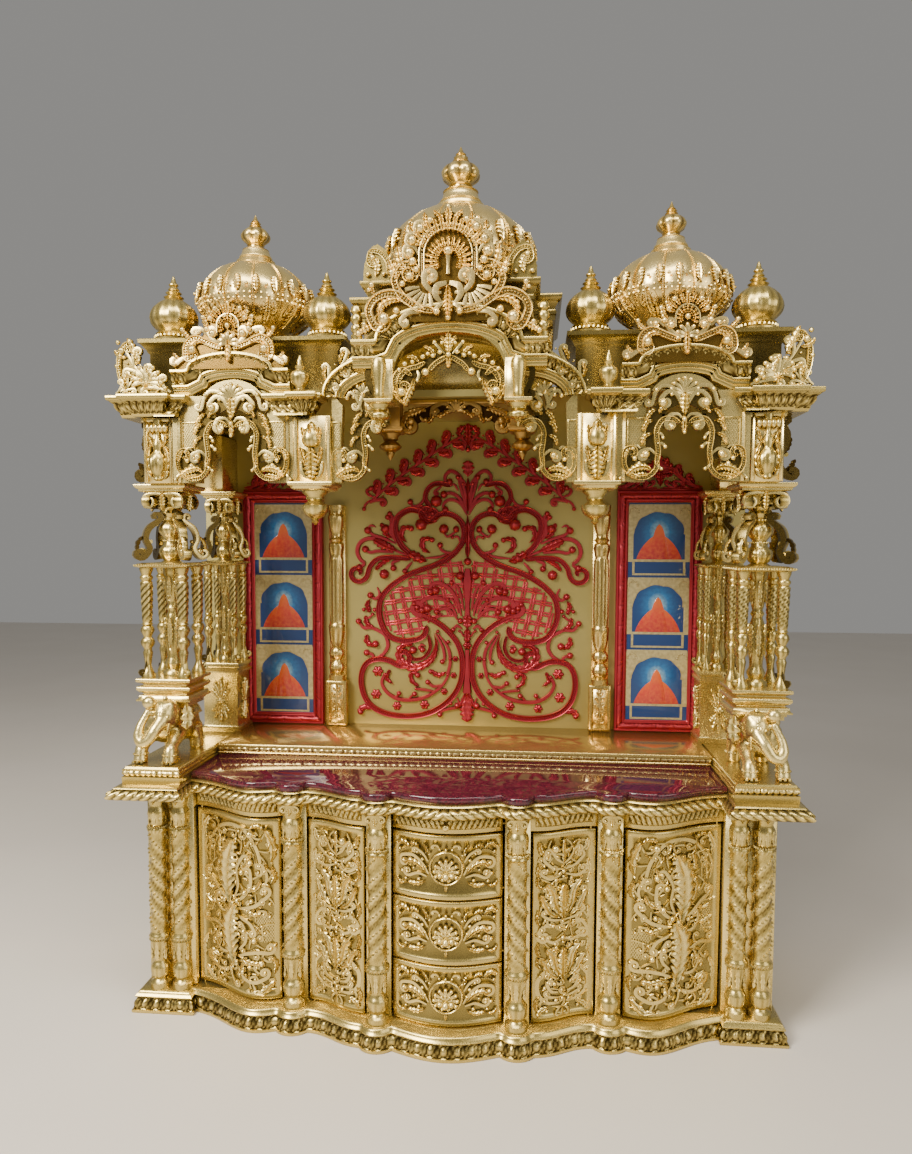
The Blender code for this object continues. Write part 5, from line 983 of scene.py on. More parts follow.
# %% Wide door carving
wide_carving = joined(
    vine([(30, 300), (34, 350), (58, 386), (98, 401), (138, 392), (166, 352), (177, 300)], 4.4, (9, 0.9, -1),
        0.004),
    vine([(42, 300), (46, 345), (66, 374), (98, 388), (130, 379), (154, 342), (163, 306)], 2.0, None, 0.0025),
    beads_on(mm([(36, 300), (40, 347), (62, 380), (98, 394.5), (134, 385), (160, 347), (170, 303)]), 0.0016,
        2.4, 0.001), leaf(mm([(94, 208), (84, 262), (86, 318), (104, 368)]), 0.036, 0.0115, 8, tip=0.4),
    leaf(mm([(106, 66), (92, 120), (90, 172), (106, 216)]), 0.035, 0.0115, 8, tip=0.4),
    vine([(100, 222), (116, 262), (112, 300), (130, 332)], 4.2, (11, 1.1, -1)),
    vine([(98, 216), (128, 236), (150, 268), (150, 300)], 4.2, (10, 1.1, 1)),
    vine([(104, 204), (134, 212), (166, 224), (192, 246)], 4.4, (12, 1.2, 1)),
    vine([(90, 214), (64, 232), (42, 254), (22, 268)], 4.2, (11, 1.2, -1)),
    vine([(84, 236), (62, 262), (56, 296), (70, 330)], 3.8, (9, 1.1, 1)),
    vine([(96, 200), (70, 190), (52, 204), (50, 226)], 3.6, (8, 1.1, -1)),
    vine([(104, 196), (128, 186), (148, 178), (160, 160)], 3.8, (9, 1.1, -1)),
    vine([(88, 132), (66, 148), (44, 158), (24, 154)], 4.2, (12, 1.2, -1)),
    vine([(112, 92), (140, 106), (168, 112), (194, 110)], 4.4, (12, 1.2, 1)),
    vine([(106, 78), (88, 56), (60, 46), (32, 60)], 4.4, (13, 1.3, -1)),
    vine([(110, 74), (130, 46), (158, 40), (186, 52)], 4.4, (12, 1.3, 1)),
    vine([(100, 100), (72, 92), (54, 98), (46, 118)], 3.6, (8, 1.1, -1)),
    vine([(116, 110), (134, 130), (138, 152), (128, 172)], 3.8, (8, 1.1, 1)),
    vine([(96, 66), (94, 44), (104, 24)], 3.6, (8, 1.2, 1)),
    vine([(60, 46), (52, 26), (66, 16)], 2.8, (6, 1.0, 1)),
    vine([(150, 40), (160, 20), (146, 12)], 2.8, (6, 1.0, -1)),
    vine([(182, 262), (190, 290), (180, 316)], 3.2, (7, 1.1, 1)),
    vine([(24, 300), (18, 330), (26, 356)], 3.0, (6, 1.0, -1)),
    small_leaf([(22, 352), (16, 380), (30, 408)], 9), small_leaf([(30, 404), (48, 406), (62, 398)], 6),
    small_leaf([(198, 318), (204, 356), (188, 400)], 11), small_leaf([(186, 398), (168, 408), (150, 404)], 7),
    small_leaf([(196, 268), (206, 286), (200, 308)], 8), small_leaf([(146, 20), (176, 16), (204, 44)], 10),
    small_leaf([(66, 18), (38, 14), (16, 42)], 10), small_leaf([(16, 60), (10, 92), (22, 118)], 8),
    small_leaf([(204, 58), (208, 84), (198, 100)], 7), small_leaf([(130, 212), (160, 200), (176, 206)], 7),
    small_leaf([(60, 206), (36, 204), (18, 216)], 7), small_leaf([(132, 92), (158, 84), (178, 90)], 7),
    small_leaf([(70, 78), (48, 76), (34, 88)], 6), small_leaf([(136, 252), (164, 262), (176, 284)], 7),
    small_leaf([(62, 244), (38, 236), (24, 244)], 6), small_leaf([(120, 60), (128, 78), (150, 84)], 6),
    small_leaf([(120, 300), (142, 318), (152, 344)], 7), small_leaf([(76, 318), (60, 340), (66, 366)], 7),
    dots((98, 216, 7), (126, 296, 6.5), (150, 322, 7.5), (134, 250, 6.5), (112, 226, 6), (152, 232, 5.5),
        (74, 218, 5.5), (60, 306, 5), (106, 190, 6.5), (130, 158, 6.5), (158, 140, 7), (78, 178, 5.5),
        (62, 130, 5), (108, 78, 7.5), (92, 58, 5.5), (126, 60, 6), (84, 84, 5), (146, 76, 5.5), (108, 30, 5),
        (40, 104, 4.5), (176, 84, 4.5), (88, 360, 5), (112, 372, 4.5), (196, 226, 4), (20, 186, 3.5),
        (196, 196, 3.5), (206, 128, 4), (120, 392, 4), (180, 30, 4)), hatch(15, 178, 44, 250),
    hatch(164, 132, 204, 208))
KNOB = [(0.0002, -0.0095), (0.0045, -0.0088), (0.0082, -0.0045), (0.009, 0), (0.0078, 0.0045), (0.005, 0.0075),
        (0.0036, 0.009), (0.0046, 0.0105), (0.0046, 0.016)]


def knob(x, z):
    """A ball knob turned about the y axis."""
    y = float(front_y(x)) - 0.0063
    return laid(lathe(KNOB, 20), lambda u, v, w: (x + u, y + w, z - v))


DOOR_LOW, DOOR_HIGH, KNOB_Z = 0.055, 0.479, 0.445
PIN_RADIUS, PIN_LONG, PIN_IN = 0.0015, 0.012, 0.01


def door(start, end, carving, knob_x):
    """The board with a sunk ground, its carving laid on that ground, its knob, and two pivot pins. The carving
    is lower beside the hinge, so that it clears the column there when the door swings out."""
    lower = lambda u: np.interp(u, [0.02, 0.062], [0.5, 1.25])  # from the hinge side inwards
    ground = laid(carving, lambda u, v, w: (start + u, front_y(start + u) + SUNK - lower(u) * w, DOOR_LOW + v))
    pin_x = end - PIN_IN if abs(end) > abs(start) else start + PIN_IN
    pin_y = float(front_y(pin_x)) + 0.003
    pins = [lathe([(PIN_RADIUS, low), (PIN_RADIUS, low + PIN_LONG)], 12, centre=(pin_x, pin_y))
        for low in (0.045, 0.477)]
    return joined(curved_board(start, end, DOOR_LOW, DOOR_HIGH, border=0.013), ground, knob(knob_x, KNOB_Z),
        *pins)


wide_carving = joined(wide_carving, undergrowth(22, 24, 198, 404, 34))
outer_door = mirrored(door(-0.607, -0.389, wide_carving, -0.389 - 0.218 * 0.3))
make_pair("outer_door", outer_door, carved_gold, moving=True)
print("wide door triangles", added["right_outer_door_carved"])

# %% [markdown]
# ## Narrow doors
# The narrow doors are symmetric: a bud, two palmettes on the middle line, and pairs of S-scrolls. Half of
# the drawing is enough, with u measured from the door's middle line.

# %% Narrow door carving
half_carving = joined(
    vine([(0, 352), (16, 366), (26, 384)], 3.4, (9, 1.2, -1)),
    vine([(2, 340), (24, 346), (42, 362)], 3.4, (9, 1.2, 1)),
    vine([(4, 330), (28, 322), (46, 330)], 3.4, (8, 1.2, 1)), small_leaf([(34, 372), (50, 384), (54, 404)], 8),
    small_leaf([(50, 318), (57, 336), (52, 358)], 7), small_leaf([(44, 300), (56, 308), (58, 326)], 6),
    leaf(mm([(6, 236), (18, 262), (24, 292), (38, 312)]), 0.016, 0.0085, 5, tip=0.5),
    leaf(mm([(8, 232), (30, 246), (42, 268), (50, 288)]), 0.012, 0.0075, 4, tip=0.5),
    vine([(4, 200), (22, 216), (42, 216), (54, 200)], 4.8, (13, 1.3, -1), 0.0055),
    vine([(4, 226), (26, 230), (44, 240)], 3.2, (7, 1.1, 1)),
    vine([(3, 186), (20, 178), (34, 184)], 3.2, (6, 1.1, 1)), small_leaf([(50, 214), (58, 232), (54, 252)], 6),
    small_leaf([(52, 182), (58, 166), (52, 148)], 6),
    leaf(mm([(6, 98), (16, 122), (22, 148), (36, 166)]), 0.016, 0.0085, 5, tip=0.5),
    leaf(mm([(8, 94), (28, 108), (38, 128), (48, 142)]), 0.012, 0.0075, 4, tip=0.5),
    vine([(8, 38), (34, 42), (54, 62), (56, 92), (40, 112)], 5.0, (11, 1.2, 1), 0.0055),
    vine([(10, 62), (26, 68), (34, 82)], 3.6, (8, 1.2, 1)),
    vine([(6, 50), (24, 54), (38, 60)], 3.0, (6, 1.0, 1)), small_leaf([(30, 34), (48, 26), (56, 12)], 8),
    small_leaf([(50, 60), (60, 44), (58, 26)], 6), vine([(3, 30), (12, 22), (14, 12)], 2.6, (4, 1.0, -1)),
    small_leaf([(46, 120), (57, 130), (55, 146)], 5), dots((17, 318, 4.5), (30, 300, 3.5), (22, 216, 4.5),
        (46, 190, 4), (15, 166, 4), (40, 230, 3.5), (18, 84, 4.5), (26, 96, 3.5), (14, 46, 4.5), (40, 78, 4),
        (34, 24, 3.5), (50, 104, 3.5), (10, 384, 3.5), (36, 342, 3.5)))
narrow_carving = joined(
    with_mirror(half_carving),
    leaf(mm([(0, 224), (0, 262), (0, 308)]), 0.017, 0.0105, 6, tip=0.4),
    leaf(mm([(0, 86), (0, 122), (0, 164)]), 0.016, 0.0105, 6, tip=0.4),
    leaf(mm([(0, 350), (0, 372), (0, 402)]), 0.009, 0.006, 4, tip=0.4),
    moved(rosette(0, 0, 0.0095, 6, 0.005), v=0.062),
    moved(rosette(0, 0, 0.008, 6, 0.005), v=0.206), leaf(mm([(0, 34), (0, 20), (0, 6)]), 0.006, 0.004, 3),
    dots((0, 186, 5), (0, 176, 3.5), (0, 336, 5), (0, 324, 3.6), (0, 48, 4.2), (0, 404, 4)))
inner_carving = joined(moved(narrow_carving, u=0.0685), undergrowth(18, 24, 119, 404, 31))
inner_door = mirrored(door(-0.323, -0.186, inner_carving, -0.186 - 0.137 * 0.36))
make_pair("inner_door", inner_door, carved_gold, moving=True)
print("narrow door triangles", added["right_inner_door_carved"])

# %% [markdown]
# ## Drawers
# Three bowed drawers carry one carving each: a ring with a shell in it, and sprays of acanthus with beaded
# arcs on both sides. The shallow drawer over them is part of the leaf frieze, with a knob in its middle.
# Behind each front is an open box, a tray of four walls and a floor.

# %% Drawer carving
def tray(low, high, wall=0.01, bottom=0.006):
    """An open box as one surface: the rounds of its outline go up outside, over the rim and down inside."""
    (x0, y0, z0), (x1, y1, z1) = low, high
    rounds = []
    for inset, z in ((0.0005, z0), (0, z0 + 0.001), (0, z1 - 0.001), (0.0008, z1), (wall - 0.0008, z1),
                     (wall, z1 - 0.001), (wall, z0 + bottom)):
        rounds.append([(x0 + inset, y0 + inset, z), (x1 - inset, y0 + inset, z), (x1 - inset, y1 - inset, z),
                       (x0 + inset, y1 - inset, z)])
    return surface(np.array(rounds), 1)


angle = np.linspace(0, math.tau, 48, endpoint=False)[:, None]
section = np.linspace(0, math.pi, 7)
reach = 0.0355 + 0.0034 * np.cos(section)[None]
ring_points = np.stack([reach * np.cos(angle), reach * np.sin(angle),
                        np.broadcast_to(-0.002 + 0.0075 * np.sin(section)[None] ** 0.7, (48, 7))], 2)
medallion = surface(ring_points, 0.3 + 0.7 * np.sin(section)[None], ring=True)
half_spray = joined(
    vine([(38, 52), (52, 74), (72, 90), (94, 88)], 3.6, (13, 1.15, -1)),
    beads_on(mm([(56, 92), (74, 104), (94, 102), (108, 86), (110, 64), (104, 46)]), 0.0019, 2.3, 0.001),
    vine([(42, 46), (62, 52), (82, 44)], 3.2, (10, 1.2, 1)),
    vine([(40, 80), (50, 96), (66, 106)], 2.8, (6, 1.1, -1)),
    leaf(mm([(44, 56), (62, 72), (80, 78), (92, 70)]), 0.011, 0.0085, 5, tip=0.4),
    small_leaf([(46, 36), (64, 28), (84, 30)], 7), small_leaf([(86, 28), (102, 24), (110, 36)], 5),
    small_leaf([(80, 106), (96, 118), (108, 112)], 7), small_leaf([(44, 92), (42, 106), (50, 118)], 4),
    small_leaf([(58, 106), (70, 116), (80, 116)], 5),
    vine([(14, 110), (20, 117), (28, 116)], 2.2, (4, 1.0, -1)),
    dots((52, 84, 3.6), (64, 98, 3.2), (98, 52, 4.2), (60, 40, 3.6), (74, 30, 3.4), (90, 36, 3.2),
        (104, 100, 3.4), (46, 68, 3), (88, 58, 3.6), (110, 112, 3), (14, 108.5, 2.8), (36, 96, 2.6),
        (96, 26, 2.8), (72, 62, 2.8)))
drawer_carving = joined(
    moved(medallion, v=0.066), moved(shell(0, 0, 0.031, 9, 0.0085, 108), v=0.055),
    moved(shell(0, 0, 0.018, 7, 0.011, 95), v=0.055), with_mirror(half_spray),
    dots((0, 50, 8.5), (13, 52, 6.4), (-13, 52, 6.4), (7, 42, 4.4), (-7, 42, 4.4), (0, 108, 3.0)),
    leaf(mm([(0, 34), (0, 26), (0, 15)]), 0.006, 0.004, 3))


def drawer_box(low, high):
    """The open box behind a drawer's front, from 6 mm above its lower edge to 6 mm below its upper one."""
    return tray((-0.115, -0.2125, low + 0.006), (0.115, 0.15, high - 0.006))


DRAWER_HALF, DRAWER_THICK, DRAWER_RELIEF, MEDALLION_V = 0.12, 0.018, 1.35, 0.066
for name, low, high in (("lower_drawer", DOOR_LOW, 0.1875), ("middle_drawer", 0.1925, 0.3325),
                        ("upper_drawer", 0.3375, DOOR_HIGH)):
    carving = laid(drawer_carving, lambda u, v, w: (u, front_y(u) + SUNK - DRAWER_RELIEF * w,
                                                    (low + high) / 2 + v - MEDALLION_V))
    front = curved_board(-DRAWER_HALF, DRAWER_HALF, low, high, DRAWER_THICK, 0.011)
    make(name + "_carved", joined(front, carving, drawer_box(low, high)), carved_gold, body=name,
        instead=[name])
frieze_front = joined(curved_board(-DRAWER_HALF, DRAWER_HALF, FRIEZE_LOW, 0.519, DRAWER_THICK),
                      laid(leaf_row(-0.113, 0.113, 0.4935, 0.5175), on_front), knob(0, 0.5015),
                      drawer_box(FRIEZE_LOW, 0.519))
make("frieze_drawer_carved", frieze_front, carved_gold, body="frieze_drawer", instead=["frieze_drawer"])
print("triangles so far", sum(added.values()))

# %% [markdown]
# ## Ledges and niche step
# On both sides of the granite a ledge carries the front column and its elephant. Behind the granite the
# niche floor is a glossy step with a carved nosing. Both are moulded blocks with a row of leaves, made the
# same way as the plinth: levels that move in and out, and a relief that repeats along the edge.

# %% Ledges
def leaf_and_dart(p, q):
    """Rounded leaves that hang from the upper edge, side by side: a scallop |sin| cut off by its own curve."""
    t = np.abs((p % 1) - 0.5) * 2
    body = np.sqrt(np.clip(1 - t ** 2 - (np.clip(q, -1, 1) - 1) ** 2 / 4.2, 0, 1))
    return 1.1 * body - 0.5 * np.exp(-(t / 0.18) ** 2) * (q > -0.6) - 0.45


ledge_line = rectangle(0.613, 0.75, -0.201, WALL_Y, 0.0028)
row = [(0.0035 - 0.0025 * math.sin(math.pi * k / 8), 0.5735 + 0.0115 * k / 8) for k in range(9)]
levels = [(0.001, 0.5553), (0, 0.5563), (0, 0.5715), (0.0035, 0.573), *row, (0.001, 0.5858), (0.001, 0.589),
          (0.005, 0.5895), (0.006, 0.593), (0.007, 0.594)]
relief = patterned(ledge_line, levels, leaf_and_dart, 0.0135, 0.0034, 0.5733, 0.5852)
relief = relief * (ledge_line[:, 0] > 0.614)
bead_row = np.column_stack([np.full(80, 0.615), np.linspace(-0.19, 0.02, 80), np.full(80, 0.5935)])
make_pair("ledge", joined(moulded(ledge_line, levels, relief), balls(bead_row, 0.0016, BEAD)), carved_gold)
print("ledge triangles", added["right_ledge_carved"])

# %% Niche step
step_line = rectangle(-0.612, 0.612, 0.032, WALL_Y, 0.004)
make("step_board", moulded(step_line, [(0.001, 0.5717), (0, 0.5727), (0, 0.597), (0.001, 0.598)]), step_gold,
     instead=["niche_step"])
nose_line = rectangle(-0.612, 0.612, 0.026, 0.033, 0.0037)
wave = [(0.003 - 0.0012 * math.sin(math.pi * k / 7), 0.5795 + 0.0085 * k / 7) for k in range(8)]
levels = [
    (0.0035, 0.5717), (0.003, 0.574), (0.0015, 0.575), (0.0008, 0.5765), (0.0015, 0.578), (0.0028, 0.5788),
    *wave, (0.0022, 0.5888), (0.0005, 0.5902), (0, 0.593), (0.0006, 0.5962), (0.0018, 0.5978), (0.0028, 0.5982)]
relief = patterned(nose_line, levels, leaf_and_dart, 0.0098, 0.003, 0.5792, 0.5884) * (nose_line[:, 1] < 0.0265)
make("step_nosing", moulded(nose_line, levels, relief), bright_gold)
for node in ("back_wall", "ceiling_board"):
    repaint(node, wall_gold)
print("ledge leaves", round(run_length(ledge_line[:, :2])[-1] / 0.0135))

# %% [markdown]
# ## Red scroll panel
# The panel on the back wall is one fretted board in crimson paint. Two beaded strands loop through it and
# cross on the middle line like a long figure of eight; lilies stand on that line, and between the strands
# are fans of ribs that end in balls, a woven lattice, and vines with rosettes. The carver draws one half
# and turns the pattern over, and so does this list, in millimetres from the middle line and the foot.

# %% Panel tools
def rib(points, width, ball, height=0.0075):
    """A strand in millimetres, thin where it starts, with a ball at its end."""
    path = mm(points)
    body = strand(path, np.array([0.45, 0.8, 1.0, 1.0, 0.8]) * width / 1000, height,
                  int(min(36, max(10, length(path) / 0.0036))))
    return joined(body, balls([(*path[-1], 0.45 * height)], ball / 1000))


def beaded_band(points, width, bead, height=0.0085, spiral=None):
    """A flat band with two raised rims, and a row of beads in the channel between them."""
    path = mm(points)
    if spiral:
        path = curled(path, spiral[0] / 1000, spiral[1], spiral[2])
    long = length(path)
    steps = int(max(20, long / 0.0042))
    path = curve(path, steps)
    across = np.array([-1, -1, -0.85, -0.62, -0.45, 0, 0.45, 0.62, 0.85, 1, 1])
    lift = np.array([0, 0.55, 0.95, 0.85, 0.4, 0.35, 0.4, 0.85, 0.95, 0.55, 0])
    taper = np.clip(np.minimum(np.arange(steps), np.arange(steps)[::-1]) / 4 + 0.45, 0, 1)[:, None]
    flat = path[:, None] + sideways(path)[:, None] * (across * width / 1000 * taper)[..., None]
    rise = np.broadcast_to(lift * height - 0.002 * (lift == 0), (steps, 11))
    body = surface(np.concatenate([flat, rise[..., None]], 2), np.broadcast_to(0.1 + 0.85 * lift, (steps, 11)))
    spots = even(path, max(3, int(long * 1000 / (2.25 * bead))))
    return joined(body, balls(np.column_stack([spots, np.full(len(spots), 0.55 * height)]), bead / 1000, BEAD))


def inside(polygon, points):
    """True where a point lies in the polygon: a ray from it crosses the edges an odd number of times."""
    (x, y), p, q = points.T, polygon, np.roll(polygon, -1, 0)
    above = (p[:, 1, None] > y) != (q[:, 1, None] > y)
    rise = np.where(q[:, 1] == p[:, 1], 1e-9, q[:, 1] - p[:, 1])[:, None]
    at = p[:, 0, None] + (y - p[:, 1, None]) * (q[:, 0] - p[:, 0])[:, None] / rise
    return np.sum(above & (x < at), 0) % 2 == 1


def woven(polygon, gap, width, lean):
    """Slim paired bars in two directions, cut to the polygon; each bar rises over every second crossing."""
    polygon = mm(polygon)
    low, high = polygon.min(0), polygon.max(0)
    middle = (low + high) / 2
    reach = np.linalg.norm(high - low) / 2
    parts = []
    for turn, phase in ((lean, 0), (lean + math.pi / 2 + 0.12, math.pi)):
        way = np.array([math.cos(turn), math.sin(turn)])
        across = np.array([-way[1], way[0]])
        for k in range(-int(reach / gap) - 1, int(reach / gap) + 2):
            for pair in (-0.13, 0.13):
                t = np.linspace(-reach, reach, 40)[:, None]
                line = middle + across * (k + pair) * gap + way * t + across * 0.06 * t ** 2 / reach
                kept = inside(polygon, line)
                line = line[kept]
                if len(line) > 5:
                    path = np.column_stack(
                        [line, 0.0028 + 0.0012 * np.cos(math.pi * t[kept, 0] / gap + k * math.pi + phase)])
                    flat = path[:, None, :2] + across * (width * np.array([-1, -1, 0, 1, 1]))[:, None]
                    lift = path[:, None, 2] * np.array([0, 0.8, 1.2, 0.8, 0]) - 0.001
                    parts.append(surface(np.concatenate([flat, lift[..., None]], 2), 0.55))
    return joined(*parts)

# %% Red scroll panel, the drawing
upper_loop = [
    (113, 264), (119, 240), (143, 226), (185, 223), (219, 236), (240, 268), (247, 306), (238, 344), (206, 379),
    (154, 410), (90, 433), (43, 460), (15, 495), (10, 528), (21, 555), (47, 572), (76, 572), (95, 556)]
lower_loop = [
    (126, 294), (90, 278), (58, 255), (30, 222), (16, 186), (13, 149), (18, 110), (36, 73), (69, 41), (111, 19),
    (164, 10), (217, 14), (259, 30), (285, 57), (297, 95), (295, 132), (280, 159), (252, 170), (221, 167),
    (192, 153)]
jali_half = joined(
    beaded_band(upper_loop, 8, 2.7, spiral=(24.6, 1.0, 1)),
    beaded_band(lower_loop, 8, 2.7, spiral=(25.7, 1.15, -1)),
    vine([(90, 278), (117, 293), (138, 295)], 5.9, (19.3, 1.3, 1)),
    rib([(4, 581), (9, 636), (23, 675), (46, 690), (62, 678), (61, 662), (50, 661)], 5.9, 9.1),
    rib([(2, 582), (13, 620), (22, 653), (27, 673)], 4.8, 7.5),
    rib([(4, 575), (21, 613), (45, 630), (66, 626)], 5.9, 10.7),
    beaded_band([(48, 649), (72, 656), (96, 653), (113, 636), (117, 614), (107, 597)], 7, 2.1,
        spiral=(18.2, 0.9, 1)), dots((87, 608, 13.9), (129, 544, 14.4)),
    rib([(117, 636), (123, 611), (135, 597), (151, 594), (159, 606)], 4.8, 8.6),
    rib([(3, 571), (19, 600), (40, 612), (59, 609), (68, 595), (62, 585)], 5.3, 9.6),
    rib([(1, 603), (8, 636), (13, 656)], 3.7, 4.8), rib([(27, 636), (37, 653), (46, 652)], 3.7, 4.3),
    rib([(27, 673), (15, 666), (6, 652)], 3.7, 2.7),
    vine([(69, 656), (76, 646), (90, 636)], 3.2, (7.5, 1.0, -1)),
    beaded_band([(156, 461), (184, 488), (200, 528), (195, 562), (166, 583), (135, 581), (113, 561)], 8.6, 2.4,
        spiral=(19.3, 0.8, -1)), rib([(198, 495), (210, 528), (206, 557), (216, 574)], 5.9, 7.5),
    rib([(111, 565), (97, 575)], 4.3, 6.4), small_leaf([(167, 494), (183, 510), (179, 533), (156, 537)], 9.1),
    dots((156, 533, 7)), small_leaf([(101, 465), (123, 478), (124, 502), (101, 506)], 9.1),
    dots((98, 502, 6.4), (90, 555, 4.8)), rib([(27, 470), (54, 467), (74, 476), (76, 488)], 4.8, 8.6),
    rib([(22, 495), (27, 511), (42, 509)], 3.7, 5.3), rib([(117, 452), (80, 455), (59, 462)], 4.3, 4.3),
    dots((66, 532, 11.8), (32, 532, 7.5)), rib([(66, 522), (54, 511), (30, 528)], 4.3, 6.4),
    small_leaf([(111, 443), (132, 450), (162, 467)], 14.4, 0.01, 3), dots((138, 452, 9.6)),
    rib([(154, 455), (196, 471), (232, 494), (269, 506), (298, 495), (308, 469), (298, 446), (287, 437),
            (300, 425)], 6.4, 8.6), small_leaf([(192, 471), (226, 484), (261, 502)], 13.4, 0.009, 5),
    rib([(206, 467), (247, 471), (271, 467), (285, 476)], 5.3, 10.2),
    rib([(200, 492), (238, 508), (262, 515), (278, 528)], 5.3, 10.7),
    rib([(256, 537), (268, 542), (277, 533)], 3.7, 2.1),
    rib([(198, 495), (215, 524), (211, 551), (222, 564)], 5.9, 8),
    small_leaf([(206, 506), (226, 517), (240, 548)], 8.6), dots((228, 532, 10.7)),
    beaded_band([(158, 449), (203, 454), (247, 450), (271, 428), (280, 401)], 7, 2.1, spiral=(27.8, 1.05, 1)),
    rib([(154, 441), (168, 425), (174, 416)], 4.8, 8), rib([(187, 446), (208, 439), (206, 424)], 5.3, 9.1),
    small_leaf([(206, 452), (238, 437), (256, 419)], 7.5), dots((232, 407, 11.8), (302, 426, 8)),
    rib([(252, 370), (245, 351), (257, 338), (271, 348)], 4.8, 9.6),
    small_leaf([(271, 338), (280, 322), (273, 300)], 8, 0.007, 4), dots((259, 308, 5.3), (290, 308, 4.8)),
    rib([(234, 245), (267, 257), (290, 257), (305, 275)], 5.3, 8.6),
    small_leaf([(256, 255), (280, 268), (285, 291)], 8), rib([(285, 279), (273, 287), (264, 295)], 3.7, 4.8),
    rib([(264, 254), (232, 238), (222, 209), (233, 186), (249, 175)], 5.9, 4.3),
    small_leaf([(251, 205), (280, 215), (281, 238)], 8.6), dots((257, 212, 8.6)),
    rib([(266, 164), (264, 180), (282, 187)], 4.8, 9.6), rib([(243, 170), (242, 176), (234, 187)], 3.7, 3.2),
    rib([(17, 293), (26, 332), (47, 364), (77, 384), (100, 378), (103, 359)], 6.4, 10.7), dots((88, 363, 10.2)),
    rib([(11, 308), (17, 343), (27, 373), (44, 385)], 4.8, 7.5),
    rib([(29, 291), (45, 322), (72, 340), (103, 343), (127, 330), (126, 308)], 6.4, 10.7),
    dots((111, 313, 10.7)), rib([(27, 282), (47, 307), (68, 313), (85, 304)], 5.3, 9.6),
    rib([(34, 322), (42, 338), (54, 337)], 3.7, 7), dots((21, 404, 10.2), (148, 326, 6.4), (19, 279, 7.5)),
    rib([(69, 299), (80, 290), (89, 284)], 3.2, 4.3), leaf(
        mm([(93, 246), (85, 211), (101, 170), (143, 147), (180, 159), (191, 187), (180, 209), (152, 212)]),
        0.016, 0.0085, 13), beaded_band([(108, 238), (103, 205), (116, 180), (141, 170), (164, 178)], 4.8, 2.1),
    dots((151, 196, 9.6), (125, 198, 7.5)), rib([(117, 208), (128, 212), (132, 203)], 3.7, 5.9),
    rib([(80, 241), (54, 205), (47, 165), (55, 129)], 5.3, 3.7),
    rib([(88, 244), (69, 208), (63, 176), (69, 165)], 4.8, 7.5),
    rib([(47, 165), (54, 124), (80, 88), (127, 61), (185, 56), (223, 74), (240, 103), (231, 127)], 5.9, 4.8),
    small_leaf([(129, 127), (156, 132), (154, 109), (135, 95)], 7),
    dots((138, 126, 7), (147, 73, 6.4), (191, 74, 5.9)), small_leaf([(55, 138), (80, 127), (103, 140)], 8),
    dots((102, 137, 5.9)), rib([(69, 100), (93, 95), (110, 107)], 4.8, 7.5),
    rib([(90, 81), (117, 85), (143, 88)], 4.3, 4.3), rib([(164, 58), (154, 68), (147, 73)], 3.7, 3.2),
    rib([(206, 62), (195, 67), (190, 73)], 3.7, 3.2), small_leaf([(206, 100), (226, 116), (217, 140)], 7),
    rib([(27, 64), (21, 40), (46, 34), (69, 27), (76, 16)], 4.8, 8),
    small_leaf([(266, 28), (290, 33), (307, 18)], 9.6), dots((300, 19, 7)),
    rib([(15, 257), (29, 266), (39, 255)], 4.8, 7), rib([(11, 235), (16, 247), (22, 251)], 3.2, 4.3),
    dots((53, 220, 4.8), (82, 249, 4.3), (48, 173, 4.3), (27, 43, 7.5), (46, 49, 4.8)))
ROSETTES = [(251, 135, 15.5), (256, 70, 15), (197, 38, 12.8), (119, 43, 13.4), (64, 81, 10.7), (38, 127, 9.6),
    (33, 173, 9.1)]
jali_half = joined(jali_half, *[rosette(*spot, 6, 0.006) for spot in mm(ROSETTES)])
pocket = [
    (43, 452), (90, 425), (154, 400), (201, 373), (229, 341), (238, 306), (231, 271), (212, 244), (185, 232),
    (154, 232), (117, 257), (90, 284), (27, 295), (4, 333), (4, 419), (17, 446)]
jali_half = joined(jali_half, woven(pocket, 0.029, 0.0026, 1.35))
middle_line = joined(
    leaf(mm([(0, 673), (0, 695), (0, 717)]), 0.023, 0.007, 3),
    small_leaf([(0, 571), (0, 620), (0, 670)], 5.9, 0.008, 2),
    leaf(mm([(0, 576), (0, 517), (0, 454)]), 0.011, 0.009, 3, tip=0.1), dots((0, 443, 9.1)),
    strand(mm([(0, 424), (0, 398), (0, 365), (0, 327), (0, 290)]), mm([8, 14, 11, 7, 9]), 0.011, 18),
    small_leaf([(0, 257), (0, 279), (0, 295)], 16, 0.009, 3),
    small_leaf([(0, 262), (0, 241), (0, 221)], 11.8, 0.009, 3), moved(rosette(0, 0, 0.0125, 6, 0.008), v=0.211),
    strand(mm([(0, 199), (0, 149), (0, 106), (0, 78)]), mm([7, 6, 9, 13]), 0.01, 18),
    leaf(mm([(0, 77), (0, 41), (0, -1)]), 0.027, 0.009, 5), small_leaf([(2, 84), (15, 51), (27, 34)], 6.4),
    small_leaf([(-2, 84), (-15, 51), (-27, 34)], 6.4))
jali = moved(joined(with_mirror(jali_half), middle_line), v=0.613)
RED_Y = 0.2987  # the back of the red carving, just inside the wall's face
make("red_scrolls", laid(jali, on_plane(RED_Y)), crimson,
    instead=["red_scroll_panel"])
print("scroll panel triangles", added["red_scrolls"])

# %% [markdown]
# ## Red crest, frames and pictures
# Over the scroll panel a red band of scrolls climbs to a point. Such running carving is made of one motif,
# turned left and right in turn: a stem that curls round a ball, and a leaf that fills the other side.

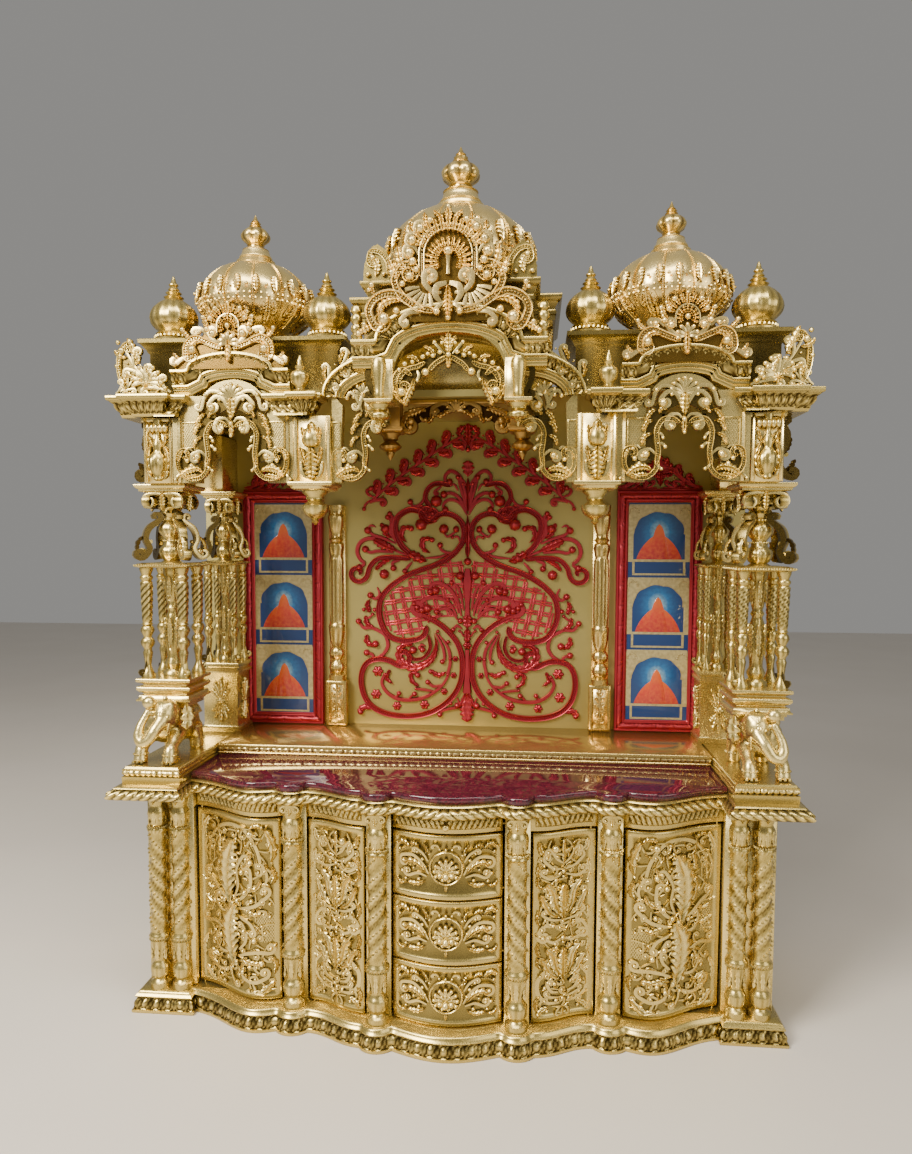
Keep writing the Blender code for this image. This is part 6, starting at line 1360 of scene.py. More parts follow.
# %% Running scrolls
def scroll_run(points, size, count, height=0.008, wide=0.17, first=1, start=0.02, end=0.98, leaf_share=0.34):
    """Along a path, count stems that leave it to the left and right in turn, curl round a ball, and
    send a leaf to the other side."""
    path = curve(points, 240)
    ways = np.gradient(path, axis=0)
    ways /= np.linalg.norm(ways, axis=1)[:, None]
    normals = sideways(path)
    parts = [strand(path, [0.8 * wide * size], 0.75 * height, 40)]
    for k in range(count):
        spot = int(239 * (start + (end - start) * (k + 0.5) / count))
        hand = first * (1 if k % 2 == 0 else -1)
        p, way, n = path[spot], ways[spot], hand * normals[spot]
        stem = [p - way * 0.9 * size, p - way * 0.35 * size + n * 0.18 * size, p + way * 0.25 * size + n * 0.62
            * size]
        curl = curled(stem, 0.36 * size, 1.25, hand)
        parts.append(strand(curl, wide * size * np.array([0.6, 1.1, 1.1, 0.9, 0.6]), height, 20))
        parts.append(balls([(*curl[-1], 0.6 * height)], 0.17 * size))
        tip = [p + way * 0.1 * size - n * 0.1 * size, p + way * 0.45 * size - n * 0.62 * size,
               p + way * 1.05 * size - n * 0.86 * size]
        parts.append(leaf(tip, leaf_share * size, 0.9 * height, 3, tip=0.5))
        parts.append(
            balls([(*(p + way * 1.12 * size - n * 0.8 * size), 0.5 * height),
                    (*(p - way * 0.3 * size - n * 0.45 * size), 0.45 * height)], [0.13 * size, 0.1 * size]))
    return joined(*parts)


crest_line = [(0.266, 1.222), (0.222, 1.262), (0.185, 1.29), (0.153, 1.312), (0.122, 1.332), (0.088, 1.356),
              (0.048, 1.38), (0.012, 1.398)]
red_half = joined(
    scroll_run(crest_line, 0.027, 13, 0.0095, 0.2, leaf_share=0.46),
    rib([(262, 1226), (272, 1222), (284, 1212), (288, 1200)], 4, 6),
    rib([(258, 1232), (274, 1238), (280, 1250), (268, 1256)], 5, 7.5))
red_top = joined(leaf([(0, 1.366), (0, 1.396), (0, 1.43)], 0.016, 0.009, 5), balls([(0, 1.36, 0.004)], 0.007),
                 with_mirror(rib([(2, 1372), (14, 1388), (24, 1404), (18, 1416)], 5, 6.5)))
make("red_crest_carving", laid(joined(with_mirror(red_half), red_top), on_plane(RED_Y)), crimson,
     instead=["red_crest"])
print("red crest triangles", added["red_crest_carving"])

# %% [markdown]
# ### Red frames
# Each frame is a moulding carried round a rectangle with mitred corners: a smooth outer fillet, a row of
# rounded leaves, a second fillet, and a slope down to the glass. A carved crest stands on its top bar.

# %% Picture frames
def moulding(rows, section, pattern=None, motif=0.0135, height=0.003, low=0.0, high=1.0, ring=False):
    """A moulding swept along rows (u, v, way out): section lists (inset, w), closed, and a pattern stands up
    between the insets low and high."""
    inset, w = np.asarray(section, float).T
    q = (2 * inset - low - high) / (high - low)
    rise = np.zeros((len(rows), len(inset)))
    if pattern:
        along = run_length(rows[:, :2])
        motif = along[-1] / round(along[-1] / motif)
        rise = np.where(np.abs(q) < 0.99, pattern(along[:, None] / motif, -q[None]) * height, 0)
    uv = rows[:, None, :2] - rows[:, None, 2:] * inset[None, :, None]
    lift = np.where(w > 0, w + rise, w)
    return surface(np.concatenate([uv, lift[..., None]], 2), np.clip(0.6 + 0.8 * rise / height, 0, 1), ring)


def frame_ring(x0, x1, z0, z1, section, *ornament):
    """A moulding round a rectangle with mitred corners."""
    return moulding(rectangle(x0, x1, z0, z1, 0.0062), section, *ornament, ring=True)


PICTURE_X = 0.515
FRAME_SECTION = [(0, 0), (0, 0.0185), (0.0012, 0.02), (0.0045, 0.02), (0.006, 0.017)]
FRAME_SECTION += [(0.0065 + 0.0145 * k / 9, 0.0165 + 0.004 * math.sin(math.pi * k / 9)) for k in range(10)]
FRAME_SECTION += [(0.022, 0.017), (0.0235, 0.019), (0.0255, 0.0185), (0.0262, 0.015), (0.03, 0.0125),
                  (0.03, 0)]
ring = frame_ring(0.403, 0.627, 0.5985, 1.247, FRAME_SECTION, leaf_and_dart, 0.014, 0.0032, 0.0062, 0.0215)
frame_top = joined(
    strand([(0.1, 1.256), (0.062, 1.276), (0.036, 1.304), (0.004, 1.32)], [0.006], 0.009, 24),
    scroll_run([(0.104, 1.26), (0.066, 1.27), (0.04, 1.292), (0.01, 1.312)], 0.0215, 5, 0.009),
    scroll_run([(0.092, 1.254), (0.05, 1.256), (0.008, 1.256)], 0.0165, 4, 0.008),
    rib([(0, 1282), (14, 1296), (22, 1312), (14, 1324)], 5, 7))
crest = joined(with_mirror(frame_top), shell(0, 1.302, 0.036, 7, 0.009, 95),
    leaf([(0, 1.258), (0, 1.3)], 0.014, 0.01, 4))
crest_foot = laid(box((0.403, -0.01, 1.2472), (0.627, 0.0, 1.254)), lambda u, v, w: (u, v + 0.299, w))
picture_frame = joined(laid(ring, on_plane(0.3005)), crest_foot,
    laid(moved(crest, u=PICTURE_X), on_plane(0.297)))
make_pair("picture_frame", picture_frame, crimson)
print("picture frame triangles", added["right_picture_frame_carved"])

# %% Picture panels
def square_rim(angle, half, tall):
    """Where rays at these angles from (0, 0) leave a rectangle, half to each side and tall upwards."""
    reach = np.minimum(half / np.maximum(np.abs(np.cos(angle)), 1e-6), tall / np.maximum(np.sin(angle), 1e-6))
    return np.column_stack([reach * np.cos(angle), reach * np.sin(angle)])


def plate(points_low, points_high, low, high, tone=1):
    """A thin plate between two paths (u, v), from depth low to height high, as a closed strip."""
    a, b = np.asarray(points_low, float), np.asarray(points_high, float)
    row = lambda p, w: np.column_stack([p, np.full(len(p), w)])
    return surface(np.stack([row(a, low), row(a, high), row(b, high), row(b, low)], 1), tone)


def glow_plate(half, low, high, middle, spread_by, thickness=0.006):
    """A plate whose tone falls off smoothly from a bright middle: exp(-(distance / spread)^2)."""
    u, v = np.linspace(-half, half, 31), np.linspace(low, high, 31)
    grid_u, grid_v = np.meshgrid(u, v, indexing="ij")
    tone = np.exp(-((grid_u / spread_by) ** 2 + ((grid_v - middle) / (1.25 * spread_by)) ** 2))
    face = np.stack([grid_u, grid_v, 0 * grid_u], 2)
    back = np.stack([np.column_stack([u, np.full(31, v[-1]), np.full(31, -thickness)]),
                     np.column_stack([u, np.full(31, v[0]), np.full(31, -thickness)])], 1)
    return surface(np.concatenate([face, back], 1), np.hstack([tone, np.zeros((31, 2))]))


def mound(half, low, tall, thickness=0.0009):
    """A low hill: at height share s its half width is half sqrt(1 - s^2) (1 - 0.3 s)."""
    s = np.linspace(0, 1, 15)[:, None]
    q = np.concatenate([np.sin(np.linspace(-1, 1, 17) * math.pi / 2), [1, -1]])[None]
    wide = np.maximum(half * np.sqrt(1 - s ** 2) * (1 - 0.3 * s), 0.0005)
    lift = thickness * np.sqrt(np.clip(1.05 - q ** 2, 0, 1)) * np.where(np.arange(19) < 17, 1, 0)[None]
    lift = np.where(np.arange(19)[None] < 17, lift, -0.0005) + 0 * s
    points = np.stack([q * wide, low + tall * s + 0 * q, lift], 2)
    return surface(points, np.clip(1 - s + 0 * q, 0, 1))


PANEL_HALF, PANEL_LOW, PANEL_TALL = 0.0815, 0.629, 0.1956
glass, gilt, warm = [], [], []
for level in range(3):
    low = PANEL_LOW + level * PANEL_TALL
    spring, top, inner = low + 0.112, low + 0.1915, 0.068
    turn = np.linspace(0, math.pi, 49)
    cusp = 0.0032 * np.abs(np.sin(4.5 * turn))
    arch = np.column_stack(
        [(inner + cusp - 0.003) * np.cos(turn), spring + (0.058 + cusp) * np.sin(turn) ** 0.9])
    rim = square_rim(turn, PANEL_HALF, top - spring) + (0, spring)
    glass.append(glow_plate(PANEL_HALF, low, low + PANEL_TALL - 0.0004, spring + 0.006, 0.032, 0.01))
    gilt.append(plate(arch, rim, -0.001, 0.0004))
    corner_shell = shell(0, 0, 0.016, 7, 0.001, 80)
    for side, fan in ((-1, mirrored(corner_shell)), (1, corner_shell)):
        gilt.append(plate([(side * inner, low + 0.044), (side * inner, spring)],
                          [(side * PANEL_HALF, low + 0.044), (side * PANEL_HALF, spring)], -0.001, 0.0004))
        gilt.append(moved(fan, u=side * 0.066, v=low + 0.166))
    gilt.append(plate([(-PANEL_HALF, low + 0.038), (PANEL_HALF, low + 0.038)],
                      [(-PANEL_HALF, low + 0.0445), (PANEL_HALF, low + 0.0445)], -0.001, 0.0006))
    gilt += [plate([(s * 0.064, low + 0.006), (s * 0.064, low + 0.038)], [(s * 0.07, low + 0.006),
             (s * 0.07, low + 0.038)], -0.001, 0.0006) for s in (-1, 1)]
    gilt.append(plate([(-0.07, low + 0.002), (0.07, low + 0.002)], [(-0.07, low + 0.007), (0.07, low + 0.007)],
                      -0.001, 0.0006))
    gilt.append(strand(arch[::3], [0.0016], 0.0012, 40, -0.001))
    warm.append(mound(0.06, low + 0.0445, 0.066))
    warm.append(moved(mound(0.026, low + 0.0445, 0.094, 0.0014), w=0.0004))
place = lambda shape: laid(moved(joined(*shape), u=PICTURE_X), on_plane(0.289))
make_pair("picture_ground", place(glass), picture, instead=["picture_panel"])
make_pair("picture_surround", place(gilt), picture_gilt, instead=())
make_pair("picture_glow", place(warm), picture_warm, instead=())
print("picture triangles", added["right_picture_ground_carved"])

# %% [markdown]
# ## Pilasters
# Between the scroll panel and the frames stand half columns on square blocks. From the foot up: two fluted
# balls, a leaf cup, a shaft with upright beaded strips, a second cup, a bead ring and a fluted urn.

# %% Pilasters
PILASTER = [
    (1.05, 0), (1.05, 0.03), (0.62, 0.04), (0.86, 0.052), (1.02, 0.076), (0.86, 0.1), (0.58, 0.112),
    (0.62, 0.124), (0.88, 0.134), (1.02, 0.157), (0.86, 0.18), (0.6, 0.192), (0.74, 0.206), (0.88, 0.24),
    (1.0, 0.285), (1.04, 0.3), (1.05, 0.316), (0.9, 0.328), (0.88, 0.335), (0.88, 0.7), (0.8, 0.708),
    (0.86, 0.73), (1.0, 0.77), (0.94, 0.784), (0.72, 0.792), (0.92, 0.806), (0.72, 0.82), (0.66, 0.835),
    (0.84, 0.862), (1.0, 0.9), (1.05, 0.94), (0.86, 0.952), (0.96, 0.966), (1.05, 0.98), (1.05, 1)]


def pilaster_ripple(angle, share):
    """Flutes on balls and urn, leaves on the cups, five upright strips on the shaft with bead bumps."""
    flutes = 0.09 * (np.abs(np.sin(6 * angle)) - 0.6) * (
        within(share, 0.045, 0.108) + within(share, 0.128, 0.188) + within(share, 0.845, 0.945))
    cups = 0.07 * np.cos(8 * angle) * (within(share, 0.2, 0.3) + within(share, 0.71, 0.78))
    strips = 0.075 * np.cos(10 * angle) + 0.035 * np.cos(20 * angle) * np.cos(300 * share)
    strips = strips * within(share, 0.333, 0.702) ** 0.3
    rings = 0.05 * np.cos(20 * angle) * (within(share, 0.796, 0.816) + within(share, 0.302, 0.318))
    return flutes + cups + strips + rings


PILASTER_X, PILASTER_Y = 0.3625, 0.2822
turned, _ = turned_column(PILASTER, 0.7243, 1.209, 0.0172, (PILASTER_X, PILASTER_Y), pilaster_ripple, 40, 110)
turned = laid(turned, lambda u, v, w: (PILASTER_X + 1.26 * (u - PILASTER_X), v, w))
block_front = frame_ring(PILASTER_X - 0.029, PILASTER_X + 0.029, 0.5986, 0.724,
                         [(0, 0), (0, 0.033), (0.001, 0.034), (0.008, 0.034), (0.0095, 0.032), (0.0095, 0)])
spray = joined(with_mirror(
    small_leaf([(1, 14), (6, 10), (12, 12)], 4, 0.004), small_leaf([(1, 30), (7, 30), (13, 38)], 4.5, 0.0045),
    small_leaf([(1, 48), (8, 50), (14, 60)], 5, 0.0045), small_leaf([(1, 66), (8, 70), (12, 80)], 4.5, 0.0045),
    small_leaf([(1, 40), (6, 34), (13, 26)], 4, 0.004), small_leaf([(1, 82), (6, 88), (9, 94)], 3.5, 0.004),
    dots((5, 22, 1.8), (5, 42, 1.8), (5, 60, 1.8), (11, 47, 1.5), (5, 78, 1.6))),
    small_leaf([(0, 88), (0, 102)], 4, 0.004), strand([(0, 0.008), (0, 0.05), (0, 0.09)], [0.0022], 0.004, 20))
block = joined(
    laid(block_front, on_plane(0.3005)),
    box((PILASTER_X - 0.0205, 0.272, 0.607), (PILASTER_X + 0.0205, WALL_Y, 0.7155)),
    laid(moved(spray, u=PILASTER_X, v=0.6115), on_plane(0.2715)))
strip = box((PILASTER_X - 0.023, 0.291, 0.7235), (PILASTER_X + 0.023, 0.3005, 1.2085))
make_pair("pilaster", joined(turned, block, strip), bright_gold)
print("triangles so far", sum(added.values()))

# %% [markdown]
# ## Standing columns
# A front column rises from an elephant's back: a stepped block, four slim colonettes round a carved core,
# a shelf with beads, a fluted pot between four scroll brackets, and a capital with volutes. The rear
# columns repeat it, smaller, on a pedestal. One function draws both, from the column's half width.

# %% Column parts
DRAWN_HALF = 0.061  # the half width that the column's ornament was drawn for
COLONETTE = [
    (1.15, 0), (1.2, 0.03), (0.95, 0.06), (0.62, 0.09), (0.5, 0.12), (0.62, 0.18), (0.8, 0.235), (0.6, 0.262),
    (0.66, 0.275), (1.0, 0.3), (1.12, 0.33), (0.9, 0.362), (0.62, 0.376), (0.72, 0.388), (1.0, 0.412),
    (1.12, 0.438), (0.92, 0.468), (0.66, 0.48), (1.0, 0.492), (0.72, 0.506), (0.8, 0.52), (0.92, 0.7),
    (1.02, 0.868), (0.8, 0.88), (1.05, 0.9), (1.1, 0.915), (0.78, 0.935), (0.95, 0.955), (1.15, 0.985),
    (1.15, 1)]


def colonette_ripple(angle, share):
    """Flutes on the two balls and the leaf sheath, and slanting ribs on the upper shaft."""
    flutes = 0.11 * (np.abs(np.sin(4 * angle)) - 0.6) * (within(share, 0.278, 0.37) + within(share, 0.39, 0.474)
                                                         + within(share, 0.12, 0.255))
    return flutes + 0.12 * np.cos(5 * angle + 105 * share) * within(share, 0.515, 0.872) ** 0.4


def c_scroll(width=0.0058, height=0.012):
    """A C-shaped bracket drawn flat: from the pot's neck out, down, and curled both ways, with balls."""
    body = strand(curled(curled([(0.03, 0.1), (0.052, 0.082), (0.06, 0.056), (0.052, 0.034), (0.062, 0.016)],
                                0.0125, 1.15, 1, False), 0.011, 1.0, -1, True),
                  width * np.array([0.6, 1.0, 1.2, 1.0, 1.2, 1.1, 0.7]), height, 34, -height)
    knobs = balls([(0.066, 0.027, 0), (0.034, 0.092, 0), (0.047, 0.05, 0)], [0.0085, 0.006, 0.005])
    tongue = leaf([(0.06, 0.066), (0.074, 0.05), (0.078, 0.03)], 0.006, 0.006, 3, -0.006)
    return joined(body, knobs, tongue)


def turned_about(shape, degrees, centre, level):
    """Flat ornament stood upright in the plane through a column's axis that faces that way."""
    angle = math.radians(degrees)
    return laid(shape, lambda u, v, w: (centre[0] + u * math.cos(angle) - w * math.sin(angle),
                                        centre[1] + u * math.sin(angle) + w * math.cos(angle), level + v))


def volute_capital(centre, half, low, high):
    """A cushion under the abacus: two volutes side by side on each face, a leaf between them, balls below."""
    s = half / DRAWN_HALF
    bell = turned_column(
        [(0.62, 0), (0.52, 0.15), (0.66, 0.3), (0.6, 0.42), (0.85, 0.75), (1.0, 1)], low, high, 0.046 * s,
        centre, lambda a, t: 0.08 * np.cos(8 * a) * within(t, 0.3, 0.95), 48, 24)[0]
    one = strand(curled([(0.004, 0.0435), (0.02, 0.0455), (0.036, 0.0425)], 0.0165, 1.5, -1),
                 0.0048 * np.array([0.8, 1.1, 1.1, 0.9, 0.7]), 0.011, 36, -0.012)
    eye = balls([(0.037, 0.026, 0.002)], 0.0062)
    middle = joined(leaf([(0, 0.004), (0, 0.046)], 0.0125, 0.01, 5, -0.008), balls([(0, 0.05, 0.004)], 0.0055))
    face = joined(with_mirror(one, eye), middle)
    face = (face[0] * (s, (high - low) / 0.0495, s), *face[1:])
    parts = [bell]
    for turn in (0, 90, 180, 270):
        angle = math.radians(turn)
        parts.append(
            laid(face, lambda u, v, w: (centre[0] + u * math.cos(angle) - (0.041 * s + w) * math.sin(-angle),
                    centre[1] + u * math.sin(angle) - (0.041 * s + w) * math.cos(angle), low + v)))
    return joined(*parts)


def square_block(x, y, half, levels, relief=None, motif=0.011, height=0.002):
    """A square moulded block round a column's axis, with leaves between two heights if relief names them."""
    rows = rectangle(x - half, x + half, y - half, y + half, 0.0028)
    return moulded(rows, levels,
        patterned(rows, levels, leaf_and_dart, motif, height, *relief) if relief else 0)

# %% Whole column
def standing_column(x, y, half, foot):
    """The column above a height: block, colonettes, core, shelf, pot, brackets, capital and abacus."""
    s = half / DRAWN_HALF
    parts = []
    if foot:
        parts.append(
            square_block(x, y, half + 0.005 * s, [(0.01, 0.7222), (0.01, 0.727), (0, 0.729), (0, 0.7325),
                    (0.004, 0.735), (0.006, 0.742), (0.013, 0.7445), (0.013, 0.747), (0.006, 0.75),
                    (0.001, 0.756), (0.001, 0.761), (0.004, 0.764), (0.013, 0.766), (0.013, 0.769),
                    (0.002, 0.774), (0, 0.776), (0, 0.7805), (0.001, 0.782)]))
    low, high = 0.7815, 1.046  # the storey of the colonettes
    for dx in (-1, 1):
        for dy in (-1, 1):
            cx, cy = x + dx * 0.044 * s, y + dy * 0.044 * s
            parts.append(turned_column(COLONETTE, low, high, 0.014 * s, (cx, cy), colonette_ripple, 16, 52)[0])
            paw = turned_about(
                joined(strand(curled([(0.0, 0.052), (0.004, 0.034), (0.006, 0.016)], 0.0095, 1.0, 1),
                        [0.003, 0.005, 0.0045, 0.003], 0.006, 16, -0.006), balls([(0.012, 0.01, 0)], 0.0052)),
                math.degrees(math.atan2(dy, dx)), (cx, cy), low)
            parts.append(paw)
    core = turned_column(
        [(1.35, 0), (1.35, 0.04), (0.85, 0.07), (1.1, 0.12), (0.8, 0.17), (0.8, 0.22), (0.95, 0.3),
            (0.85, 0.55), (0.62, 0.6), (0.85, 0.63), (0.62, 0.66), (0.82, 0.72), (1.05, 0.86), (0.9, 0.9),
            (1.15, 0.96), (1.15, 1)], low, high, 0.0185 * s, (x, y),
        lambda a, t: 0.1 * (np.abs(np.sin(5 * a)) - 0.5) * (within(t, 0.08, 0.16) + within(t, 0.67, 0.88))
        + 0.06 * np.cos(8 * a) * within(t, 0.2, 0.56), 32, 80)[0]
    leaves = ring_of(joined(leaf([(0, 0.845), (0, 0.925)], 0.0095 * s, 0.004, 6),
            leaf([(0, 0.965), (0, 1.025)], 0.0085 * s, 0.004, 5)), 6, math.tau * 0.0175 * s)
    parts += [core, wrapped(leaves, (x, y), lambda v: 0.0172 * s + 0 * v)]
    reach = half + 0.004 * s
    parts.append(
        square_block(x, y, reach, [(0.01, 1.0452), (0.006, 1.0462), (0.0015, 1.048), (0, 1.05), (0.001, 1.0525),
                (0.005, 1.055), (0.012, 1.056), (0.013, 1.057)]))
    edge = rectangle(x - reach, x + reach, y - reach, y + reach, 0.0058)
    parts.append(
        balls(np.column_stack([edge[:, :2] - 0.0008 * edge[:, 2:], np.full(len(edge), 1.0505)]), 0.003, BEAD))
    pot = [
        (0.95, 0), (0.95, 0.02), (0.62, 0.05), (0.8, 0.09), (1.0, 0.2), (0.98, 0.28), (0.66, 0.36),
        (0.52, 0.41), (0.66, 0.44), (0.52, 0.47), (0.66, 0.52), (0.98, 0.62), (1.02, 0.7), (0.86, 0.78),
        (0.62, 0.83), (0.74, 0.86), (0.6, 0.9), (0.66, 0.95), (0.8, 1)]
    parts.append(
        turned_column(pot, 1.0565, 1.176, 0.029 * s, (x, y), lambda a, t: 0.09 * (np.abs(np.sin(6 * a)) - 0.6)
            * (within(t, 0.06, 0.34) + within(t, 0.5, 0.8)), 48, 70)[0])
    for level, r in ((0.44, 0.66), (0.86, 0.74)):
        parts.append(ring_of_beads((x, y, 1.0565 + level * 0.1195), 0.029 * s * r, 20, 0.0028 * s))
    scroll = c_scroll()
    scroll = (scroll[0] * (1.08 * s, 1.0, s), *scroll[1:])
    for turn in (45, 135, 225, 315):
        parts.append(turned_about(scroll, turn, (x, y), 1.0572))
    parts.append(volute_capital((x, y), half, 1.1745, 1.224))
    parts.append(
        square_block(x, y, half + 0.001 * s, [(0.012, 1.2232), (0.012, 1.2245), (0.008, 1.2252), (0.008, 1.229),
                (0.004, 1.231), (0.001, 1.235), (0, 1.2362), (0, 1.24), (0.0006, 1.2408)]))
    return joined(*parts)


FRONT_X, FRONT_Y = 0.69, -0.044
make_pair("front_column", standing_column(FRONT_X, FRONT_Y, DRAWN_HALF, True), carved_gold)
print("front column triangles", added["right_front_column_carved"])

# %% Rear columns
REAR_X, REAR_Y, REAR_HALF = 0.658, 0.2225, 0.0485
pedestal = square_block(
    REAR_X, REAR_Y, REAR_HALF + 0.004, [(0.001, 0.5946), (0, 0.596), (0, 0.606), (0.004, 0.608), (0.006, 0.612),
        (0.006, 0.748), (0.004, 0.751), (0.0005, 0.754), (0, 0.76), (0.005, 0.764), (0.005, 0.768), (0, 0.772),
        (0, 0.78), (0.001, 0.782)])
panel_leaf = joined(
    rosette(0, 0, 0.013, 6, 0.006), with_mirror(*[small_leaf(
                [(3, 3 * s), (12 * math.cos(a) + 3, s * (14 + 26 * math.sin(a))),
                    (18 * math.cos(a) + 6, s * (22 + 34 * math.sin(a)))], 6.5, 0.006)
            for s in (-1, 1) for a in (0.2, 0.85)]), small_leaf([(0, 8), (0, 34), (0, 58)], 7, 0.007),
    small_leaf([(0, -8), (0, -34), (0, -58)], 7, 0.007))
side_panel = moved(panel_leaf, v=0.68)
pedestal = joined(pedestal, laid(moved(side_panel, u=REAR_X), on_plane(REAR_Y - REAR_HALF + 0.002)),
                  laid(side_panel, lambda u, v, w: (REAR_X - REAR_HALF + 0.002 - w, REAR_Y - u, v)),
                  laid(side_panel, lambda u, v, w: (REAR_X + REAR_HALF - 0.002 + w, REAR_Y + u, v)))
make_pair("rear_column", joined(standing_column(REAR_X, REAR_Y, REAR_HALF, False), pedestal), carved_gold)
print("rear column triangles", added["right_rear_column_carved"])

# %% [markdown]
# ## Elephants
# Each front column stands on the back of a small elephant with a raised trunk that holds a ball. A carver
# works from one block, so its forms flow into each other. Here egg shapes and tubes are melted together:
# Blender's voxel remesh joins them in one skin, and smoothing rounds the seams. Harness and toes are added.

# %% Melting tools
def egg(centre, radii, around=24):
    """An ellipsoid: a half circle of radius cos(a) at height sin(a), turned and stretched."""
    a = np.linspace(-math.pi / 2 + 0.12, math.pi / 2 - 0.12, 13)
    ball = lathe(np.column_stack([np.cos(a), np.sin(a)]), around)
    return ball[0] * radii + np.array(centre), ball[1], ball[2]


def pipe(points, radius, steps=28, around=10):
    """A round tube along a path in space: each ring lies across the path, its radius from the list."""
    p = np.asarray(points, float)
    path = even(np.stack([np.interp(np.linspace(0, 1, 60), np.linspace(0, 1, len(p)), c) for c in p.T], 1),
        steps)
    for _ in range(3):
        path[1:-1] = (path[:-2] + 2 * path[1:-1] + path[2:]) / 4
    way = np.gradient(path, axis=0)
    way /= np.linalg.norm(way, axis=1)[:, None]
    side = np.cross(way, (0.12, 0.93, 0.35))
    side /= np.linalg.norm(side, axis=1)[:, None] + 1e-9
    up = np.cross(side, way)
    r = np.interp(np.linspace(0, 1, steps), np.linspace(0, 1, np.size(radius)),
        np.atleast_1d(radius))[:, None, None]
    a = np.linspace(0, math.tau, around, endpoint=False)[None, :, None]
    return surface(path[:, None] + r * (side[:, None] * np.cos(a) + up[:, None] * np.sin(a)), 0.8)


def melted(shape, voxel=0.0038, rounds=3):
    """The shape's parts joined in one skin by voxel remesh and smoothed; tone falls in its hollows and
    rises on its bulges, which paints shade into the creases and a highlight onto the bulges.
    """
    mesh = bpy.data.meshes.new("melting")
    mesh.from_pydata(shape[0].tolist(), [], [tuple(f) for table in shape[1] for f in table.tolist()])
    piece = bpy.data.objects.new("melting", mesh)
    bpy.context.scene.collection.objects.link(piece)
    join = piece.modifiers.new("join", "REMESH")
    join.mode, join.voxel_size = "VOXEL", voxel
    soften = piece.modifiers.new("soften", "SMOOTH")
    soften.factor, soften.iterations = 0.5, rounds
    done = piece.evaluated_get(bpy.context.evaluated_depsgraph_get()).to_mesh()
    points = np.empty(3 * len(done.vertices), np.float32)
    done.vertices.foreach_get("co", points)
    points = points.reshape(-1, 3).astype(float)
    corners = np.empty(len(done.loops), np.int32)
    done.loops.foreach_get("vertex_index", corners)
    totals = np.empty(len(done.polygons), np.int32)
    done.polygons.foreach_get("loop_total", totals)
    starts = np.cumsum(totals) - totals
    faces = [corners[starts[totals == n][:, None] + np.arange(n)] for n in np.unique(totals)]
    normals = np.empty(3 * len(done.vertices), np.float32)
    done.vertex_normals.foreach_get("vector", normals)
    edges = np.empty(2 * len(done.edges), np.int32)
    done.edges.foreach_get("vertices", edges)
    a, b = edges.reshape(-1, 2).T
    # The bend at each point sets its tone: painted shade in the creases, a painted highlight on the bulges.
    bend = np.zeros(len(points))
    normals = normals.reshape(-1, 3)
    step = np.einsum("ij,ij->i", normals[a] - normals[b], points[a] - points[b]) / np.maximum(
        np.sum((points[a] - points[b]) ** 2, 1), 1e-9)
    np.add.at(bend, a, step)
    np.add.at(bend, b, step)
    bpy.data.objects.remove(piece, do_unlink=True)
    return turned_out((points, faces, np.clip(0.72 + bend / 900, 0.1, 1)))

# %% Elephant's body
elephant = melted(
    joined(egg((0, -0.006, 0.078), (0.047, 0.082, 0.046)), egg((0, 0.036, 0.07), (0.044, 0.046, 0.05)),
        egg((0, -0.06, 0.08), (0.042, 0.036, 0.044)), egg((-0.02, -0.092, 0.112), (0.031, 0.036, 0.036)),
        egg((-0.033, -0.1, 0.132), (0.014, 0.016, 0.013)), egg((-0.008, -0.1, 0.132), (0.014, 0.016, 0.013)),
        egg((-0.02, -0.118, 0.098), (0.017, 0.016, 0.02)), pipe(
            [(-0.02, -0.118, 0.1), (-0.01, -0.134, 0.08), (0.004, -0.142, 0.056), (0.02, -0.14, 0.05),
                (0.029, -0.136, 0.066), (0.026, -0.13, 0.09), (0.016, -0.122, 0.112), (0.01, -0.117, 0.126)],
            [0.0155, 0.015, 0.0135, 0.0125, 0.012, 0.0105, 0.0085, 0.008], 40, 14),
        pipe([(-0.034, -0.062, 0.062), (-0.035, -0.09, 0.046), (-0.036, -0.112, 0.03), (-0.036, -0.116, 0.008),
                (-0.036, -0.118, 0.0005)], [0.021, 0.018, 0.0145, 0.015, 0.017], 30, 16),
        pipe([(0.03, -0.062, 0.062), (0.034, -0.086, 0.046), (0.036, -0.106, 0.03), (0.036, -0.11, 0.008),
                (0.036, -0.112, 0.0005)], [0.021, 0.018, 0.0145, 0.015, 0.017], 30, 16),
        pipe([(-0.03, 0.04, 0.06), (-0.033, 0.048, 0.03), (-0.033, 0.05, 0.0005)], [0.022, 0.017, 0.0175], 20,
            16),
        pipe([(0.03, 0.04, 0.06), (0.033, 0.048, 0.03), (0.033, 0.05, 0.0005)], [0.022, 0.017, 0.0175], 20, 16),
        pipe([(0, 0.078, 0.092), (0.004, 0.09, 0.066), (0.002, 0.09, 0.036)], [0.006, 0.0045, 0.004], 16, 8)))
ears = joined(
    *[laid(leaf([(0, 0.03), (0.004, 0.0), (0.001, -0.034)], 0.024, 0.0075, 3, -0.004, 0.1, 7),
            lambda u, v, w: (-0.02 + side * (0.043 + 0.8 * u + 0.25 * w), -0.078 + 0.55 * u - 0.9 * w,
                0.108 + v)) for side in (-1, 1)])
tusks = joined(
    *[pipe([(-0.02 + dx, -0.116, 0.092), (-0.02 + 1.25 * dx, -0.134, 0.078),
                (-0.02 + 1.35 * dx, -0.146, 0.074)], [0.0045, 0.004, 0.002], 12, 8) for dx in (-0.017, 0.015)])
print("body triangles", sum(len(table) * (table.shape[1] - 2) for table in elephant[1]))

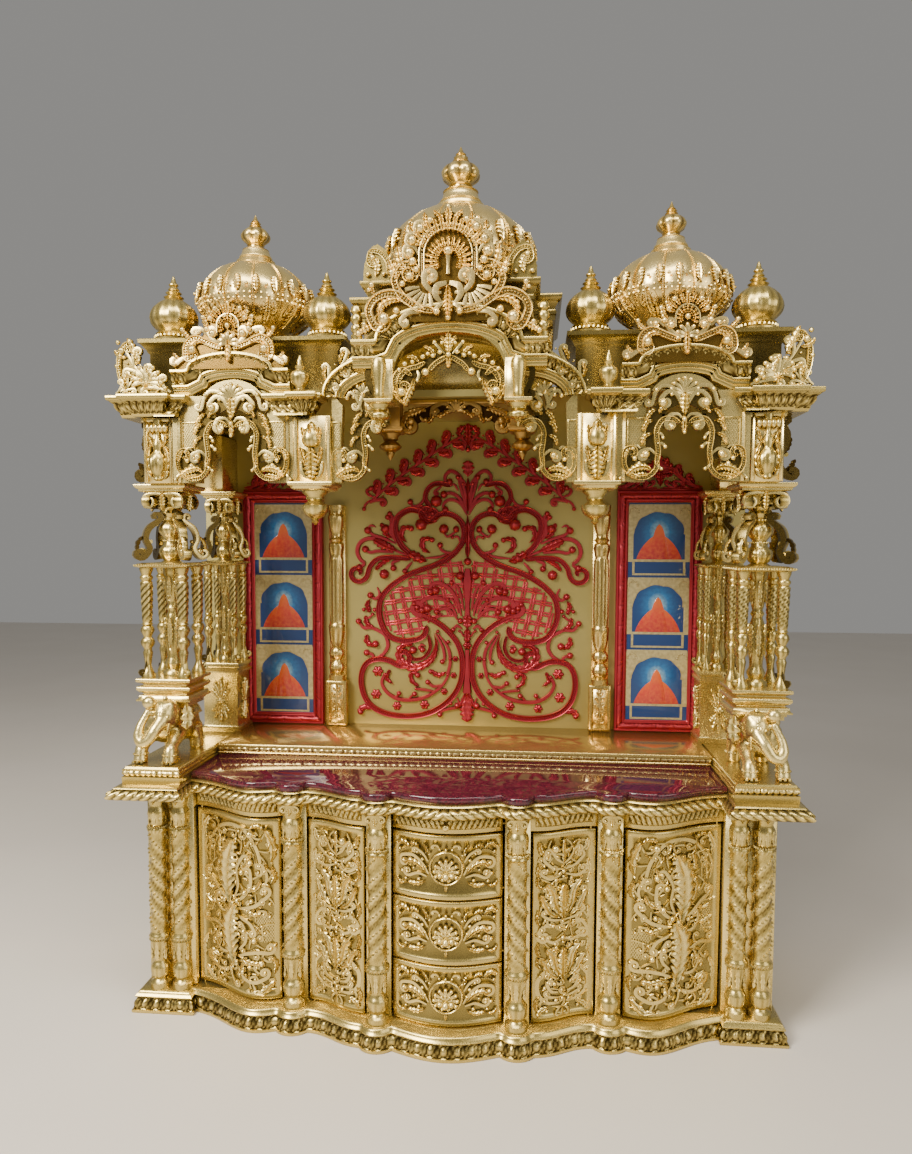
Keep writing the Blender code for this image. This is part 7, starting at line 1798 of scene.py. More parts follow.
# %% Harness and saddle
harness = joined(
    *[ring_of_beads(ankle, radius, 16) for ankle, radius in (((-0.036, -0.114, 0.02), 0.0162),
            ((0.036, -0.108, 0.02), 0.0162), ((-0.033, 0.05, 0.022), 0.0185), ((0.033, 0.05, 0.022), 0.0185))],
    *[balls([(leg_x + dx, leg_y, 0.004) for dx in (-0.01, 0, 0.01)], 0.0046, BEAD)
        for leg_x, leg_y in ((-0.036, -0.133), (0.036, -0.127))],
    egg((0.011, -0.114, 0.142), (0.015, 0.015, 0.015)),
    balls([(-0.036, -0.1225, 0.11), (-0.006, -0.1225, 0.11)], 0.004),
    ring_of_beads((-0.02, -0.094, 0.139), (0.016, 0.017), 14), balls([(-0.02, -0.096, 0.149)], 0.0065),
    laid(leaf([(0, 0.03), (0, 0)], 0.011, 0.004, 4),
        lambda u, v, w: (-0.02 + u, -0.126 - w + 0.4 * v, 0.112 + v)))
cloth_u = np.linspace(0.32, math.pi - 0.32, 29)
cloth = surface(np.stack([np.stack([0.05 * np.cos(cloth_u), np.full(29, y), 0.076 + 0.05 * np.sin(cloth_u)], 1)
                for y in np.linspace(-0.044, 0.046, 13)] +
                [np.stack([0.04 * np.cos(cloth_u), np.full(29, y), 0.076 + 0.04 * np.sin(cloth_u)], 1)
                 for y in np.linspace(0.046, -0.044, 13)]).transpose(1, 0, 2), 0.85)
cloth_edge = [np.column_stack([0.0505 * np.cos(cloth_u), np.full(29, y), 0.076 + 0.0505 * np.sin(cloth_u)])
    for y in (-0.044, 0.046)]
hem = [np.column_stack([np.full(17, s * 0.0505 * math.cos(0.32)), np.linspace(-0.044, 0.046, 17),
                        np.full(17, 0.076 + 0.0505 * math.sin(0.32))]) for s in (-1, 1)]
saddle = joined(
    cloth, balls(np.vstack(cloth_edge + hem), 0.0026, BEAD), *[
        laid(rosette(0, 0, 0.014, 8, 0.004), lambda u, v, w: (s * (0.0445 + w), u, 0.098 + 0.9 * v))
        for s in (-1, 1)],
    square_block(0, 0, 0.052, [(0.004, 0.118), (0, 0.119), (0, 0.1272), (0.001, 0.1277)]))
whole = joined(elephant, ears, tusks, harness, saddle)
whole = moved(whole, FRONT_X, FRONT_Y, 0.5943)
make_pair("elephant", whole, carved_gold)
print("elephant triangles", added["right_elephant_carved"], "height", round(float(np.ptp(whole[0][:, 2])), 3))

# %% [markdown]
# ## Cornices and posts
# Over the columns lies a cornice that breaks forward in front of each post. Its section leans out: a
# fillet, a sloping band of eggs in leaves, and a square top edge. The outline is the same as for any
# moulded block, so one list of levels serves every cornice of the temple.

# %% Cornice
def cornice_levels(low, high, reach):
    """Levels from a lower fillet over a sloping band to a square top; shares of the height and the reach."""
    shares = [(1, 0), (0.98, 0.01), (0.95, 0.09), (0.88, 0.13)]
    shares += [(0.84 - 0.52 * k / 7, 0.15 + 0.52 * k / 7) for k in range(8)]
    shares += [(0.28, 0.69), (0.18, 0.75), (0.05, 0.77), (0, 0.8), (0, 0.96), (0.05, 1)]
    return [(reach * a, low + (high - low) * b) for a, b in shares]


def cornice(rows, low=1.388, high=1.436, reach=0.026, motif=0.0205, height=0.0036):
    """A moulded block with the cornice's section; its sloping band carries eggs in their leaves."""
    tall = high - low
    levels = cornice_levels(low, high, reach)
    relief = patterned(rows, levels, egg_and_leaf, motif, height, low + 0.14 * tall, low + 0.685 * tall)
    return moulded(rows, levels, relief)


def bud(x, y, low, high, radius, shares, flutes=7, zones=((0.18, 0.42),)):
    """A turned bud on a post, fluted between the named shares of its height."""
    def ripple(angle, share):
        return sum(0.1 * (np.abs(np.sin(flutes * angle / 2)) ** 0.8 - 0.6) * within(share, *zone)
            for zone in zones)
    return turned_column(shares, low, high, radius, (x, y), ripple, 28, 44)[0]

# %% Corner cornices
POST_LOW, POST_TOP = 1.2413, 1.3885
corner_line = outline(
    [(0.6, -0.164), (0.632, -0.164), (0.632, -0.183), (0.75, -0.183), (0.75, -0.164), (0.785, -0.164),
        (0.785, WALL_Y), (0.648, WALL_Y), (0.648, -0.1355), (0.6, -0.1355)], 0.0034)
corner = [
    cornice(corner_line), box((0.647, -0.124, POST_LOW), (0.713, 0.006, POST_TOP)),
    box((0.69, 0.004, 1.338), (0.73, WALL_Y, POST_TOP)),
    box((0.647, 0.184, POST_LOW), (0.723, WALL_Y, POST_TOP))]
for u in (0.65, 0.71):
    corner.append(box((u - 0.004, -0.13, POST_LOW), (u + 0.004, -0.123, POST_TOP)))
    corner.append(box((u - 0.0018, -0.133, POST_LOW), (u + 0.0018, -0.129, POST_TOP)))
corner.append(square_block(0.68, -0.09, 0.0385, [(0.006, 1.3765), (0.003, 1.38), (0, 1.382), (0, 1.3882)]))
post_bud = [
    (0.35, 0), (0.62, 0.03), (0.42, 0.07), (0.7, 0.12), (1.0, 0.22), (1.05, 0.32), (0.88, 0.42), (0.55, 0.47),
    (0.46, 0.5), (0.6, 0.54), (0.56, 0.62), (0.42, 0.68), (0.3, 0.72), (0.38, 0.75), (0.22, 0.79), (0.35, 0.82),
    (0.5, 1)]
corner.append(bud(0.68, -0.129, 1.246, 1.384, 0.02, post_bud, 14, ((0.14, 0.44), (0.52, 0.66))))
corner.append(joined(*[egg((0.68 + dx, -0.1325, 1.366), (0.006, 0.0075, 0.0105), 12)
            for dx in (-0.02, -0.01, 0, 0.01, 0.02)]))
corner_leaves = with_mirror(leaf([(0.01, 1.25), (0.021, 1.272), (0.024, 1.3), (0.016, 1.326)], 0.0085, 0.01, 5),
                            leaf([(0.006, 1.318), (0.016, 1.332), (0.021, 1.35)], 0.006, 0.008, 3),
                            rib([(8, 1250), (18, 1256), (22, 1266)], 4, 4.5))
corner.append(laid(moved(corner_leaves, u=0.68), on_plane(-0.1265)))
side_scroll = joined(
    strand(curled(curled(
                [(0.01, 1.372), (0.024, 1.35), (0.02, 1.322), (0.006, 1.296), (0.014, 1.268), (0.03, 1.256)],
                0.012, 1.1, 1), 0.0125, 1.2, -1, True), [0.004, 0.006, 0.0075, 0.006, 0.0085, 0.008, 0.005],
        0.0135, 40, -0.0135), balls(
        [(0.0215, 1.364, 0.0), (0.031, 1.269, 0.0), (0.01, 1.34, 0.0), (0.025, 1.306, 0.0)],
        [0.0085, 0.0095, 0.0055, 0.006]),
    leaf([(0.012, 1.3), (0.026, 1.318), (0.034, 1.342)], 0.007, 0.008, 4, -0.008),
    leaf([(0.016, 1.268), (0.034, 1.276), (0.044, 1.294)], 0.007, 0.008, 4, -0.008))
corner.append(laid(side_scroll, lambda u, v, w: (0.713 + u, -0.058 + w, v)))
corner.append(laid(side_scroll, lambda u, v, w: (0.728 + 0.8 * u, 0.225 + w, v)))
ornament = joined(
    scroll_run([(-0.054, 1.444), (-0.03, 1.452), (-0.004, 1.47), (0.02, 1.498), (0.04, 1.532)], 0.026, 5,
        0.0085), scroll_run([(0.056, 1.444), (0.04, 1.452), (0.026, 1.47)], 0.02, 3, 0.008, first=-1),
    beaded_band([(44, 1446), (56, 1482), (56, 1520), (44, 1544)], 6, 2.2, 0.008, (10, 1.2, 1)),
    shell(-0.006, 1.462, 0.04, 9, 0.009, 100), rosette(-0.006, 1.456, 0.014, 8, 0.011),
    dots((50, 1534, 7), (-40, 1462, 6), (-28, 1478, 5), (-50, 1450, 5), (30, 1552, 5), (58, 1552, 4.5),
        (62, 1500, 4.5), height=0.005), leaf([(0.006, 1.5), (0.02, 1.528), (0.034, 1.56)], 0.012, 0.009, 5))
# The plate behind the ornament has a low tone, which paints it in shade.
ornament = joined(
    ornament, plate([(-0.05, 1.434), (-0.03, 1.434), (0.01, 1.434), (0.05, 1.434)],
        [(-0.044, 1.446), (-0.014, 1.47), (0.026, 1.51), (0.052, 1.53)], -0.004, 0.001, 0.2))
corner.append(laid(moved(ornament, u=0.695), on_plane(-0.156)))
make_pair("corner_cornice", joined(*corner), carved_gold)
print("corner cornice triangles", added["right_corner_cornice_carved"])

# %% Outer posts
post_line = outline(
    [(0.2915, -0.164), (0.298, -0.164), (0.298, -0.183), (0.366, -0.183), (0.366, -0.164), (0.424, -0.164),
        (0.424, -0.1355), (0.356, -0.1355), (0.356, -0.092), (0.2915, -0.092)], 0.0034)
post = [cornice(post_line), box((0.2735, -0.145, POST_LOW - 0.001), (0.3575, -0.0905, POST_TOP))]
for u in (0.278, 0.353):
    post.append(box((u - 0.0045, -0.15, POST_LOW), (u + 0.0045, -0.144, POST_TOP)))
    post.append(box((u - 0.002, -0.1525, POST_LOW), (u + 0.002, -0.149, POST_TOP)))
flame = [(0.4, 0), (0.75, 0.06), (1.0, 0.22), (1.02, 0.4), (0.86, 0.58), (0.7, 0.7), (0.42, 0.8), (0.5, 0.86),
    (0.28, 0.95), (0.05, 1)]
post.append(bud(0.3155, -0.147, 1.317, 1.376, 0.021, flame, 12, ((0.05, 0.75),)))
fronds = joined(
    leaf([(0, 1.322), (0, 1.285), (0, 1.246)], 0.024, 0.017, 7, -0.004, 0.0),
    with_mirror(leaf([(0.006, 1.268), (0.016, 1.29), (0.023, 1.318)], 0.0085, 0.013, 5),
        leaf([(0.004, 1.33), (0.015, 1.338), (0.02, 1.362)], 0.0075, 0.014, 4),
        rib([(4, 1250), (16, 1254), (23, 1268), (24, 1284)], 4.5, 4)),
    leaf([(0, 1.316), (0, 1.345), (0, 1.368)], 0.009, 0.021, 4))
post.append(laid(moved(fronds, u=0.3155), on_plane(-0.146)))
post.append(
    square_block(0.3155, -0.12, 0.05, [(0.012, 1.2235), (0.01, 1.225), (0.006, 1.227), (0.005, 1.231),
            (0.001, 1.233), (0, 1.2345), (0, 1.24), (0.001, 1.2412)]))
bell = [
    (0.05, 0), (0.18, 0.05), (0.3, 0.1), (0.2, 0.15), (0.42, 0.2), (0.8, 0.3), (0.98, 0.44), (1.0, 0.56),
    (0.66, 0.64), (0.52, 0.7), (0.66, 0.74), (0.6, 0.82), (0.86, 0.9), (0.95, 0.94), (0.95, 1)]
post.append(bud(0.3155, -0.12, 1.1465, 1.224, 0.031, bell, 18, ((0.22, 0.62),)))
urn = [
    (0.75, 0), (0.95, 0.03), (0.9, 0.07), (0.45, 0.12), (0.48, 0.18), (0.82, 0.26), (1.0, 0.4), (0.98, 0.5),
    (0.7, 0.58), (0.42, 0.62), (0.5, 0.66), (0.55, 0.7), (0.32, 0.74), (0.4, 0.8), (0.3, 0.84), (0.2, 0.86),
    (0.24, 0.9), (0.04, 1)]
post.append(bud(0.336, -0.1635, 1.434, 1.517, 0.0215, urn, 16, ((0.22, 0.58),)))
make_pair("outer_post", joined(*post), carved_gold)
print("posts", added["right_corner_cornice_carved"], added["right_outer_post_carved"])

# %% [markdown]
# ## Arches
# A hood is a cornice bent over an arch: one section swept along a path in the upright plane. Inside hangs
# a fret, carved right through: beaded scrolls, fans and hooks that end in balls. A thin web behind the
# scrolls holds them together, as the carver leaves it between the cuts; its low tone paints it in shade.

# %% Hood and arch tools
def bow(half, shoulder, top, steps=40):
    """A half ellipse from left to right: x = -half cos(a), z = shoulder + rise sin(a)."""
    a = np.linspace(0, math.pi, steps)
    return np.column_stack([-half * np.cos(a), shoulder + (top - shoulder) * np.sin(a)])


HOOD_SHARES = [(0, -1), (0, 0.96), (0.02, 1), (0.11, 1), (0.13, 0.9)]
HOOD_SHARES += [(0.15 + 0.4 * k / 7, 0.86 - 0.42 * k / 7) for k in range(8)]
HOOD_SHARES += [(0.57, 0.46), (0.6, 0.52), (0.66, 0.52), (0.69, 0.34), (0.72, 0.3), (0.8, 0.3), (0.84, 0.14),
    (0.87, 0.12), (0.96, 0.12), (1.0, 0.02), (1.0, -1)]


def hood(path, band, proud, back, motif=0.0205, height=0.0036):
    """The cornice section swept on a path: band wide, proud in front of the plane and back behind it."""
    path = even(path, int(length(path) / 0.0029))
    rows = np.hstack([path, sideways(path)])
    section = [(band * o, proud * w if w > 0 else -back) for o, w in HOOD_SHARES]
    return moulding(rows, section, lambda p, q: egg_and_leaf(p, -q), motif, height, 0.14 * band, 0.56 * band)


def arch_plate(half, low, spring, top, outer, upper, depth):
    """The plate round an opening: a strip from the opening's edge out to a rectangle."""
    rim = square_rim(np.linspace(0, math.pi, 41), outer, upper - spring) * (-1, 1) + (0, spring)
    inner = np.vstack([(-half, low), bow(half, spring, top, 41), (half, low)])
    rim = np.vstack([(-outer, low), rim, (outer, low)])
    return plate(inner, rim, -depth, 0.0, 0.75)


def web(points, width, tone=0.12):
    """The thin board left between the cuts: a low flat strand along a path, with a back. Its low tone
    paints it in shade behind the scrolls.
    """
    path = curve(mm(points), 40)
    out = sideways(path)[:, None] * (np.array([-1, -1, 1, 1]) * width / 1000)[None, :, None]
    flat = path[:, None] + out
    lift = np.broadcast_to(np.array([-0.006, 0.001, 0.001, -0.006]), (40, 4))
    return surface(np.concatenate([flat, lift[..., None]], 2), tone)

# %% Scroll fret
def fret_half():
    """Right half of the fret in mm: cusp volute, beaded leg, leaves outside, hooks inside, scroll foot."""
    return joined(
        web([(4, 1425), (22, 1415), (44, 1402), (58, 1375), (66, 1345), (66, 1315), (74, 1290)], 13),
        web([(2, 1378), (24, 1378), (46, 1376)], 9),
        web([(82, 1306), (104, 1298), (112, 1274), (98, 1256), (76, 1254)], 9),
        beaded_band([(10, 1366), (26, 1374), (46, 1372), (58, 1352), (57, 1328), (54, 1304), (58, 1278)], 6.2,
            2.3, 0.011), vine([(6, 1376), (14, 1384), (30, 1382), (38, 1368)], 4.4, (11, 1.25, -1), 0.012),
        dots((26, 1357, 6.5), height=0.006),
        vine([(2, 1392), (16, 1424), (34, 1432), (48, 1420)], 4.6, (13, 1.2, -1), 0.012),
        dots((45.5, 1408, 9), height=0.007),
        vine([(6, 1418), (24, 1440), (48, 1444), (62, 1430), (68, 1408)], 4.0, (9, 1.1, 1), 0.01),
        dots((60, 1436, 4.5), height=0.006), leaf(mm([(58, 1396), (72, 1388), (82, 1370)]), 0.009, 0.01, 4),
        leaf(mm([(64, 1372), (80, 1366), (86, 1348)]), 0.009, 0.01, 4),
        leaf(mm([(66, 1344), (82, 1338), (88, 1320)]), 0.008, 0.009, 4),
        leaf(mm([(34, 1392), (46, 1398), (54, 1386)]), 0.007, 0.009, 3),
        rib([(56, 1346), (48, 1342), (44, 1334)], 4, 4.6, 0.01),
        rib([(56, 1322), (46, 1322), (39, 1315)], 4, 5.6, 0.01),
        rib([(58, 1282), (52, 1272), (46, 1268)], 4, 4.4, 0.01),
        beaded_band([(56, 1296), (58, 1268), (78, 1250), (104, 1252), (124, 1272), (126, 1300)], 5.6, 2.2,
            0.011, (16, 0.9, 1)), leaf(mm([(64, 1262), (82, 1272), (104, 1268), (120, 1254)]), 0.013, 0.012, 7),
        leaf(mm([(70, 1254), (88, 1256), (112, 1250)]), 0.009, 0.01, 5),
        vine([(60, 1300), (72, 1310), (88, 1306)], 4.2, (11, 1.2, -1), 0.011),
        dots((80, 1299, 7.5), (104, 1290, 5), (94, 1278, 5.5), height=0.007),
        rib([(122, 1262), (130, 1252), (134, 1248)], 3.4, 4.0, 0.009),
        rib([(92, 1312), (100, 1318), (108, 1312)], 3.6, 4.4, 0.01),
        small_leaf([(108, 1314), (120, 1306), (124, 1290)], 6, 0.009))


def fret_middle(fan=0.036):
    """The fret's middle: a fan of petals, a leaf up to it, a leaf down from it, and two balls."""
    return joined(
        shell(0, 1.427, fan, 9, 0.011, 92), leaf([(0, 1.38), (0, 1.406), (0, 1.428)], 0.016, 0.012, 5),
        leaf([(0, 1.384), (0, 1.362), (0, 1.344)], 0.01, 0.012, 4),
        dots((0, 1345, 4), (0, 1372, 5), height=0.01))


# %% Side arches
SIDE_ARCH_X = 0.5
side_hood = hood(
    np.vstack([[(-0.135, 1.492), (-0.101, 1.492)], bow(0.1, 1.492, 1.53), [(0.101, 1.492), (0.135, 1.492)]]),
    0.056, 0.025, 0.022)
jambs = arch_plate(0.08, POST_LOW, 1.4, 1.472, 0.1417, 1.4362, 0.027)
grounds = []
for u0, u1 in ((-0.117, -0.083), (0.083, 0.117)):
    grounds += [
        frame_ring(u0 - 0.003, u1 + 0.003, 1.318, 1.379,
            [(0, 0), (0, 0.003), (0.001, 0.004), (0.003, 0.004), (0.004, 0)]),
        hatch(1000 * u0, 1319, 1000 * u1, 1378, 9)]
for u in (-0.126, 0.126):
    grounds += [laid(box((u - 0.0035, 0, POST_LOW), (u + 0.0035, 0.0045, POST_TOP)), lambda a, b, c: (a, c, b))]
side_fret = joined(with_mirror(fret_half()), fret_middle())
side_arch = joined(laid(side_hood, on_plane(-0.135)), laid(joined(jambs, *grounds), on_plane(-0.1348)),
                   laid(side_fret, on_plane(-0.139)))
make_pair("side_arch", moved(side_arch, u=SIDE_ARCH_X), carved_gold)
print("side arch triangles", added["right_side_arch_carved"])

# %% Quarter arches
quarter = np.linspace(0, math.pi / 2, 40)
over = np.column_stack([0.1575 + 0.134 * np.cos(quarter), 1.43 + 0.09 * np.sin(quarter)])[::-1]
band = hood(over, 0.048, 0.022, 0.024)
leg = plate([(0.251, POST_LOW), (0.251, 1.33), (0.248, 1.412)],
    [(0.2725, POST_LOW), (0.2725, 1.33), (0.2725, 1.44)], -0.026, 0.0, 0.75)
leg_ground = joined(hatch(254, 1319, 270, 1372, 8),
    frame_ring(0.252, 0.272, 1.316, 1.376, [(0, 0), (0, 0.003), (0.001, 0.0036), (0.0025, 0.0036), (0.003, 0)]))
quarter_fret = moved(fret_half(), u=0.142)
kept_fret = joined(
    quarter_fret, moved(with_mirror(rib([(4, 1398), (16, 1428), (30, 1440), (38, 1428)], 5, 6, 0.011)), u=0.2),
    moved(shell(0, 1.43, 0.03, 7, 0.01, 90), u=0.2))
quarter_arch = joined(
    laid(band, on_plane(-0.132)), laid(joined(leg, leg_ground), on_plane(-0.134)),
    laid(kept_fret, on_plane(-0.126)), laid(
        scroll_run([(0.288, 1.448), (0.262, 1.486), (0.226, 1.512), (0.2, 1.53)], 0.024, 5, 0.01),
        on_plane(-0.138)))
make_pair("quarter_arch", quarter_arch, carved_gold)
print("quarter arch triangles", added["right_quarter_arch_carved"])

# %% Centre canopy
canopy_path = np.vstack(
    [[(-0.205, 1.53), (-0.156, 1.53)], bow(0.155, 1.53, 1.602, 60), [(0.156, 1.53), (0.205, 1.53)]])
canopy_hood = hood(canopy_path, 0.056, 0.026, 0.05, 0.0215, 0.004)
canopy = [laid(canopy_hood, on_plane(-0.219))]
inner_path = bow(0.1165, 1.47, 1.553, 60)
tympanum = plate(inner_path, bow(0.155, 1.48, 1.585, 60), -0.01, 0.0, 0.6)
ceiling = [np.column_stack([np.r_[-0.198, p[:, 0], 0.198], np.r_[1.505, p[:, 1], 1.505]])
    for p in (bow(0.15, 1.505, 1.57, 40), bow(0.185, 1.515, 1.598, 40))]
canopy.append(laid(plate(ceiling[0], ceiling[1], -0.184, 0.0, 0.6), on_plane(-0.215)))
canopy.append(laid(tympanum, on_plane(-0.222)))

# %% Canopy's fret
canopy_half = joined(
    web([(3, 1497), (30, 1487), (58, 1472), (84, 1458), (104, 1440), (104, 1420)], 11),
    beaded_band([(4, 1494), (18, 1486), (30, 1478), (42, 1464)], 5.6, 2.1, 0.01),
    dots((48, 1462, 8), height=0.008),
    beaded_band([(50, 1482), (66, 1474), (84, 1470), (100, 1456), (106, 1440)], 5.6, 2.1, 0.01),
    rib([(66, 1468), (62, 1456), (66, 1446)], 4, 4.8, 0.01),
    beaded_band([(78, 1456), (96, 1468), (112, 1456), (112, 1432)], 5.8, 2.1, 0.011, (17, 1.1, -1)),
    leaf(mm([(72, 1452), (76, 1434), (86, 1414), (92, 1392)]), 0.012, 0.013, 6),
    dots((99, 1422, 9), height=0.009), leaf(mm([(112, 1440), (112, 1418), (96, 1398)]), 0.008, 0.012, 4),
    leaf(mm([(26, 1490), (36, 1508), (52, 1516)]), 0.007, 0.008, 4),
    rib([(8, 1500), (20, 1512), (30, 1524)], 4, 5, 0.009),
    leaf(mm([(60, 1480), (72, 1494), (88, 1494)]), 0.007, 0.008, 4),
    dots((18, 1503, 4.5), (33, 1496, 4.5), (54, 1494, 5), (44, 1500, 4.2), (76, 1484, 4.5), (92, 1480, 5),
        (104, 1468, 4.5), (14, 1522, 3.8), height=0.007),
    small_leaf([(2, 1500), (6, 1520), (16, 1536)], 6, 0.008))
canopy_fret = joined(
    with_mirror(canopy_half), leaf([(0, 1.5), (0, 1.484), (0, 1.47)], 0.01, 0.012, 4),
    leaf([(0, 1.498), (0, 1.52), (0, 1.542)], 0.012, 0.01, 5), dots((0, 1497, 5.5), height=0.009))
canopy.append(laid(canopy_fret, on_plane(-0.226)))

# %% Canopy's drops and shoulders
drop_shape = [
    (0.04, 0), (0.16, 0.06), (0.28, 0.12), (0.2, 0.18), (0.42, 0.24), (0.36, 0.3), (0.86, 0.4), (1.0, 0.52),
    (0.86, 0.62), (0.5, 0.7), (0.7, 0.76), (0.56, 0.82), (0.86, 0.9), (0.95, 0.95), (0.95, 1)]
vase = [(0.55, 0), (0.85, 0.05), (0.62, 0.12), (0.66, 0.3), (0.86, 0.55), (1.0, 0.78), (0.95, 0.92), (0.8, 1)]
for side in (-1, 1):
    canopy.append(square_block(side * 0.146, -0.228, 0.029,
            [(0.006, 1.3962), (0.005, 1.398), (0.001, 1.4), (0, 1.401), (0, 1.405), (0.001, 1.406)]))
    canopy.append(bud(side * 0.146, -0.228, 1.349, 1.397, 0.0235, drop_shape, 14, ((0.36, 0.64),)))
    canopy.append(joined(box((side * 0.137 - 0.02, -0.237, 1.4055), (side * 0.137 + 0.02, -0.14, 1.49)),
                         box((side * 0.137 - 0.016, -0.2405, 1.4055), (side * 0.137 + 0.016, -0.236, 1.482))))
    canopy.append(bud(side * 0.146, -0.2385, 1.408, 1.49, 0.0165, vase, 10, ((0.15, 0.95),)))
    shoulder = rectangle(min(side * 0.152, side * 0.205), max(side * 0.152, side * 0.205), -0.2436, -0.138,
        0.0029)
    canopy.append(cornice(shoulder, 1.49, 1.529, 0.016, 0.0205, 0.0034))
canopy_side = laid(
    joined(strand(curled(curled([(0.006, 1.484), (0.018, 1.47), (0.016, 1.446), (0.006, 1.424)], 0.01, 1.1, 1),
                0.011, 1.2, -1, True), [0.004, 0.006, 0.0065, 0.005], 0.011, 30, -0.011),
        balls([(0.017, 1.47, 0), (0.014, 1.428, 0)], 0.006)), lambda u, v, w: (0.156 + u, -0.205 + w, v))
canopy.append(with_mirror(canopy_side))
make("canopy_carved", joined(*canopy), carved_gold, instead=["centre_canopy"])
print("canopy triangles", added["canopy_carved"])

# %% Inner arch
inner_half = joined(
    web([(2, 1424), (30, 1420), (60, 1408), (88, 1396), (108, 1380)], 12, 0.05),
    leaf(mm([(66, 1420), (88, 1410), (112, 1400), (120, 1380)]), 0.014, 0.01, 7),
    vine([(70, 1410), (92, 1412), (114, 1402), (122, 1384)], 5, (18, 1.3, -1), 0.011),
    dots((104, 1386, 8), height=0.008), leaf(mm([(96, 1366), (112, 1362), (126, 1374)]), 0.008, 0.01, 5),
    rib([(84, 1396), (76, 1388), (70, 1390)], 4, 5, 0.01),
    leaf(mm([(60, 1412), (56, 1396), (66, 1382)]), 0.009, 0.009, 4),
    vine([(10, 1416), (30, 1426), (50, 1418)], 4.4, (10, 1.2, -1), 0.01),
    rib([(40, 1410), (42, 1400), (36, 1396)], 4, 4.6, 0.009),
    leaf(mm([(20, 1414), (30, 1402), (44, 1400)]), 0.008, 0.009, 4))
inner = joined(with_mirror(inner_half), shell(0, 1.408, 0.026, 7, 0.009, 95),
    laid(box((-0.13, 0, 1.425), (0.13, 0.008, 1.4355)), lambda u, v, w: (u, w, v - 0.004)))
inner_pieces = [laid(inner, on_plane(-0.056))]
for side in (-1, 1):
    x, y = side * 0.153, -0.056
    inner_pieces.append(square_block(x, y, 0.026, [(0.0, 1.3715), (0.0, 1.4355)]))
    inner_pieces.append(square_block(x, y, 0.0328,
            [(0.006, 1.3582), (0.005, 1.36), (0.001, 1.364), (0, 1.3655), (0, 1.3705), (0.001, 1.3718)]))
    inner_pieces.append(bud(x, y, 1.2972, 1.3595, 0.0255, drop_shape, 16, ((0.36, 0.64),)))
make("inner_arch_carved", joined(*inner_pieces), dark_gold, instead=["inner_arch"])
print("triangles so far", sum(added.values()))

# %% [markdown]
# ## Attics and onions
# Low attic boxes carry the roof, with a small fluted onion at each front corner. Their walls are flat
# painted board; the cornice is one run of moulding, mitred at the corners.

# %% Attics
FLAT = 0.3


def plain_moulded(rows, levels, tone=FLAT):
    """A moulded block of one tone, for boards that carry no carving."""
    block = moulded(rows, levels)
    return block[0], block[1], np.full(len(block[0]), tone)


def attic_levels(low, high, reach):
    """Levels of an attic: a wall set in by the reach, and a cornice that comes out to the outline."""
    shares = [
        (1, 0), (1, 0.735), (0.96, 0.75), (0.8, 0.765), (0.74, 0.8), (0.56, 0.84), (0.5, 0.85), (0.42, 0.87),
        (0.24, 0.9), (0.2, 0.905), (0.02, 0.925), (0, 0.935), (0, 0.995), (0.05, 1)]
    return [(reach * a, low + (high - low) * b) for a, b in shares]


ONION = [
    (0.86, 0), (0.9, 0.02), (0.88, 0.045), (0.6, 0.06), (0.52, 0.085), (0.56, 0.1), (0.74, 0.125), (0.76, 0.14),
    (0.62, 0.155), (0.66, 0.18), (0.84, 0.23), (0.96, 0.29), (1.0, 0.36), (0.97, 0.43), (0.88, 0.5),
    (0.74, 0.56), (0.56, 0.61), (0.4, 0.645), (0.34, 0.66), (0.4, 0.67), (0.42, 0.685), (0.34, 0.7),
    (0.24, 0.72), (0.3, 0.735), (0.34, 0.75), (0.28, 0.77), (0.18, 0.785), (0.24, 0.8), (0.26, 0.815),
    (0.18, 0.835), (0.14, 0.85), (0.2, 0.865), (0.2, 0.88), (0.13, 0.9), (0.1, 0.95), (0.03, 1)]


def onion(x, y):
    """A fluted onion dome on its attic, with a ring of beads round its foot."""
    def ripple(angle, share):
        return 0.07 * (np.abs(np.sin(8 * angle)) ** 0.7 - 0.65) * within(share, 0.17, 0.64)
    return joined(turned_column(ONION, 1.5735, 1.7295, 0.055, (x, y), ripple, 48, 44)[0],
                  ring_of_beads((x, y, 1.5855), 0.0435, 26, 0.0042))


side_walls = outline([(0.2495, -0.104), (0.7348, -0.104), (0.7348, 0.2988), (0.2495, 0.2988)], 0.004)
attic = joined(plain_moulded(side_walls, attic_levels(1.4523, 1.574, 0.02)), onion(0.671, -0.046),
    onion(0.303, -0.046))
make_pair("attic", attic, carved_gold)
print("attic triangles", added["right_attic_carved"])

# %% [markdown]
# ## Domes
# Ribs of plaster-smooth wood swell from a narrow foot, with a bead line in each groove, a band of upright
# leaves at the widest part and long leaf panels below it. On top sits a bulb of petals and a ringed tip.

# %% Dome
def at_angles(shape, count, start, centre, radius_at):
    """Copies of flat ornament at even angles round a turned piece, each as wide as it was drawn."""
    def place(turn):
        def at(u, v, w):
            radius = radius_at(v)
            angle = turn + u / np.maximum(radius, 0.004)
            return centre[0] + (radius + w) * np.cos(angle), centre[1] + (radius + w) * np.sin(angle), v
        return at
    return joined(*[laid(shape, place(start + math.tau * k / count)) for k in range(count)])


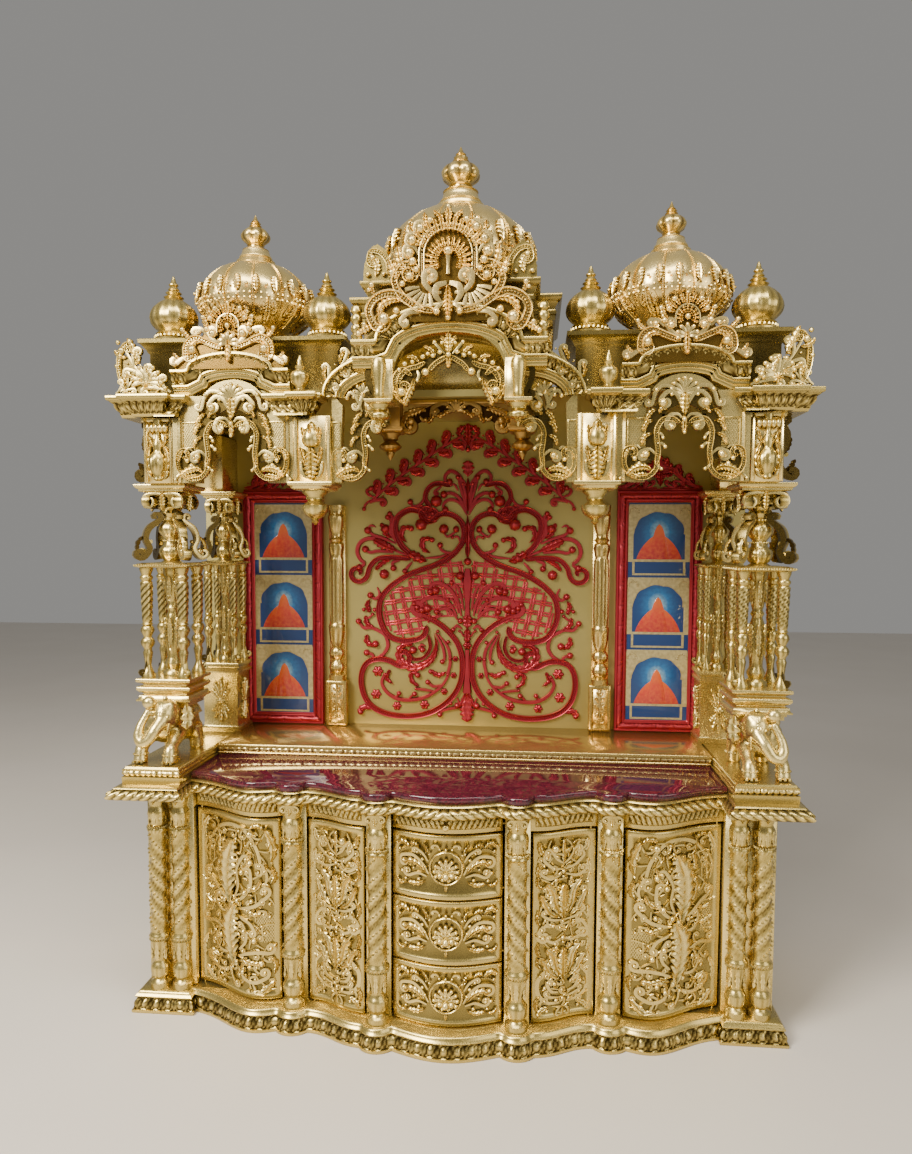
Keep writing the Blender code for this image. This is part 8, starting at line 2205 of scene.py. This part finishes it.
DOME = [
    (0.5, 0), (0.54, 0.012), (0.54, 0.028), (0.5, 0.04), (0.5, 0.06), (0.53, 0.075), (0.53, 0.09),
    (0.515, 0.105), (0.6, 0.135), (0.72, 0.18), (0.84, 0.235), (0.93, 0.295), (0.985, 0.365), (1.0, 0.43),
    (0.985, 0.515), (0.94, 0.58), (0.86, 0.65), (0.76, 0.708), (0.66, 0.757), (0.55, 0.795), (0.42, 0.825),
    (0.33, 0.84), (0.32, 0.85), (0.34, 0.862), (0.335, 0.88), (0.29, 0.892), (0.27, 0.905), (0.285, 0.918),
    (0.275, 0.935), (0.25, 0.95), (0.245, 0.965), (0.235, 0.985), (0.22, 1)]
FINIAL = [
    (0.6, 0), (0.9, 0.015), (0.94, 0.04), (0.84, 0.065), (0.62, 0.08), (0.5, 0.11), (0.5, 0.15), (0.62, 0.175),
    (0.56, 0.19), (0.6, 0.215), (0.76, 0.255), (0.92, 0.31), (1.0, 0.38), (1.0, 0.44), (0.92, 0.51),
    (0.78, 0.575), (0.6, 0.62), (0.44, 0.645), (0.34, 0.66), (0.42, 0.672), (0.44, 0.69), (0.32, 0.708),
    (0.26, 0.725), (0.36, 0.74), (0.38, 0.765), (0.28, 0.785), (0.2, 0.8), (0.28, 0.815), (0.28, 0.835),
    (0.18, 0.855), (0.14, 0.89), (0.08, 0.945), (0.02, 1)]


DRAWN_RADIUS = 0.176  # the radius that the dome's ornament was drawn for


def dome(centre, radius, finial_radius, foot, crown, tip):
    """Lobed shell, leaves and beads bent round it, and a finial of petals."""
    def ripple(angle, share):
        lobes = 0.055 * (np.abs(np.cos(6 * angle)) ** 0.75 - 1) * within(share, 0.12, 0.82)
        rib = 0.016 * np.exp(-((np.abs(np.sin(6 * angle)) - 1) / 0.035) ** 2) * within(share, 0.13, 0.8)
        return lobes + rib

    def petals(angle, share):
        return 0.14 * (np.abs(np.sin(4 * angle)) ** 0.7 - 0.65) * within(share, 0.19, 0.66)

    shell_, radius_at = turned_column(DOME, foot, crown, radius, centre, ripple, 96 if radius < 0.15 else 108,
        44)
    bulb = turned_column(FINIAL, crown - 0.003, tip, finial_radius, centre, petals, 40, 44)[0]
    shell_ = shell_[0], shell_[1], np.clip(shell_[2] + 0.32, 0, 1)
    tall = crown - foot
    size = radius / DRAWN_RADIUS
    z = np.linspace(foot + 0.15 * tall, foot + 0.8 * tall, 40)
    groove = np.column_stack([np.zeros(40), z])
    beads = at_angles(beads_on(groove, 0.0054 * size, 1.1, -0.004 * size), 12, math.pi / 12, centre, radius_at)
    level = foot + 0.43 * tall
    upright = joined(
        leaf([(0, level - 0.006), (0, level + 0.022 * size), (0, level + 0.046 * size)], 0.016 * size,
            0.009 * size, 5), moved(dots((0, 1000 * level + 12, 3.4), height=0.007), u=0.026 * size))
    upright = at_angles(upright, 20, 0, centre, radius_at)
    at = lambda share: foot + share * tall
    hook = vine([(3, 1000 * at(0.3)), (16 * size, 1000 * at(0.34)), (24 * size, 1000 * at(0.26))], 4 * size,
                (8 * size, 1.1, -1), 0.006 * size)
    panel = joined(
        leaf([(0, at(0.36)), (0, at(0.26)), (0, at(0.13))], 0.017 * size, 0.009 * size, 7), with_mirror(hook),
        dots((0, 1000 * at(0.375), 4 * size), height=0.006 * size))
    panels = at_angles(panel, 12, 0, centre, radius_at)
    rings = [
        ring_of_beads((*centre, foot + share * tall), radius * reach * 0.985, int(1000 * radius * 0.5),
            0.0044 * size) for share, reach in ((0.405, 1.0), (0.355, 0.985))]
    return joined(shell_, bulb, beads, upright, panels, *rings)

# %% Three domes
big = dome((0, 0.042), 0.1745, 0.045, 1.6575, 1.933, 2.0395)
make("centre_dome_carved", big, bright_gold, instead=["centre_dome"])
small = dome((0.485, -0.004), 0.1355, 0.033, 1.5745, 1.797, 1.8805)
make_pair("dome", small, bright_gold)
print("domes", added["centre_dome_carved"], added["right_dome_carved"])

# %% [markdown]
# ## Centre attic
# The middle attic steps out over the canopy. Its cornice breaks forward with it; on the front stand two
# scrolled cheeks that hold the foot of the big dome, and ringed rolls stand beside the crest.

# %% Centre attic
wide_rows = outline([(-0.238, -0.101), (-0.19, -0.101), (-0.19, -0.218), (0.19, -0.218), (0.19, -0.101),
        (0.238, -0.101), (0.238, 0.2838), (-0.238, 0.2838)], 0.003)
centre_shares = [
    (1, 0), (1, 0.2), (0.82, 0.23), (0.8, 0.34), (0.98, 0.38), (1, 0.5), (0.62, 0.66), (0.56, 0.72),
    (0.28, 0.76), (0.22, 0.8), (0.02, 0.85), (0, 0.87), (0, 0.98), (0.07, 1)]
middle = [plain_moulded(wide_rows, [(0.015 * a, 1.6023 + 0.0547 * b) for a, b in centre_shares]),
          box((-0.2195, -0.0305, 1.4525), (0.2195, 0.2838, 1.61))]
cheek = joined(
    plate([(-0.03, 1.6565), (-0.03, 1.68), (-0.027, 1.7), (-0.016, 1.72), (0.0, 1.731)],
        [(0.03, 1.6565), (0.03, 1.672), (0.028, 1.69), (0.022, 1.708), (0.012, 1.726)], -0.009, 0.0, 0.4),
    beaded_band([(-26, 1662), (-24, 1690), (-8, 1712), (12, 1716), (18, 1700)], 6, 2.2, 0.006, (11, 1.1, -1)),
    leaf([(0.004, 1.664), (0.0, 1.682), (0.006, 1.7)], 0.012, 0.006, 5),
    dots((10, 1702, 6), (20, 1668, 5), (-14, 1668, 4.5), height=0.004))
middle.append(with_mirror(laid(moved(cheek, u=0.152), on_plane(-0.2175))))
ringed = [
    (0.8, 0), (1, 0.06), (1, 0.16), (0.62, 0.22), (0.62, 0.25), (1, 0.31), (1, 0.42), (0.62, 0.48),
    (0.62, 0.51), (1, 0.57), (1, 0.68), (0.62, 0.74), (0.62, 0.77), (1, 0.83), (1, 0.94), (0.7, 1)]
middle.append(with_mirror(bud(0.196, -0.223, 1.53, 1.603, 0.0125, ringed, 12, ())))
make("centre_attic_carved", joined(*middle), carved_gold, instead=["centre_attic"])
print("centre attic triangles", added["centre_attic_carved"])

# %% [markdown]
# ## Crests
# A fan of feathers rises from shell scrolls over the middle arch, ringed with beads and buds; smaller
# crests of the same make stand on the side arches. They are carved in one board with the wings that lie
# down the hood.

# %% Crest tools
def crest_board(shares, half, low, high, depth, tone=0.1):
    """The board behind a crest, as wide at each height as the shares (width, height) say. Its low tone
    paints it in shade behind the carving.
    """
    x, z = np.array(shares, float).T
    level = np.linspace(0, 1, 24)
    wide = half * np.interp(level, z, x)
    z = low + (high - low) * level
    return plate(np.column_stack([-wide, z]), np.column_stack([wide, z]), -depth, 0.0005, tone)


def spray(u, v, reach_in, reach_out, count, spread_, width, height, lobes=3):
    """Leaves that fan out of a centre, in metres, evenly over the angles from -spread to spread."""
    turns = np.radians(np.linspace(-spread_, spread_, count))
    return joined(
        *[leaf([(u + r * math.sin(t), v + r * math.cos(t))
                    for r in (reach_in, 0.5 * (reach_in + reach_out), reach_out)], width, height, lobes, -0.003,
                0.5) for t in turns])


def bead_arc(u, v, radius, count, spread_, size, lift):
    """Beads on an arc round (u, v), evenly over the angles from -spread_ to spread_ degrees."""
    turns = np.radians(np.linspace(-spread_, spread_, count))
    return balls(
        np.column_stack([u + radius * np.sin(turns), v + radius * np.cos(turns), np.full(count, lift)]), size,
        BEAD)


def horseshoe(radius, middle, low, steps=60):
    """Half circle over two straight legs."""
    a = np.linspace(0, math.pi, steps)
    arc = np.column_stack([-radius * np.cos(a), middle + radius * np.sin(a)])
    return np.vstack([[(-radius, low)], arc, [(radius, low)]])

# %% Centre crest
board = crest_board(
    [(0.86, 0), (0.8, 0.12), (0.58, 0.2), (0.5, 0.34), (0.4, 0.48), (0.36, 0.62), (0.33, 0.76), (0.22, 0.87),
        (0.1, 0.93), (0.02, 0.96)], 0.205, 1.565, 1.796, 0.016)
ring_in, ring_out = horseshoe(0.05, 1.7, 1.656), horseshoe(0.06, 1.7, 1.656)
legs = np.column_stack([np.full(9, 0.055), np.linspace(1.658, 1.696, 9)])
fan = joined(
    spray(0, 1.685, 0.016, 0.05, 17, 118, 0.0062, 0.01), spray(0, 1.685, 0.056, 0.088, 13, 60, 0.0095, 0.011),
    strand(ring_in, 0.002, 0.009, 90), strand(ring_out, 0.0024, 0.01, 90),
    bead_arc(0, 1.7, 0.055, 25, 90, 0.0032, 0.006), with_mirror(beads_on(legs, 0.0032, 1.0, 0.006)),
    bead_arc(0, 1.69, 0.026, 15, 105, 0.0022, 0.009),
    strand(curve([(0.0, 1.658), (0.0, 1.68), (0.0, 1.696)], 12), [0.005, 0.0034, 0.0065], 0.015, 14),
    balls([(0, 1.704, 0.01)], 0.0105), balls([(0, 1.793, 0.006)], 0.0068),
    leaf([(0, 1.76), (0, 1.776), (0, 1.79)], 0.012, 0.012, 5),
    with_mirror(leaf([(0.01, 1.76), (0.018, 1.776), (0.03, 1.784)], 0.009, 0.011, 4)))
buds = joined(
    dots((58, 1751, 9), (75, 1727, 9), (81, 1702, 10), (74, 1685, 8), (38, 1766, 6.5), (66, 1668, 6),
        height=0.009), vine([(44, 1742), (52, 1764), (66, 1762), (70, 1750)], 4, (7, 1.0, -1), 0.011),
    vine([(58, 1724), (66, 1740), (82, 1740), (87, 1728)], 4, (7, 1.0, -1), 0.011),
    vine([(62, 1700), (72, 1716), (88, 1716), (93, 1702)], 4.2, (8, 1.0, -1), 0.011),
    small_leaf([(44, 1750), (50, 1768), (48, 1782)], 7, 0.01),
    small_leaf([(66, 1738), (78, 1752), (78, 1764)], 7, 0.01),
    leaf(mm([(84, 1664), (100, 1684), (106, 1716)]), 0.014, 0.01, 5),
    leaf(mm([(96, 1650), (114, 1664), (124, 1690)]), 0.012, 0.009, 5))
scroll_side = joined(
    vine([(14, 1622), (30, 1622), (46, 1636), (50, 1650)], 6.0, (14, 1.5, 1), 0.014),
    rosette(0.039, 1.643, 0.009, 8, 0.013), joined(*[strand([
                    (0.044 + 0.016 * math.sin(t), 1.636 + 0.016 * math.cos(t)),
                    (0.046 + 0.03 * math.sin(t), 1.636 + 0.031 * math.cos(t)),
                    (0.048 + 0.042 * math.sin(t), 1.634 + 0.042 * math.cos(t))], [0.0028, 0.0052, 0.0062],
                0.012, 10) for t in np.radians([98, 118, 138, 158, 178, 200])]),
    beaded_band([(28, 1584), (66, 1594), (96, 1616), (112, 1648), (98, 1672)], 8.5, 2.9, 0.012, (20, 1.25, 1)),
    dots((80, 1655, 8), (95, 1640, 6), height=0.01),
    small_leaf([(100, 1668), (112, 1676), (120, 1668)], 6, 0.01), dots((118, 1664, 6), height=0.007),
    beaded_band([(52, 1584), (84, 1606), (120, 1622), (152, 1612), (166, 1588), (156, 1560)], 9.5, 2.9, 0.012,
        (17, 1.2, -1)), leaf(mm([(92, 1604), (118, 1608), (140, 1596), (142, 1574)]), 0.013, 0.013, 7),
    dots((134, 1570, 12), (108, 1586, 7), height=0.009),
    vine([(60, 1582), (82, 1582), (96, 1570)], 5, (9, 1.2, -1), 0.012),
    small_leaf([(148, 1616), (158, 1628), (160, 1640)], 6, 0.01),
    dots((160, 1640, 6), (166, 1630, 4.5), height=0.007),
    small_leaf([(156, 1560), (172, 1552), (186, 1544)], 9, 0.01),
    dots((188, 1542, 6), (176, 1560, 5), height=0.006))
drop = joined(
    with_mirror(joined(strand([(0.003, 1.64), (0.022, 1.634), (0.026, 1.616), (0.014, 1.6)],
                [0.006, 0.009, 0.009, 0.004], 0.016, 20),
            vine([(6, 1606), (16, 1596), (26, 1588)], 4, (6, 1.1, -1), 0.013),
            dots((24, 1583, 7), height=0.009))), leaf([(0, 1.638), (0, 1.606), (0, 1.572)], 0.015, 0.017, 7),
    dots((0, 1570, 5.5), height=0.01))
crest = joined(board, fan, with_mirror(joined(buds, scroll_side)), drop)
make("centre_crest_carved", laid(crest, on_plane(-0.2365)), bright_gold, instead=["centre_crest"])
print("centre crest triangles", added["centre_crest_carved"])

# %% Side crests
side_board = crest_board(
    [(0.96, 0), (0.9, 0.16), (0.62, 0.3), (0.44, 0.52), (0.3, 0.74), (0.14, 0.9), (0.02, 0.95)], 0.13, 1.493,
    1.641, 0.01)
arch_ring = horseshoe(0.025, 1.586, 1.564)
small_half = joined(
    beaded_band([(14, 1536), (44, 1548), (74, 1560), (94, 1548), (98, 1526)], 7.5, 2.6, 0.01, (14, 1.2, -1)),
    dots((82, 1534, 9), height=0.008),
    leaf(mm([(50, 1548), (72, 1552), (86, 1540), (90, 1522)]), 0.01, 0.011, 6),
    vine([(90, 1520), (106, 1514), (120, 1504)], 5, (8, 1.2, 1), 0.01),
    small_leaf([(84, 1558), (96, 1566), (104, 1576)], 7, 0.009),
    small_leaf([(104, 1510), (118, 1516), (126, 1528)], 6, 0.008),
    vine([(12, 1548), (30, 1552), (42, 1568)], 5, (9, 1.3, 1), 0.011), dots((34, 1568, 8), height=0.009),
    small_leaf([(38, 1580), (50, 1590), (54, 1606)], 8, 0.01),
    small_leaf([(30, 1600), (42, 1612), (44, 1626)], 7, 0.01),
    dots((48, 1578, 6), (40, 1602, 5.5), (56, 1604, 5), (28, 1622, 5.5), (104, 1578, 5), (66, 1572, 5),
        (124, 1502, 5), height=0.008), vine([(48, 1566), (60, 1578), (74, 1580)], 4.4, (7, 1.2, -1), 0.01))
side_crest = joined(
    side_board, with_mirror(small_half), spray(0, 1.584, 0.007, 0.024, 11, 120, 0.0045, 0.01),
    spray(0, 1.586, 0.026, 0.048, 9, 70, 0.008, 0.011), strand(arch_ring, 0.0022, 0.01, 60),
    bead_arc(0, 1.586, 0.0205, 13, 95, 0.002, 0.007),
    balls([(0, 1.585, 0.01), (0, 1.635, 0.006)], [0.007, 0.0055]), shell(0, 1.545, 0.026, 7, 0.012, 100),
    leaf([(0, 1.556), (0, 1.53), (0, 1.506)], 0.012, 0.013, 5),
    leaf([(0, 1.606), (0, 1.62), (0, 1.632)], 0.01, 0.011, 5))
make_pair("side_crest", moved(laid(side_crest, on_plane(-0.152)), u=SIDE_ARCH_X), bright_gold)
print("crests", added["centre_crest_carved"], added["right_side_crest_carved"], "total", sum(added.values()))

# %% [markdown]
# ## Size
# The triangles that the carving adds, in all and in its largest piece.

# %% Finish
print("triangles added", sum(added.values()), "most in one piece", max(added.values()))
